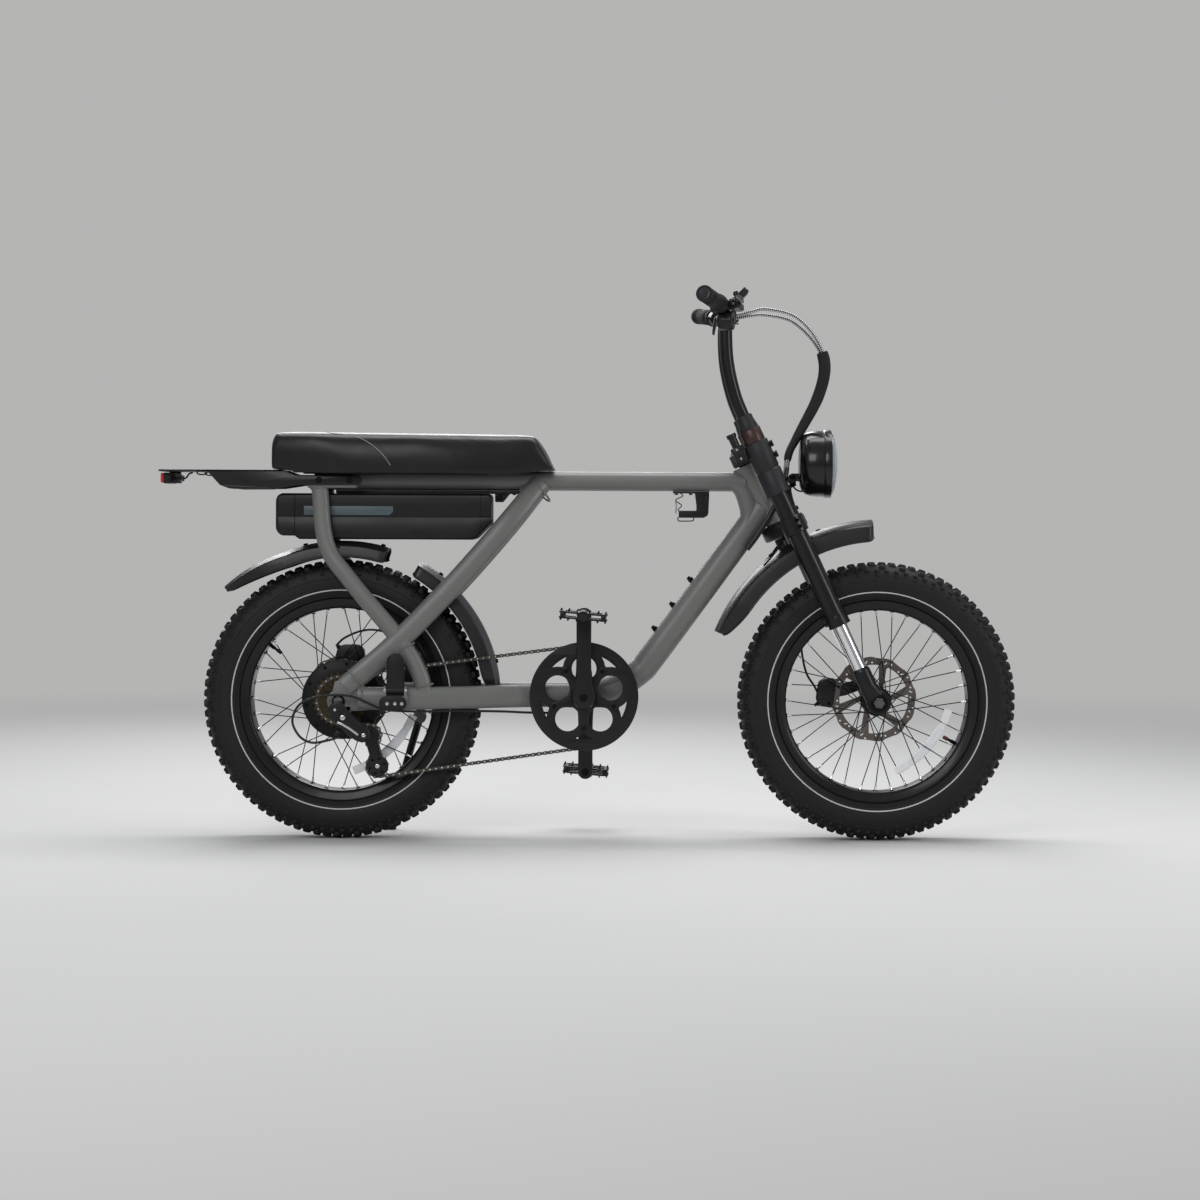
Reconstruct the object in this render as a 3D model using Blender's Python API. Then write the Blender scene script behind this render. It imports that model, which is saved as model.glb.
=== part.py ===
"""Fat tire electric bike: a step-over utility frame on two 20 x 4 inch wheels.

Metres, +Z up. The bike points along +X and its right side, with the chain, faces -Y.
Places are given from the point on the floor under the rear axle, and the empty named
bike shifts them so that the origin lies under the middle of the whole bike.
Everything that turns with the handlebar is given in the steering frame, whose Z axis
is the steering axis and whose X axis points forward, square to it.
"""
import math

import bmesh
import bpy
from mathutils import Matrix, Vector

# Fits between pieces
GAP = 0.0003

# Wheels and tyres
WHEELBASE = 1.114
WHEEL_RADIUS = 0.290
TYRE_WIDTH = 0.098
KNOB_HEIGHT = 0.0055
TREAD_HALF_WIDTH = 0.042
WHEEL_SIDES = 28
RIM_BED_RADIUS = 0.203
RIM_FLANGE_RADIUS = 0.209
RIM_INNER_RADIUS = 0.1895
RIM_WIDTH = 0.080
SPOKES = 36
SPOKE_RADIUS = 0.0012
ROTOR_RADIUS = 0.090
ROTOR_THICKNESS = 0.002

# Steering and fork
HEAD_TILT = math.radians(25.1)
FORK_OFFSET = 0.040
LEG_OFFSET = 0.035
LEG_SPACING = 0.160
LEG_RADIUS = 0.0205
LEG_LOW = 0.178
LEG_HIGH = 0.595
STANCHION_RADIUS = 0.014
STANCHION_TOP = 0.330
STEERER_RADIUS = 0.0143
LOWER_CROWN_LOW = 0.393
LOWER_CROWN_HIGH = 0.425
HEAD_TUBE_LOW = 0.4262
HEAD_TUBE_HIGH = 0.5608
HEAD_TUBE_RADIUS = 0.026
UPPER_CROWN_LOW = 0.562
UPPER_CROWN_HIGH = 0.595
SLEEVE_LOW = 0.479
COLLAR_HIGH = 0.624
CONE_HIGH = 0.655
FRONT_AXLE_RADIUS = 0.0075
FRONT_DROPOUT_IN = 0.070

# Handlebar
BAR_RADIUS = 0.0111
RISER_RADIUS = 0.0135
HALF_BAR = 0.350
GRIP_RADIUS = 0.0165
BAR_HEIGHT_X = 0.798
BAR_HEIGHT_Z = 1.088

# Frame
BB_X = 0.505
BB_Z = 0.300
BB_SHELL_RADIUS = 0.029
BB_HALF_WIDTH = 0.050
SPINDLE_RADIUS = 0.012
TOP_TUBE_Z = 0.746
TOP_TUBE_HEIGHT = 0.040
TOP_TUBE_WIDTH = 0.050
DOWN_TUBE_DEPTH = 0.056
REAR_DROPOUT_IN = 0.095
DROPOUT_THICKNESS = 0.008
REAR_AXLE_RADIUS = 0.006
STAY_HEIGHT = 0.046
STAY_WIDTH = 0.028

# Drive
CHAIN_PITCH = 0.0127
CHAINRING_TEETH = 52
SPROCKET_TEETH = 24
JOCKEY_TEETH = 11
CHAIN_Y = -0.062
CHAIN_LINKS = 128
CRANK_LENGTH = 0.170
BOLT_CIRCLE = 0.065
MOTOR_RADIUS = 0.078

# Seat, rack and battery
SEAT_REAR = -0.144
SEAT_FRONT = 0.443
SEAT_PAN_Z = 0.7663
SEAT_TOP = 0.845
SEAT_HALF_WIDTH = 0.118
RACK_REAR = -0.379
RACK_Z = 0.7625
RACK_HALF_WIDTH = 0.0743
BATTERY_REAR = -0.138
BATTERY_FRONT = 0.3105
BATTERY_LOW = 0.623
BATTERY_HIGH = 0.7185
BATTERY_HALF_WIDTH = 0.0445

# Fenders
FENDER_HALF_WIDTH = 0.058
FENDER_SHELL = 0.0025
REAR_FENDER_RADIUS = 0.330
FRONT_FENDER_RADIUS = 0.375

CENTRE_HALF_WIDTH = 0.020
KNOB_SLOPE = 0.0035
ROTOR_BOLT_RADIUS = 0.022
FRONT_ROTOR_Y = 0.058
REAR_ROTOR_Y = 0.062
FRONT_FLANGE_Y = 0.0315
MOTOR_FLANGE_Y = 0.030
FREEWHEEL_START = 0.0555
FREEWHEEL_END = 0.0900
FREEWHEEL_BORE = 0.0200
SPROCKETS = (28, 24, 22, 20, 18, 16, 14)
PLAIN_SPROCKETS = (22, 20, 18, 16)
SPROCKET_STEP = 0.005

# Chain, cage and derailleur
PLATE_IN = (0.0015, 0.0024)
PLATE_THICKNESS = 0.0010
ROLLER_HALF_LENGTH = 0.0030
ROLLER_HALF_HEIGHT = 0.00425
CAGE_PIVOT = (0.055, 0.222)
CAGE_REST_ANGLE = math.radians(-72)
UPPER_JOCKEY_REACH = 0.0086
UPPER_JOCKEY_ANGLE = math.radians(36)
LOWER_JOCKEY_REACH = 0.0720
JOCKEY_PIN_RADIUS = 0.0030
HANGER = (0.012, 0.258)
DERAILLEUR_OUT = 0.1350

# Cranks and pedals
SPIDER_IN = 0.0700
GUARD_INNER = 0.0885
GUARD_RADIUS = 0.1127
CHAINRING_BORE = 0.0290
ARM_IN = 0.098
ARM_OUT = 0.112
SPINDLE_END = 0.106
PEDAL_PIN_RADIUS = 0.007
PEDAL_IN = 0.118
PEDAL_OUT = 0.212
PEDAL_HALF_LENGTH = 0.049
PEDAL_HALF_HEIGHT = 0.009
PEDAL_TILT = 5.0

# Frame details
BEAM_REAR = -0.070
BEAM_FRONT = 0.034
BEAM_HALF_WIDTH = 0.0740
BEAM_LOW = 0.729
BEAM_HIGH = 0.7555
STRUT_INNER = 0.0560
PEG_X = 0.119
PEG_Y = 0.124
PEG_Z = 0.314
PEG_HALF = 0.018
PEG_LENGTH = 0.076
KICK_PIVOT = (0.152, 0.118, 0.247)
KICK_FOOT = (0.082, 0.166)
KICK_AXIS = (-0.0759, 0.9929, 0.0910)
KICK_HEAD_INNER = 0.008

# Seat, rack and dock details
SEAT_PAN_THICKNESS = 0.008
SEAT_SKIRT_Z = 0.7575
SEAM_X = -0.030
SEAM_LEAN = 0.130
RACK_PLATE = 0.004
DOCK_SLOT = 0.0045

# Bar, controls and lamp
BAR_FLAT = 0.130
BAR_BEND = 0.188
GRIP_START = 0.225
GRIP_INNER = (0.778, 1.103)
GRIP_OUTER = (0.745, 1.115)
PERCH_LOW = -0.030
PERCH_HIGH = -0.006
LEVER_PIVOT = (0.040, 0.005)
LEVER_HALF = 0.0045
POD_DROP = 0.030
BUTTON_RADIUS = 0.006
BUTTON_Y = -0.030
BUTTON_DROP = 0.012
STAY_X = 0.062
HEADLIGHT_PIVOT = (0.0785, 0.498)
HEADLIGHT_CENTRE = (0.0800, 0.0, 0.0275)
HEADLIGHT_RADIUS = 0.071
HEADLIGHT_DEPTH = 0.066
EAR_HALF = 0.008
CALIPER_SLOT_TOP = 0.006

X_CENTRE = (WHEELBASE + WHEEL_RADIUS + RACK_REAR) / 2
CROWN_TO_AXLE = Vector((FORK_OFFSET, 0, 0))
RIGHT = -1
LEFT = 1
STEERING = Matrix.Translation(
    (
        WHEELBASE - FORK_OFFSET * math.cos(HEAD_TILT),
        0,
        WHEEL_RADIUS - FORK_OFFSET * math.sin(HEAD_TILT),
    )
) @ Matrix.Rotation(-HEAD_TILT, 4, "Y")
DISPLAY_POSE = Matrix.Translation((0.822, 0, 1.128)) @ Matrix.Rotation(math.radians(-135), 4, "Y")

# Colours as red, green, blue, then roughness and metallic
FINISHES = {
    "frame_paint": ((0.33, 0.36, 0.34), 0.45, 0.0),
    "black_vinyl": ((0.030, 0.030, 0.033), 0.55, 0.0),
    "black_plastic": ((0.022, 0.022, 0.024), 0.50, 0.0),
    "gloss_black": ((0.012, 0.012, 0.014), 0.20, 0.0),
    "black_metal": ((0.025, 0.025, 0.028), 0.40, 0.6),
    "grey_metal": ((0.12, 0.12, 0.13), 0.35, 0.8),
    "bright_steel": ((0.62, 0.62, 0.63), 0.22, 1.0),
    "brown_steel": ((0.20, 0.15, 0.11), 0.40, 0.9),
    "rubber": ((0.028, 0.028, 0.030), 0.85, 0.0),
    "clear_lens": ((0.75, 0.80, 0.82), 0.10, 0.0),
    "red_lens": ((0.45, 0.02, 0.02), 0.15, 0.0),
    "fender_plastic": ((0.035, 0.035, 0.037), 0.42, 0.0),
}


def clear_scene():
    """Remove every object that is in the file."""
    for obj in list(bpy.data.objects):
        bpy.data.objects.remove(obj)


def finish_material(name):
    """The Principled material for one entry of FINISHES."""
    found = bpy.data.materials.get(name)
    if found:
        return found
    colour, roughness, metallic = FINISHES[name]
    material = bpy.data.materials.new(name)
    material.use_nodes = True
    shader = material.node_tree.nodes["Principled BSDF"]
    shader.inputs["Base Color"].default_value = (*colour, 1.0)
    shader.inputs["Roughness"].default_value = roughness
    shader.inputs["Metallic"].default_value = metallic
    return material


def empty(name, parent=None, location=(0, 0, 0), rotation=(0, 0, 0)):
    """An axis or a place that pieces hang from."""
    marker = bpy.data.objects.new(name, None)
    bpy.context.collection.objects.link(marker)
    marker.parent = parent
    marker.location = location
    marker.rotation_euler = rotation
    marker.empty_display_size = 0.02
    return marker


def to_object(name, bm):
    """Turn a closed bmesh into an object with its faces pointing out."""
    bmesh.ops.recalc_face_normals(bm, faces=bm.faces)
    mesh = bpy.data.meshes.new(name)
    bm.to_mesh(mesh)
    bm.free()
    obj = bpy.data.objects.new(name, mesh)
    bpy.context.collection.objects.link(obj)
    return obj


def combine(base, other, operation="UNION"):
    """Join another closed object to this one, or cut it away, and drop the other."""
    modifier = base.modifiers.new("combine", "BOOLEAN")
    modifier.operation = operation
    modifier.solver = "EXACT"
    modifier.object = other
    graph = bpy.context.evaluated_depsgraph_get()
    mesh = bpy.data.meshes.new_from_object(base.evaluated_get(graph))
    base.modifiers.clear()
    base.data = mesh
    bpy.data.objects.remove(other)
    return base


def union(first, *others):
    """Join several closed objects into one body."""
    for other in others:
        combine(first, other)
    return first


def tidy(obj):
    """Merge points left closer than a hundredth of a millimetre and flat neighbours."""
    bm = bmesh.new()
    bm.from_mesh(obj.data)
    bmesh.ops.remove_doubles(bm, verts=bm.verts, dist=0.00001)
    bmesh.ops.dissolve_degenerate(bm, edges=bm.edges, dist=0.00001)
    bmesh.ops.dissolve_limit(bm, angle_limit=0.002, verts=bm.verts, edges=bm.edges)
    bmesh.ops.recalc_face_normals(bm, faces=bm.faces)
    bm.to_mesh(obj.data)
    bm.free()
    return obj


def place(obj, name, finish, parent, sharp=35):
    """Name a finished piece, give it its material and shading, and hang it in place."""
    obj.name = name
    obj.data.name = name
    obj.data.materials.clear()
    obj.data.materials.append(finish_material(finish))
    obj.data.shade_smooth()
    obj.data.set_sharp_from_angle(angle=math.radians(sharp))
    obj.parent = parent
    return obj


def loft(rings, closed=False):
    """Skin a row of loops with equal counts; an open row gets flat ends."""
    bm = bmesh.new()
    loops = [[bm.verts.new(point) for point in ring] for ring in rings]
    pairs = list(zip(loops, loops[1:]))
    if closed:
        pairs.append((loops[-1], loops[0]))
    for one, two in pairs:
        for i in range(len(one)):
            j = (i + 1) % len(one)
            bm.faces.new((one[i], one[j], two[j], two[i]))
    if not closed:
        bm.faces.new(loops[0])
        bm.faces.new(loops[-1])
    return to_object("loft", bm)


def smooth_points(points, samples):
    """Points along a smooth curve through the given points."""
    points = [Vector(p) for p in points]
    found = []
    for i in range(len(points) - 1):
        before = points[max(i - 1, 0)]
        start = points[i]
        end = points[i + 1]
        after = points[min(i + 2, len(points) - 1)]
        for k in range(samples):
            t = k / samples
            found.append(
                0.5
                * (
                    2 * start
                    + (end - before) * t
                    + (2 * before - 5 * start + 4 * end - after) * t * t
                    + (3 * start - before - 3 * end + after) * t * t * t
                )
            )
    found.append(points[-1])
    return found


def tube(path, width, height, sides=12, across=(0, 1, 0), phase=0.5):
    """A tube of oval section: width lies along across, height square to it."""
    path = [Vector(p) for p in path]
    count = len(path)
    corner = 1 / math.cos(math.pi / sides) if phase else 1.0
    widths = width if isinstance(width, list) else [width] * count
    heights = height if isinstance(height, list) else [height] * count
    rings = []
    for i, point in enumerate(path):
        ahead = path[min(i + 1, count - 1)]
        behind = path[max(i - 1, 0)]
        along = (ahead - behind).normalized()
        side = Vector(across)
        side = (side - side.dot(along) * along).normalized()
        up = along.cross(side)
        ring = []
        for k in range(sides):
            angle = 2 * math.pi * (k + phase) / sides
            ring.append(
                point
                + side * math.cos(angle) * corner * widths[i] / 2
                + up * math.sin(angle) * corner * heights[i] / 2
            )
        rings.append(ring)
    return loft(rings)


def turned(profile, sides=24, closed=False, phase=0.0, axis="Z"):
    """Turn (radius, place) points about an axis; a closed profile leaves a bore."""
    rings = []
    for radius, along in profile:
        ring = []
        for k in range(sides):
            angle = 2 * math.pi * (k + phase) / sides
            u = radius * math.cos(angle)
            v = radius * math.sin(angle)
            spots = {"Z": (u, v, along), "Y": (u, along, v), "X": (along, u, v)}
            ring.append(Vector(spots[axis]))
        rings.append(ring)
    return loft(rings, closed)


def bore(radius, sides):
    """Corner radius of a faceted bore that clears a shaft of this radius."""
    return (radius + GAP) / math.cos(math.pi / sides)


def rod(radius, low, high, sides=16, axis="Z", centre=(0, 0, 0), phase=0.0):
    """A plain round bar between two places on its axis."""
    bar = turned([(radius, low), (radius, high)], sides, phase=phase, axis=axis)
    bar.data.transform(Matrix.Translation(centre))
    return bar


def circle(radius, count, centre=(0, 0), phase=0.0):
    """Corners of a round outline."""
    return [
        (
            centre[0] + radius * math.cos(2 * math.pi * (k + phase) / count),
            centre[1] + radius * math.sin(2 * math.pi * (k + phase) / count),
        )
        for k in range(count)
    ]


PLANES = {
    "XZ": Matrix(((1, 0, 0, 0), (0, 0, 1, 0), (0, 1, 0, 0), (0, 0, 0, 1))),
    "XY": Matrix.Identity(4),
    "YZ": Matrix(((0, 0, 1, 0), (1, 0, 0, 0), (0, 1, 0, 0), (0, 0, 0, 1))),
}


def plate(outline, low, high, plane="XZ", holes=()):
    """A flat piece: an outline with holes in one plane, thick from low to high."""
    bm = bmesh.new()
    edges = []
    for loop in (outline, *holes):
        corners = [bm.verts.new((u, v, low)) for u, v in loop]
        for i, corner in enumerate(corners):
            edges.append(bm.edges.new((corner, corners[(i + 1) % len(corners)])))
    filled = bmesh.ops.triangle_fill(bm, use_beauty=True, edges=edges)
    faces = [f for f in filled["geom"] if isinstance(f, bmesh.types.BMFace)]
    grown = bmesh.ops.extrude_face_region(bm, geom=faces)
    moved = [v for v in grown["geom"] if isinstance(v, bmesh.types.BMVert)]
    bmesh.ops.translate(bm, verts=moved, vec=(0, 0, high - low))
    bmesh.ops.transform(bm, matrix=PLANES[plane], verts=bm.verts)
    return to_object("plate", bm)


def block(low, high, bevel=0.0):
    """A box between two corners, with its edges bevelled if asked."""
    bm = bmesh.new()
    made = bmesh.ops.create_cube(bm, size=1.0)
    size = Vector(high) - Vector(low)
    middle = (Vector(high) + Vector(low)) / 2
    bmesh.ops.scale(bm, vec=size, verts=made["verts"])
    bmesh.ops.translate(bm, vec=middle, verts=made["verts"])
    if bevel:
        bmesh.ops.bevel(bm, geom=bm.edges, offset=bevel, segments=1, affect="EDGES")
    return to_object("block", bm)


def moved(obj, matrix):
    """Shift or turn a piece's mesh."""
    obj.data.transform(matrix)
    return obj


def arc(centre, radius, start, end, count):
    """Points on an arc, in degrees."""
    return [
        (
            centre[0] + radius * math.cos(math.radians(start + (end - start) * k / (count - 1))),
            centre[1] + radius * math.sin(math.radians(start + (end - start) * k / (count - 1))),
        )
        for k in range(count)
    ]


def soften(obj, width, angle=40):
    """Chamfer the sharp edges of a piece."""
    modifier = obj.modifiers.new("soften", "BEVEL")
    modifier.width = width
    modifier.segments = 1
    modifier.limit_method = "ANGLE"
    modifier.angle_limit = math.radians(angle)
    graph = bpy.context.evaluated_depsgraph_get()
    mesh = bpy.data.meshes.new_from_object(obj.evaluated_get(graph))
    obj.modifiers.clear()
    obj.data = mesh
    return obj


def frame_of(marker):
    """Where an empty lies in the bike's own frame."""
    matrix = Matrix.Identity(4)
    while marker.parent:
        matrix = marker.matrix_basis @ matrix
        marker = marker.parent
    return matrix


def hang(obj, name, finish, parent, drawn_in=None, sharp=35):
    """Place a piece under its parent; drawn_in is the empty whose frame it was drawn in."""
    if drawn_in is not None:
        obj.data.transform(frame_of(parent).inverted() @ frame_of(drawn_in))
    return place(obj, name, finish, parent, sharp)


def mirrored(obj):
    """A copy of a piece on the other side of the bike."""
    mesh = obj.data.copy()
    mesh.transform(Matrix.Scale(-1, 4, (0, 1, 0)))
    mesh.flip_normals()
    copy = bpy.data.objects.new(obj.name + "_mirror", mesh)
    bpy.context.collection.objects.link(copy)
    return copy


def both_sides(obj):
    """A piece and its mirror image, as two objects to be joined."""
    return [obj, mirrored(obj)]


def capsule(start, end, radius, end_radius=None, steps=6):
    """Outline of a bar with round ends, in a plane."""
    end_radius = end_radius or radius
    angle = math.degrees(math.atan2(end[1] - start[1], end[0] - start[0]))
    reach = math.dist(start, end)
    lean = math.degrees(math.asin((radius - end_radius) / reach))
    first = arc(start, radius, angle + 90 - lean, angle + 270 + lean, steps)
    second = arc(end, end_radius, angle - 90 + lean, angle + 90 - lean, steps)
    return first + second


# Wheels


def tyre(name, parent):
    """A ring with its beads on the rim and tread knobs raised in a chequer pattern."""
    bead = RIM_WIDTH / 2 - 0.0038
    side = TYRE_WIDTH / 2
    base = WHEEL_RADIUS - KNOB_HEIGHT
    section = [
        (RIM_BED_RADIUS + 0.0006, bead),
        (RIM_FLANGE_RADIUS + 0.0008, bead),
        (0.240, side),
        (base - 0.0100, TREAD_HALF_WIDTH),
        (base, CENTRE_HALF_WIDTH),
    ]
    section = [(r, -y) for r, y in section] + [(r, y) for r, y in reversed(section)]
    corner = 1 / math.cos(math.pi / WHEEL_SIDES)
    section = [(r * corner, y) for r, y in section]
    obj = turned(section, WHEEL_SIDES, closed=True, phase=0.5, axis="Y")
    bm = bmesh.new()
    bm.from_mesh(obj.data)
    knobs = []
    for face in bm.faces:
        middle = face.calc_center_median()
        radius = math.hypot(middle.x, middle.z)
        if radius < base - 0.0075 or abs(middle.y) > TREAD_HALF_WIDTH:
            continue
        cell = round(math.degrees(math.atan2(middle.z, middle.x)) / (360 / WHEEL_SIDES))
        row = 1 if abs(middle.y) < 0.005 else 0
        if (cell + row) % 2 == 1:
            knobs.append(face)
    bmesh.ops.inset_individual(bm, faces=knobs, thickness=KNOB_SLOPE, depth=KNOB_HEIGHT)
    bm.to_mesh(obj.data)
    bm.free()
    return place(obj, name, "rubber", parent, 30)


def rim(name, parent):
    """The rim: a wide bed with two upright flanges that hold the tyre's beads."""
    half = RIM_WIDTH / 2
    section = [
        (RIM_INNER_RADIUS, -half + 0.007),
        (RIM_FLANGE_RADIUS, -half),
        (RIM_BED_RADIUS, -half + 0.0035),
        (RIM_BED_RADIUS, half - 0.0035),
        (RIM_FLANGE_RADIUS, half),
        (RIM_INNER_RADIUS, half - 0.007),
    ]
    corner = 1 / math.cos(math.pi / WHEEL_SIDES)
    section = [(r * corner, y) for r, y in section]
    obj = turned(section, WHEEL_SIDES, closed=True, phase=0.5, axis="Y")
    return place(obj, name, "black_metal", parent, 30)


def spokes(flange_radius, flange_y, lead):
    """Spokes laced in turn to either flange, leaning forward and back by the lead."""
    bm = bmesh.new()
    for k in range(SPOKES):
        side = LEFT if k % 2 else RIGHT
        forward = 1 if (k // 2) % 2 else -1
        rim_angle = 2 * math.pi * k / SPOKES
        hub_angle = rim_angle + forward * lead
        step = 0.0024 * forward
        start = Vector((math.cos(hub_angle), 0, math.sin(hub_angle))) * flange_radius
        start.y = side * flange_y + step
        end = Vector((math.cos(rim_angle), 0, math.sin(rim_angle)))
        end = end * (RIM_INNER_RADIUS - 0.0010)
        end.y = side * 0.010
        along = (end - start).normalized()
        across = Vector((0, 1, 0)).cross(along).normalized()
        up = along.cross(across)
        loops = []
        for point in (start, end):
            ring = []
            for i in range(3):
                angle = 2 * math.pi * i / 3
                ring.append(
                    bm.verts.new(
                        point
                        + across * math.cos(angle) * SPOKE_RADIUS
                        + up * math.sin(angle) * SPOKE_RADIUS
                    )
                )
            loops.append(ring)
        for i in range(3):
            j = (i + 1) % 3
            bm.faces.new((loops[0][i], loops[0][j], loops[1][j], loops[1][i]))
        bm.faces.new(loops[0])
        bm.faces.new(loops[1])
    return to_object("spokes", bm)


def rotor(name, parent, y, shaft):
    """A brake disc with a slotted carrier of six leaning arms."""
    windows = []
    for k in range(6):
        start = 60 * k
        inner = arc((0, 0), ROTOR_BOLT_RADIUS + 0.006, start + 6, start + 46, 2)
        outer = arc((0, 0), ROTOR_RADIUS - 0.016, start + 68, start + 20, 3)
        windows.append(inner + outer)
    outline = circle(ROTOR_RADIUS, 24)
    holes = [circle(bore(shaft, 10), 10), *windows]
    half = ROTOR_THICKNESS / 2
    obj = plate(outline, y - half, y + half, "XZ", holes)
    return place(obj, name, "bright_steel", parent)


def front_hub(parent):
    """The front hub: two spoke flanges, a seat for the brake disc, and the spokes."""
    hole = bore(FRONT_AXLE_RADIUS, 12)
    end = FRONT_DROPOUT_IN - 0.0005
    seat = FRONT_ROTOR_Y - ROTOR_THICKNESS / 2 - GAP
    flange = FRONT_FLANGE_Y
    profile = [
        (hole, -end),
        (0.012, -end),
        (0.013, -flange - 0.006),
        (0.030, -flange - 0.0035),
        (0.030, -flange + 0.0035),
        (0.016, -flange + 0.009),
        (0.016, flange - 0.009),
        (0.030, flange - 0.0035),
        (0.030, flange + 0.0035),
        (ROTOR_BOLT_RADIUS, seat),
        (0.012, seat),
        (0.012, end),
        (hole, end),
    ]
    hub = turned(profile, 12, closed=True, axis="Y")
    combine(hub, spokes(0.0275, flange, math.radians(62)))
    return place(hub, "front_hub", "black_metal", parent)


def hub_motor(parent):
    """The geared hub motor: a wide drum with spoke flanges, and a boss on either side."""
    hole = bore(REAR_AXLE_RADIUS, 18)
    seat = REAR_ROTOR_Y - ROTOR_THICKNESS / 2 - GAP
    flange = MOTOR_FLANGE_Y
    rim_r = MOTOR_RADIUS + 0.005
    profile = [
        (hole, -FREEWHEEL_END),
        (FREEWHEEL_BORE - GAP, -FREEWHEEL_END),
        (FREEWHEEL_BORE - GAP, -0.0390),
        (MOTOR_RADIUS - 0.006, -0.0350),
        (rim_r, -flange - 0.0035),
        (rim_r, -flange + 0.0035),
        (MOTOR_RADIUS, -flange + 0.0055),
        (MOTOR_RADIUS, flange - 0.0055),
        (rim_r, flange - 0.0035),
        (rim_r, flange + 0.0035),
        (0.030, 0.0450),
        (0.030, seat),
        (0.014, seat),
        (0.014, REAR_DROPOUT_IN - 0.009),
        (hole, REAR_DROPOUT_IN - 0.009),
    ]
    hub = turned(profile, 18, closed=True, axis="Y")
    combine(hub, spokes(rim_r - 0.0025, flange, math.radians(24)))
    return place(hub, "hub_motor", "black_metal", parent)


# Chain drive


def path_radius(teeth):
    """Radius at which the chain runs over a wheel with this many teeth."""
    return teeth * CHAIN_PITCH / (2 * math.pi)


def jockey_places(swing):
    """Centres of the upper and the lower jockey wheel for a swing of the cage."""
    places = []
    for reach, angle in ((UPPER_JOCKEY_REACH, UPPER_JOCKEY_ANGLE), (LOWER_JOCKEY_REACH, 0)):
        turn = CAGE_REST_ANGLE + angle + swing
        places.append(
            (
                CAGE_PIVOT[0] + reach * math.cos(turn),
                CAGE_PIVOT[1] + reach * math.sin(turn),
            )
        )
    return places


def chain_circles(swing):
    """The four wheels in the order that the chain meets them: centre, radius, sense."""
    upper, lower = jockey_places(swing)
    return [
        ((0.0, WHEEL_RADIUS), path_radius(SPROCKET_TEETH), 1),
        ((BB_X, BB_Z), path_radius(CHAINRING_TEETH), 1),
        (lower, path_radius(JOCKEY_TEETH), 1),
        (upper, path_radius(JOCKEY_TEETH), -1),
    ]


def chain_tangents(circles):
    """Where the chain leaves each wheel and meets the next."""
    found = []
    for i, (centre, radius, sense) in enumerate(circles):
        other, other_radius, other_sense = circles[(i + 1) % len(circles)]
        reach = Vector(other) - Vector(centre)
        lean = math.asin((other_sense * other_radius - sense * radius) / reach.length)
        heading = math.atan2(reach.y, reach.x) + lean
        normal = Vector((math.sin(heading), -math.cos(heading)))
        leave = Vector(centre) - sense * radius * normal
        meet = Vector(other) - other_sense * other_radius * normal
        found.append((leave, meet))
    return found


def chain_route(circles):
    """The loop as straight runs and arcs, each with its length."""
    tangents = chain_tangents(circles)
    parts = []
    for i, (leave, meet) in enumerate(tangents):
        parts.append(("run", (meet - leave).length, leave, meet))
        j = (i + 1) % len(circles)
        centre, radius, sense = circles[j]
        onward = tangents[j][0]
        first = math.atan2(meet.y - centre[1], meet.x - centre[0])
        last = math.atan2(onward.y - centre[1], onward.x - centre[0])
        sweep = (sense * (first - last)) % (2 * math.pi)
        parts.append(("arc", sweep * radius, (centre, radius, sense, first), None))
    return parts


def chain_point(parts, distance):
    """The place and the heading on the loop after this distance."""
    for kind, length, first, second in parts:
        if distance <= length:
            break
        distance -= length
    if kind == "run":
        heading = (second - first).normalized()
        return first + heading * distance, heading
    centre, radius, sense, start = first
    angle = start - sense * distance / radius
    out = Vector((math.cos(angle), math.sin(angle)))
    return Vector(centre) + out * radius, Vector((out.y, -out.x)) * sense


def cage_swing():
    """The swing at which the loop holds a whole number of links."""
    wanted = CHAIN_LINKS * CHAIN_PITCH
    low, high = -math.radians(50), math.radians(50)
    for _ in range(60):
        middle = (low + high) / 2
        length = sum(part[1] for part in chain_route(chain_circles(middle)))
        if length > wanted:
            low = middle
        else:
            high = middle
    return middle


def tooth_phase(parts, circle_index, circles):
    """Angle of one roller on a wheel, so that its teeth fall between the rollers."""
    travelled = sum(part[1] for part in parts[: 2 * circle_index - 1]) if circle_index else 0.0
    if circle_index == 0:
        travelled = sum(part[1] for part in parts[:-1])
    first_pin = math.ceil(travelled / CHAIN_PITCH) * CHAIN_PITCH
    spot, _ = chain_point(parts, first_pin)
    centre = circles[circle_index][0]
    return math.atan2(spot.y - centre[1], spot.x - centre[0])


def toothed(teeth, phase, centre=(0, 0), flat=True):
    """Outline of a chain wheel; a roller lies at the phase angle."""
    radius = path_radius(teeth)
    step = 2 * math.pi / teeth
    root = radius - ROLLER_HALF_HEIGHT - 0.00045
    tip = radius + 0.0020
    half_gap = 0.0035 / radius
    outline = []
    for k in range(teeth):
        roller = phase + step * k
        spots = [(root, roller + step / 2 - step / 2 - half_gap), (root, roller + half_gap)]
        if not flat:
            spots = [(root, roller)]
        spots.append((tip, roller + step / 2))
        for r, angle in spots:
            outline.append((centre[0] + r * math.cos(angle), centre[1] + r * math.sin(angle)))
    return outline


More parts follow.
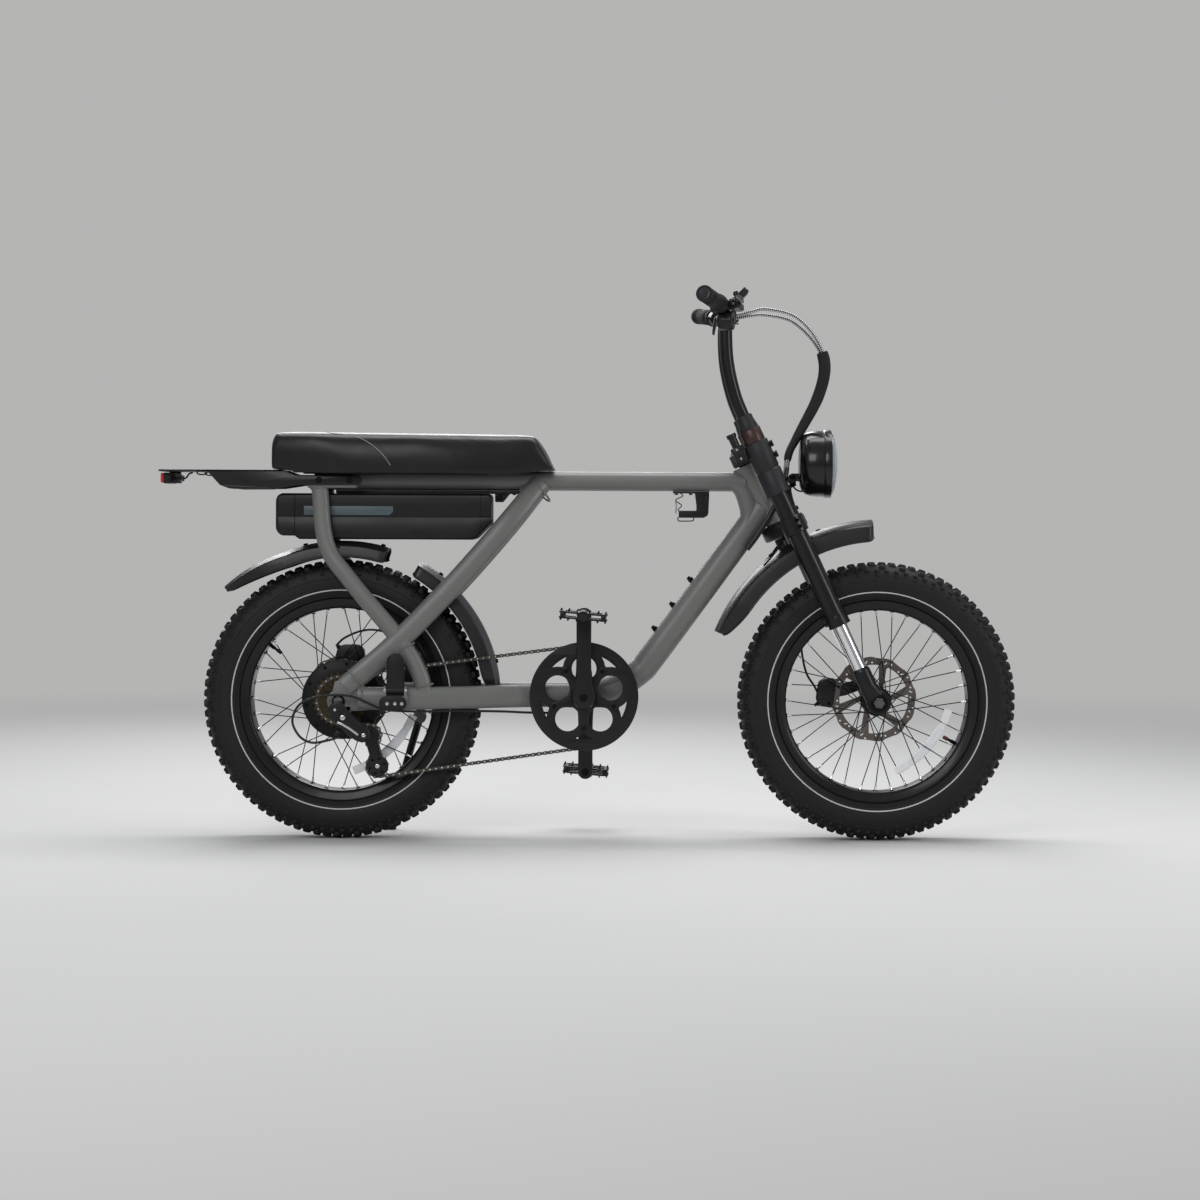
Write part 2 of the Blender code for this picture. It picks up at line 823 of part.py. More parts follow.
def chain(parent, parts):
    """A roller chain: two rows of link plates, wide and narrow in turn, and rollers.

    Each pin has a box for its roller, whose corners are the inner edges of the plates,
    and one point on the outer ridge of the plates on either side.
    """
    bm = bmesh.new()
    loop = CHAIN_LINKS * CHAIN_PITCH
    pins = []
    for k in range(CHAIN_LINKS):
        corners = {}
        for side in (RIGHT, LEFT):
            for end in (-1, 1):
                wide = (k + (end > 0)) % 2
                distance = (k * CHAIN_PITCH + end * ROLLER_HALF_LENGTH) % loop
                spot, heading = chain_point(parts, distance)
                up = Vector((-heading.y, heading.x)) * ROLLER_HALF_HEIGHT
                for lift in (-1, 1):
                    flat = spot + up * lift
                    y = CHAIN_Y + side * PLATE_IN[wide]
                    corners[side, end, lift] = bm.verts.new((flat.x, y, flat.y))
            spot, _ = chain_point(parts, k * CHAIN_PITCH)
            y = CHAIN_Y + side * (PLATE_IN[1] + PLATE_THICKNESS)
            corners[side] = bm.verts.new((spot.x, y, spot.y))
        pins.append(corners)
    for k, pin in enumerate(pins):
        ahead = pins[(k + 1) % CHAIN_LINKS]
        for side in (RIGHT, LEFT):
            for lift in (-1, 1):
                bm.faces.new((pin[side, -1, lift], pin[side, 1, lift], pin[side]))
                bm.faces.new((pin[side, 1, lift], ahead[side, -1, lift], ahead[side], pin[side]))
            bm.faces.new(
                (pin[side, 1, -1], pin[side, 1, 1], ahead[side, -1, 1], ahead[side, -1, -1])
            )
        for lift in (-1, 1):
            bm.faces.new(
                (pin[RIGHT, -1, lift], pin[LEFT, -1, lift], pin[LEFT, 1, lift], pin[RIGHT, 1, lift])
            )
        for end in (-1, 1):
            bm.faces.new(
                (pin[RIGHT, end, -1], pin[RIGHT, end, 1], pin[LEFT, end, 1], pin[LEFT, end, -1])
            )
    return hang(to_object("chain", bm), "chain", "grey_metal", parent)


def chainring(parent, phase):
    """The toothed ring with its guard disc, five round openings and five windows."""
    half = 0.0012
    inner = GUARD_INNER
    ring = plate(toothed(CHAINRING_TEETH, phase), CHAIN_Y - half, CHAIN_Y + half, "XZ", [circle(inner, 16)])
    cover_out = SPIDER_IN - GAP
    cover_in = cover_out - 0.0020
    holes = [circle(CHAINRING_BORE, 12)]
    windows = []
    for k in range(5):
        opening = math.radians(18 + 72 * k)
        holes.append(circle(0.0255, 10, (0.0575 * math.cos(opening), 0.0575 * math.sin(opening))))
        bolt = 54 + 72 * k
        low = arc((0, 0), 0.0765, bolt - 5, bolt + 5, 2)
        high = arc((0, 0), 0.0925, bolt + 10, bolt - 10, 2)
        windows.append(low + high)
    cover = plate(circle(GUARD_RADIUS, 28), -cover_out, -cover_in, "XZ", holes + windows)
    spacer_hole = [circle(inner + 0.0012, 16)]
    spacer_low = -cover_in - 0.0005
    spacer = plate(circle(inner + 0.0075, 16), spacer_low, CHAIN_Y + half - 0.0003, "XZ", spacer_hole)
    union(ring, spacer, cover)
    tidy(ring)
    return hang(ring, "chainring", "gloss_black", parent)


def crank_arm(turn):
    """One arm, widest at the spindle, with rounded ends and chamfered edges."""
    outline = [
        *arc((0, 0), 0.0235, 200, 340, 5),
        (0.0175, 0.030),
        (0.0150, 0.060),
        *arc((0, CRANK_LENGTH), 0.0150, 0, 180, 5),
        (-0.0150, 0.060),
        (-0.0175, 0.030),
    ]
    arm = plate(outline, ARM_IN, ARM_OUT, "XZ")
    soften(arm, 0.0025, 50)
    return moved(arm, Matrix.Rotation(turn, 4, "Y"))


def right_crank(parent):
    """The right arm with its five-armed spider, the spindle and the pedal's axle."""
    arm = moved(crank_arm(0), Matrix.Translation((0, -ARM_IN - ARM_OUT, 0)))
    hub = turned(
        [
            (0.0170, -ARM_IN - 0.004),
            (0.0270, -SPIDER_IN - 0.0040),
            (0.0270, -SPIDER_IN),
            (0.0250, -SPIDER_IN + 0.001),
            (0.0250, -BB_HALF_WIDTH - 0.0062),
            (SPINDLE_RADIUS, -BB_HALF_WIDTH - 0.0062),
            (SPINDLE_RADIUS, SPINDLE_END),
        ],
        14,
        axis="Y",
    )
    spider = []
    for k in range(5):
        turn = math.radians(54 + 72 * k)
        tip = (BOLT_CIRCLE * math.cos(turn), BOLT_CIRCLE * math.sin(turn))
        root = (0.012 * math.cos(turn), 0.012 * math.sin(turn))
        outline = capsule(root, tip, 0.0125, 0.0085, 4)
        spider.append(plate(outline, -SPIDER_IN - 0.0040, -SPIDER_IN, "XZ"))
    web = plate(
        [(-0.022, 0.0), (0.022, 0.0), (0.0165, 0.052), (-0.0165, 0.052)],
        -ARM_IN - 0.002,
        -SPIDER_IN - 0.0030,
        "XZ",
    )
    pin = rod(PEDAL_PIN_RADIUS, -PEDAL_OUT + 0.012, -ARM_IN - 0.002, 8, "Y", (0, 0, CRANK_LENGTH))
    union(hub, *spider, web, arm, pin)
    tidy(hub)
    return hang(hub, "crank_right", "black_metal", parent)


def left_crank(parent):
    """The left arm, clamped on the spindle's end, with the pedal's axle."""
    arm = crank_arm(math.pi)
    boss = rod(0.0190, BB_HALF_WIDTH + 0.0062, ARM_IN + 0.002, 16, "Y")
    pin = rod(PEDAL_PIN_RADIUS, ARM_IN + 0.002, PEDAL_OUT - 0.012, 8, "Y", (0, 0, -CRANK_LENGTH))
    socket = rod(bore(SPINDLE_RADIUS, 14), 0, SPINDLE_END + GAP, 14, "Y")
    union(boss, arm, pin)
    combine(boss, socket, "DIFFERENCE")
    tidy(boss)
    return hang(boss, "crank_left", "black_metal", parent)


def pedal(name, parent, side):
    """A platform pedal: two toothed rails, end bars and a centre barrel on the axle."""
    barrel = rod(0.0105, PEDAL_IN, PEDAL_OUT, 8, "Y", phase=0.5)
    half = PEDAL_HALF_LENGTH
    outline = [
        (-half, PEDAL_IN + 0.014),
        (-half + 0.012, PEDAL_IN),
        (half - 0.012, PEDAL_IN),
        (half, PEDAL_IN + 0.014),
        (half, PEDAL_OUT - 0.014),
        (half - 0.012, PEDAL_OUT),
        (-half + 0.012, PEDAL_OUT),
        (-half, PEDAL_OUT - 0.014),
    ]
    holes = []
    for front in (-1, 1):
        for low, high in ((PEDAL_IN + 0.012, PEDAL_IN + 0.040), (PEDAL_OUT - 0.040, PEDAL_OUT - 0.012)):
            near = front * 0.0120
            far = front * (half - 0.009)
            holes.append([(near, low), (far, low), (far, high), (near, high)])
    body = plate(outline, -PEDAL_HALF_HEIGHT, PEDAL_HALF_HEIGHT, "XY", holes)
    combine(body, barrel)
    combine(body, rod(bore(PEDAL_PIN_RADIUS, 8), PEDAL_IN - 0.01, PEDAL_OUT - 0.0115, 8, "Y"), "DIFFERENCE")
    tidy(body)
    if side == RIGHT:
        body.data.transform(Matrix.Scale(-1, 4, (0, 1, 0)))
        body.data.flip_normals()
    body.data.transform(Matrix.Rotation(math.radians(PEDAL_TILT), 4, "Y"))
    return hang(body, name, "black_plastic", parent)


def freewheel(parent, phase):
    """Seven sprockets on a threaded core, the largest next to the wheel."""
    hole = bore(FREEWHEEL_BORE - GAP, 12)
    core = turned(
        [
            (hole, -FREEWHEEL_END),
            (0.0225, -FREEWHEEL_END),
            (0.0225, -FREEWHEEL_START),
            (hole, -FREEWHEEL_START),
        ],
        12,
        closed=True,
        axis="Y",
    )
    for k, teeth in enumerate(SPROCKETS):
        y = CHAIN_Y - SPROCKET_STEP * (k - 1)
        turn = phase if teeth == SPROCKET_TEETH else 0.1 * k
        outline = toothed(teeth, turn, flat=teeth == SPROCKET_TEETH)
        if teeth in PLAIN_SPROCKETS:
            outline = circle(path_radius(teeth), 14)
        disc = plate(outline, y - 0.00095, y + 0.00095, "XZ", [circle(0.0213, 12)])
        combine(core, disc)
    tidy(core)
    return hang(core, "freewheel", "brown_steel", parent)


def jockey(name, parent, phase):
    """A guide wheel with eleven teeth and a plain bushed hub."""
    disc = plate(toothed(JOCKEY_TEETH, phase), CHAIN_Y - 0.0011, CHAIN_Y + 0.0011, "XZ", [circle(0.0052, 8)])
    hole = bore(JOCKEY_PIN_RADIUS, 8)
    hub = turned(
        [
            (hole, CHAIN_Y - 0.0050),
            (0.0068, CHAIN_Y - 0.0050),
            (0.0068, CHAIN_Y + 0.0050),
            (hole, CHAIN_Y + 0.0050),
        ],
        8,
        closed=True,
        axis="Y",
    )
    combine(hub, disc)
    tidy(hub)
    return hang(hub, name, "black_plastic", parent)


def derailleur_cage(parent, bike):
    """Two cage plates joined by the jockey wheels' pins, with a guard at the low end."""
    upper, lower = jockey_places(cage_swing())
    inner_low = CHAIN_Y + 0.0055
    outer_high = CHAIN_Y - 0.0055
    plates = [
        plate(capsule(upper, lower, 0.0120, 0.0120, 4), inner_low, inner_low + 0.0015, "XZ"),
        plate(capsule(upper, lower, 0.0130, 0.0130, 4), outer_high - 0.0015, outer_high, "XZ"),
        plate(circle(0.0240, 12, lower), outer_high - 0.0015, outer_high, "XZ"),
    ]
    pins = [
        rod(JOCKEY_PIN_RADIUS, outer_high - 0.0010, inner_low + 0.0010, 8, "Y", (spot[0], 0, spot[1]))
        for spot in (upper, lower)
    ]
    pivot = rod(0.0090, outer_high - 0.0055, outer_high - 0.0010, 10, "Y", (CAGE_PIVOT[0], 0, CAGE_PIVOT[1]))
    body = union(plates[1], plates[2], *pins, plates[0], pivot)
    tidy(body)
    return hang(body, "derailleur_cage", "black_metal", parent, bike)


def derailleur_body(parent):
    """The hanger bolt's knuckle, the parallelogram and the cage's knuckle."""
    high = (HANGER[0], HANGER[1])
    low = CAGE_PIVOT
    out = -DERAILLEUR_OUT
    top = rod(0.0105, out, -REAR_DROPOUT_IN - DROPOUT_THICKNESS - GAP, 12, "Y", (high[0], 0, high[1]))
    bottom = rod(0.0110, out + 0.004, CHAIN_Y - 0.0110 - GAP, 12, "Y", (low[0], 0, low[1]))
    shield = plate(
        [
            (high[0] - 0.0260, high[1] + 0.0260),
            (high[0] - 0.0120, high[1] + 0.0340),
            (high[0] + 0.0120, high[1] + 0.0130),
            (low[0] + 0.0100, low[1] + 0.0080),
            (low[0] + 0.0080, low[1] - 0.0100),
            (low[0] - 0.0110, low[1] - 0.0130),
            (high[0] - 0.0180, high[1] - 0.0060),
        ],
        out,
        out + 0.0145,
        "XZ",
    )
    soften(shield, 0.0025, 50)
    union(shield, top, bottom)
    tidy(shield)
    return hang(shield, "derailleur_body", "black_metal", parent)


# Frame

def members(points, width, height, sides=8, samples=0):
    """A tube for each side of the bike, through points given for the left side."""
    path = smooth_points(points, samples) if samples else points
    return both_sides(tube(path, width, height, sides))


def main_frame(bike):
    """The welded frame: one top tube and down tube, and paired stays round the wheel."""
    head_low = STEERING @ Vector((0, 0, HEAD_TUBE_LOW))
    top_z = TOP_TUBE_Z
    head_x = head_low.x - (top_z - head_low.z) * math.tan(HEAD_TILT)
    top = tube([(head_x, 0, top_z), (BEAM_REAR + 0.010, 0, top_z)], TOP_TUBE_WIDTH, TOP_TUBE_HEIGHT, 12)
    down_path = [
        tuple(STEERING @ Vector((0, 0, HEAD_TUBE_LOW + 0.044))),
        (0.8124, 0, 0.6079),
        (0.6533, 0, 0.3896),
        *smooth_points([(0.6330, 0, 0.3650), (0.600, 0, 0.335), (0.552, 0, 0.310)], 2),
        (BB_X - 0.004, 0, BB_Z),
    ]
    depths = [DOWN_TUBE_DEPTH - 0.010] + [DOWN_TUBE_DEPTH] * (len(down_path) - 1)
    down = tube(down_path, 0.058, depths, 12)
    head = turned(
        [
            (HEAD_TUBE_RADIUS + 0.003, HEAD_TUBE_LOW),
            (HEAD_TUBE_RADIUS, HEAD_TUBE_LOW + 0.012),
            (HEAD_TUBE_RADIUS, HEAD_TUBE_HIGH - 0.012),
            (HEAD_TUBE_RADIUS + 0.003, HEAD_TUBE_HIGH),
        ],
        16,
    )
    moved(head, STEERING)
    gusset = plate(
        [
            (0.785, top_z - 0.012),
            (0.800, top_z - 0.019),
            (0.815, top_z - 0.034),
            (0.822, top_z - 0.056),
            (0.827, top_z - 0.074),
            (0.852, top_z - 0.060),
            (0.848, top_z - 0.012),
        ],
        -0.022,
        0.022,
        "XZ",
    )
    shell = turned(
        [
            (BB_SHELL_RADIUS, -BB_HALF_WIDTH - 0.005),
            (BB_SHELL_RADIUS, BB_HALF_WIDTH + 0.005),
        ],
        16,
        axis="Y",
    )
    moved(shell, Matrix.Translation((BB_X, 0, BB_Z)))
    beam = block((BEAM_REAR, -BEAM_HALF_WIDTH, BEAM_LOW), (BEAM_FRONT, BEAM_HALF_WIDTH, BEAM_HIGH), 0.003)
    struts = members(
        [
            (-0.046, 0.058, top_z - 0.004),
            (-0.030, 0.068, 0.614),
            (0.020, 0.076, 0.539),
            (0.124, 0.0860, 0.416),
            (0.165, 0.0930, 0.348),
            (0.176, 0.0950, BB_Z + 0.006),
        ],
        0.024,
        0.034,
        samples=1,
    )
    diagonals = members(
        [
            (0.412, 0.0150, top_z - 0.004),
            (0.343, 0.0605, 0.655),
            (0.243, 0.0740, 0.540),
            (0.124, 0.0870, 0.416),
            (0.014, 0.0995, 0.318),
        ],
        [STAY_WIDTH] * 3 + [STAY_WIDTH - 0.002, STAY_WIDTH - 0.007],
        0.044,
        samples=1,
    )
    chainstays = members(
        [
            (0.040, 0.0990, 0.296),
            (0.150, 0.0970, 0.296),
            (0.240, 0.0810, 0.297),
            (0.320, 0.0580, 0.298),
            (0.395, 0.0405, 0.299),
            (BB_X, 0.0340, BB_Z),
        ],
        STAY_WIDTH,
        STAY_HEIGHT,
        samples=1,
    )
    out = REAR_DROPOUT_IN + DROPOUT_THICKNESS
    dropout = [
        (0.060, WHEEL_RADIUS + 0.026),
        (0.020, WHEEL_RADIUS + 0.050),
        (-0.008, WHEEL_RADIUS + 0.040),
        *arc((0, WHEEL_RADIUS), 0.024, 120, 255, 5),
        (0.060, WHEEL_RADIUS - 0.018),
    ]
    hole = circle(bore(REAR_AXLE_RADIUS, 12), 12, (0, WHEEL_RADIUS))
    hanger = [
        (0.026, WHEEL_RADIUS - 0.010),
        (-0.012, WHEEL_RADIUS - 0.010),
        *arc(HANGER, 0.0125, 190, 350, 6),
    ]
    plates = [
        plate(dropout, REAR_DROPOUT_IN, out, "XZ", [hole]),
        plate(dropout, -out, -REAR_DROPOUT_IN, "XZ", [hole]),
        plate(hanger, -out, -REAR_DROPOUT_IN, "XZ"),
    ]
    pegs = []
    for side in (RIGHT, LEFT):
        y = sorted((side * 0.1080, side * 0.1320))
        reach = PEG_HALF + 0.007
        pegs.append(block((PEG_X - reach, y[0], 0.2830), (PEG_X + reach, y[1], PEG_Z - 0.0115)))
        for end in (-1, 1):
            x = sorted((PEG_X + end * (PEG_HALF + GAP), PEG_X + end * (PEG_HALF + 0.0055)))
            ear = capsule((side * PEG_Y, 0.2900), (side * PEG_Y, PEG_Z), 0.0085, steps=3)
            pegs.append(plate(ear, x[0], x[1], "YZ"))
    kick_foot = Vector(KICK_PIVOT) - Vector(KICK_AXIS) * (KICK_HEAD_INNER + GAP)
    lug_root = kick_foot - Vector(KICK_AXIS) * 0.016
    lug = tube([lug_root, kick_foot], 0.026, 0.026, 12, across=(1, 0, 0))
    lug_arm = tube([lug_root + Vector(KICK_AXIS) * 0.006, (0.152, 0.099, 0.288)], 0.016, 0.020, 8)
    body = union(
        top, down, head, gusset, shell, beam, *struts, *diagonals, *chainstays, *plates, *pegs, lug, lug_arm
    )
    steerer = rod(bore(STEERER_RADIUS, 14), HEAD_TUBE_LOW - 0.05, HEAD_TUBE_HIGH + 0.05, 14)
    combine(body, moved(steerer, STEERING), "DIFFERENCE")
    crown_room = rod(0.0380, HEAD_TUBE_LOW - 0.06, HEAD_TUBE_LOW, 14)
    combine(body, moved(crown_room, STEERING), "DIFFERENCE")
    combine(body, rod(bore(SPINDLE_RADIUS, 14), -0.08, 0.08, 14, "Y", (BB_X, 0, BB_Z)), "DIFFERENCE")
    axle_hole = rod(bore(REAR_AXLE_RADIUS, 12), -0.15, 0.15, 12, "Y", (0, 0, WHEEL_RADIUS))
    combine(body, axle_hole, "DIFFERENCE")
    tidy(body)
    return place(body, "main_frame", "frame_paint", bike)


# Seat, rack and battery

def seat_width(x):
    """Half the seat's width at a place along it."""
    rear = min((x - SEAT_REAR) / 0.10, 1.0)
    waist = max((x - 0.14) / (SEAT_FRONT - 0.14), 0.0)
    return SEAT_HALF_WIDTH * (0.80 + 0.20 * math.sin(rear * math.pi / 2)) - 0.040 * waist**1.6


def seat_top(x):
    """Height of the seat's crown at a place along it."""
    front = max((x - 0.36) / (SEAT_FRONT - 0.36), 0.0)
    rear = max((SEAT_REAR + 0.020 - x) / 0.020, 0.0)
    level = SEAT_TOP - 0.0055 * (x - SEAT_REAR) / (SEAT_FRONT - SEAT_REAR)
    return level - 0.058 * front**3.2 - 0.030 * rear**2


def seat_lean(x):
    """How far the foot of a slice lies ahead of its top, most at the slanted seam."""
    if x < SEAM_X:
        return SEAM_LEAN * max((x - SEAT_REAR) / (SEAM_X - SEAT_REAR), 0.0)
    return SEAM_LEAN * max(1 - (x - SEAM_X) / (0.40 - SEAM_X), 0.0)


def seat_low(x):
    """Height of the seat's lower edge: raised over the rack and toward the nose."""
    rear = min(max((-0.100 - x) / 0.012, 0.0), 1.0)
    front = min(max((x - 0.34) / 0.08, 0.0), 1.0)
    return SEAT_SKIRT_Z + 0.0093 * rear + (SEAT_PAN_Z - SEAT_SKIRT_Z) * front


def seat_cushion(bike):
    """A long bench cushion: crowned top, drawn-in sides, a slanted seam, a hollow base."""
    places = [SEAT_REAR + step for step in (0.0, 0.004, 0.012, 0.024, 0.044, 0.074)]
    places += [SEAM_X - 0.012, SEAM_X - 0.004, SEAM_X, SEAM_X + 0.004, SEAM_X + 0.012]
    places += [0.02, 0.06, 0.11, 0.16, 0.21, 0.26, 0.31, 0.35, 0.38, 0.40, 0.418, 0.432, SEAT_FRONT]
    rings = []
    for x in places:
        half = seat_width(x)
        top = seat_top(x)
        low = seat_low(x)
        draw = 0.0030 if x == SEAM_X else 0.0
        rise = top - low
        side = [
            (half - 0.006 - draw, 0.0),
            (half - 0.001 - draw, 0.22),
            (half - draw, 0.50),
            (half - 0.006 - draw, 0.76),
            (half - 0.020, 0.92),
            (half * 0.62, 0.975),
            (half * 0.30, 0.995),
        ]
        profile = [(y, low + share * rise - (draw if share > 0.7 else 0)) for y, share in side]
        profile = profile + [(0.0, top - draw)] + [(-y, z) for y, z in reversed(profile)]
        ring = []
        for y, z in profile:
            lean = seat_lean(x) * (1 - (z - low) / max(rise, 0.001))
            ring.append((x + lean, y, z))
        rings.append(ring)
    cushion = loft(rings)
    hollow = plate(pan_outline(0.0006), SEAT_SKIRT_Z - 0.02, SEAT_PAN_Z + SEAT_PAN_THICKNESS + GAP, "XY")
    combine(cushion, hollow, "DIFFERENCE")
    tunnel = TOP_TUBE_WIDTH / 2 + GAP
    channel = block((-0.09, -tunnel, SEAT_SKIRT_Z - 0.02), (SEAT_FRONT + 0.02, tunnel, SEAT_PAN_Z))
    combine(cushion, channel, "DIFFERENCE")
    tidy(cushion)
    return place(cushion, "seat_cushion", "black_vinyl", bike, 50)


def pan_outline(grow):
    """Outline of the seat's base plate."""
    places = (-0.118, -0.112, -0.06, 0.0, 0.10, 0.20, 0.30, 0.36, 0.385)
    inset = 0.021
    right = [(x, seat_width(x) - inset) for x in places[1:-1]]
    right = [(places[0], right[0][1] - 0.006)] + right + [(places[-1], right[-1][1] - 0.012)]
    loop = [(x, -y) for x, y in right] + [(x, y) for x, y in reversed(right)]
    middle_x = sum(x for x, _ in loop) / len(loop)
    return [(x + math.copysign(grow, x - middle_x), y + math.copysign(grow, y)) for x, y in loop]


def seat_pan(bike):
    """The plate under the cushion, resting on the top tube."""
    pan = plate(pan_outline(0.0), SEAT_PAN_Z, SEAT_PAN_Z + SEAT_PAN_THICKNESS, "XY")
    return place(pan, "seat_pan", "black_plastic", bike)


def rear_rack(bike):
    """A flat deck on two side plates whose arms reach forward along the seat beam."""
    half = RACK_HALF_WIDTH
    deck = block((RACK_REAR, -half, RACK_Z), (SEAT_REAR + 0.018, half, RACK_Z + 0.004), 0.001)
    slots = []
    for y in (-0.036, 0.036):
        outline = capsule((RACK_REAR + 0.035, y), (-0.175, y), 0.012, steps=4)
        slots.append(plate(outline, RACK_Z - 0.01, RACK_Z + 0.01, "XY"))
    for slot in slots:
        combine(deck, slot, "DIFFERENCE")
    outline = [
        (-0.3000, RACK_Z + 0.001),
        (-0.2745, RACK_Z - 0.001),
        (-0.2495, 0.7345),
        (-0.2350, 0.7290),
        (-0.2180, 0.7270),
        (-0.1310, 0.7277),
        (-0.0880, 0.7346),
        *arc((BEAM_FRONT, 0.7455), 0.0100, -90, 90, 5),
        (-0.0940, 0.7560),
        (-0.1150, RACK_Z + 0.001),
    ]
    sides = both_sides(plate(outline, half, half + RACK_PLATE, "XZ"))
    flanges = both_sides(block((-0.300, half - 0.0003, RACK_Z), (-0.122, half + RACK_PLATE, RACK_Z + 0.004)))
    body = union(deck, *flanges, *sides)
    tidy(body)
    return place(body, "rear_rack", "black_metal", bike)


def tail_light(bike):
    """The lamp under the deck's rear edge, and its lens."""
    top = RACK_Z - GAP
    housing = block((RACK_REAR + 0.007, -0.040, top - 0.026), (RACK_REAR + 0.042, 0.040, top), 0.003)
    place(housing, "tail_light_housing", "black_plastic", bike)
    lens_front = RACK_REAR + 0.007 - GAP
    lens = block((RACK_REAR + 0.0002, -0.036, top - 0.023), (lens_front, 0.036, top - 0.003), 0.002)
    place(lens, "tail_light_lens", "red_lens", bike)


def battery(bike, slide):
    """The battery case, which hangs in a rail below the top tube and slides out rearward."""
    low, high = BATTERY_LOW, BATTERY_HIGH
    rear, front = BATTERY_REAR, BATTERY_FRONT
    outline = [
        *arc((rear + 0.016, high - 0.016), 0.016, 180, 90, 5),
        (front - 0.006, high),
        (front, high - 0.006),
        (front, low + 0.034),
        (front - 0.030, low + 0.003),
        (front - 0.040, low),
        (rear + 0.049, low),
        (rear + 0.039, low + 0.007),
        *arc((rear + 0.018, low + 0.025), 0.018, 270, 180, 5),
    ]
    case = plate(outline, -BATTERY_HALF_WIDTH, BATTERY_HALF_WIDTH, "XZ")
    soften(case, 0.004, 60)
    groove = []
    for y in (-BATTERY_HALF_WIDTH, BATTERY_HALF_WIDTH):
        start = (rear - 0.01, y - 0.0012, low + 0.0465)
        groove.append(block(start, (front + 0.01, y + 0.0012, low + 0.0485)))
    for cut in groove:
        combine(case, cut, "DIFFERENCE")
    runner = block((rear + 0.125, -0.012, high - 0.001), (front - 0.01, 0.012, high + DOCK_SLOT - 0.0008))
    combine(case, runner)
    tidy(case)
    hang(case, "battery_pack", "black_plastic", slide, bike)
    under = TOP_TUBE_Z - TOP_TUBE_HEIGHT / 2 - GAP
    dock = block((rear + 0.123, -0.022, high + GAP), (front + 0.058, 0.022, under), 0.0012)
    slot = block((rear, -0.0128, high - 0.01), (front + 0.001, 0.0128, high + DOCK_SLOT))
    combine(dock, slot, "DIFFERENCE")
    nose = plate(
        [
            (front + 0.006, under - 0.002),
            (front + 0.006, under - 0.024),
            (front + 0.022, under - 0.024),
            (front + 0.040, under - 0.002),
        ],
        -0.018,
        0.018,
        "XZ",
    )
    combine(dock, nose)
    tidy(dock)
    place(dock, "battery_dock", "black_plastic", bike)


def utility_bracket(bike):
    """A plate bracket under the top tube with a thin wire loop below it."""
    top = TOP_TUBE_Z - TOP_TUBE_HEIGHT / 2 - GAP
    outline = [
        (0.6880, top),
        (0.6880, top - 0.004),
        (0.7340, top - 0.004),
        (0.7370, top - 0.030),
        (0.7370, top - 0.040),
        (0.7000, top - 0.040),
        (0.7000, top - 0.055),
        (0.7520, top - 0.055),
        (0.7620, top - 0.045),
        (0.7635, top - 0.010),
        (0.7635, top),
    ]
    arm = plate(outline, -0.012, 0.012, "XZ")
    wire_path = smooth_points(
        [
            (0.6985, -0.009, top - 0.050),
            (0.6990, -0.009, top - 0.058),
            (0.7080, -0.009, top - 0.0620),
            (0.7250, -0.009, top - 0.0620),
            (0.7310, -0.009, top - 0.057),
            (0.7320, -0.009, top - 0.050),
        ],
        2,
    )
    wire = tube(wire_path, 0.0024, 0.0024, 5)
    combine(arm, wire)
    tidy(arm)
    place(arm, "utility_bracket", "black_metal", bike)


# Fenders

def fender_shell(radius_at, start, end, steps, edge_drop):
    """A curved shell over the tyre, swept through angles about the wheel's centre."""
    rings = []
    for k in range(steps + 1):
        degrees = start + (end - start) * k / steps
        radius, share = radius_at(degrees)
        half = FENDER_HALF_WIDTH * share
        drop_here = edge_drop * share
        across = [
            (-half, -drop_here),
            (-half * 0.93, -drop_here * 0.40),
            (-half * 0.60, -0.0050),
            (0.0, 0.0),
        ]
        across += [(-y, drop) for y, drop in reversed(across[:-1])]
        thick = FENDER_SHELL
        inward = 1 - thick / half
        under = [(y * inward, drop - (0.0 if abs(y) > half * 0.99 else thick)) for y, drop in across]
        section = across + list(reversed(under))
        turn = math.radians(degrees)
        out = Vector((math.cos(turn), 0, math.sin(turn)))
        rings.append([out * (radius + drop) + Vector((0, y, 0)) for y, drop in section])
    return loft(rings)


def rear_fenders(bike, wheel):
    """Two shells fixed to the stays: one behind the seat tube stays and one ahead."""

    def tail(degrees):
        flare = max((degrees - 112) / 25, 0.0)
        share = 1.0 - 0.55 * flare**2
        return REAR_FENDER_RADIUS + 0.011 * flare, share

    def front(degrees):
        ends = max((12 - degrees) / 7, 0.0) ** 2 * 0.25
        return REAR_FENDER_RADIUS, 1.0 - ends

    piece = fender_shell(tail, 72.6, 137.0, 8, 0.033)
    lug_path = [(-0.006, 0.0470, 0.6075), (-0.0085, STRUT_INNER - GAP, 0.6075)]
    lugs = both_sides(tube(lug_path, 0.012, 0.008, 6, across=(1, 0, 0)))
    union(piece, *[moved(lug, Matrix.Translation((0, 0, -WHEEL_RADIUS))) for lug in lugs])
    tidy(piece)
    place(moved(piece, Matrix.Translation((0, 0, WHEEL_RADIUS))), "rear_fender_tail", "fender_plastic", bike)
    piece = fender_shell(front, 5.0, 60.4, 7, 0.033)
    tidy(piece)
    place(moved(piece, Matrix.Translation((0, 0, WHEEL_RADIUS))), "rear_fender_front", "fender_plastic", bike)


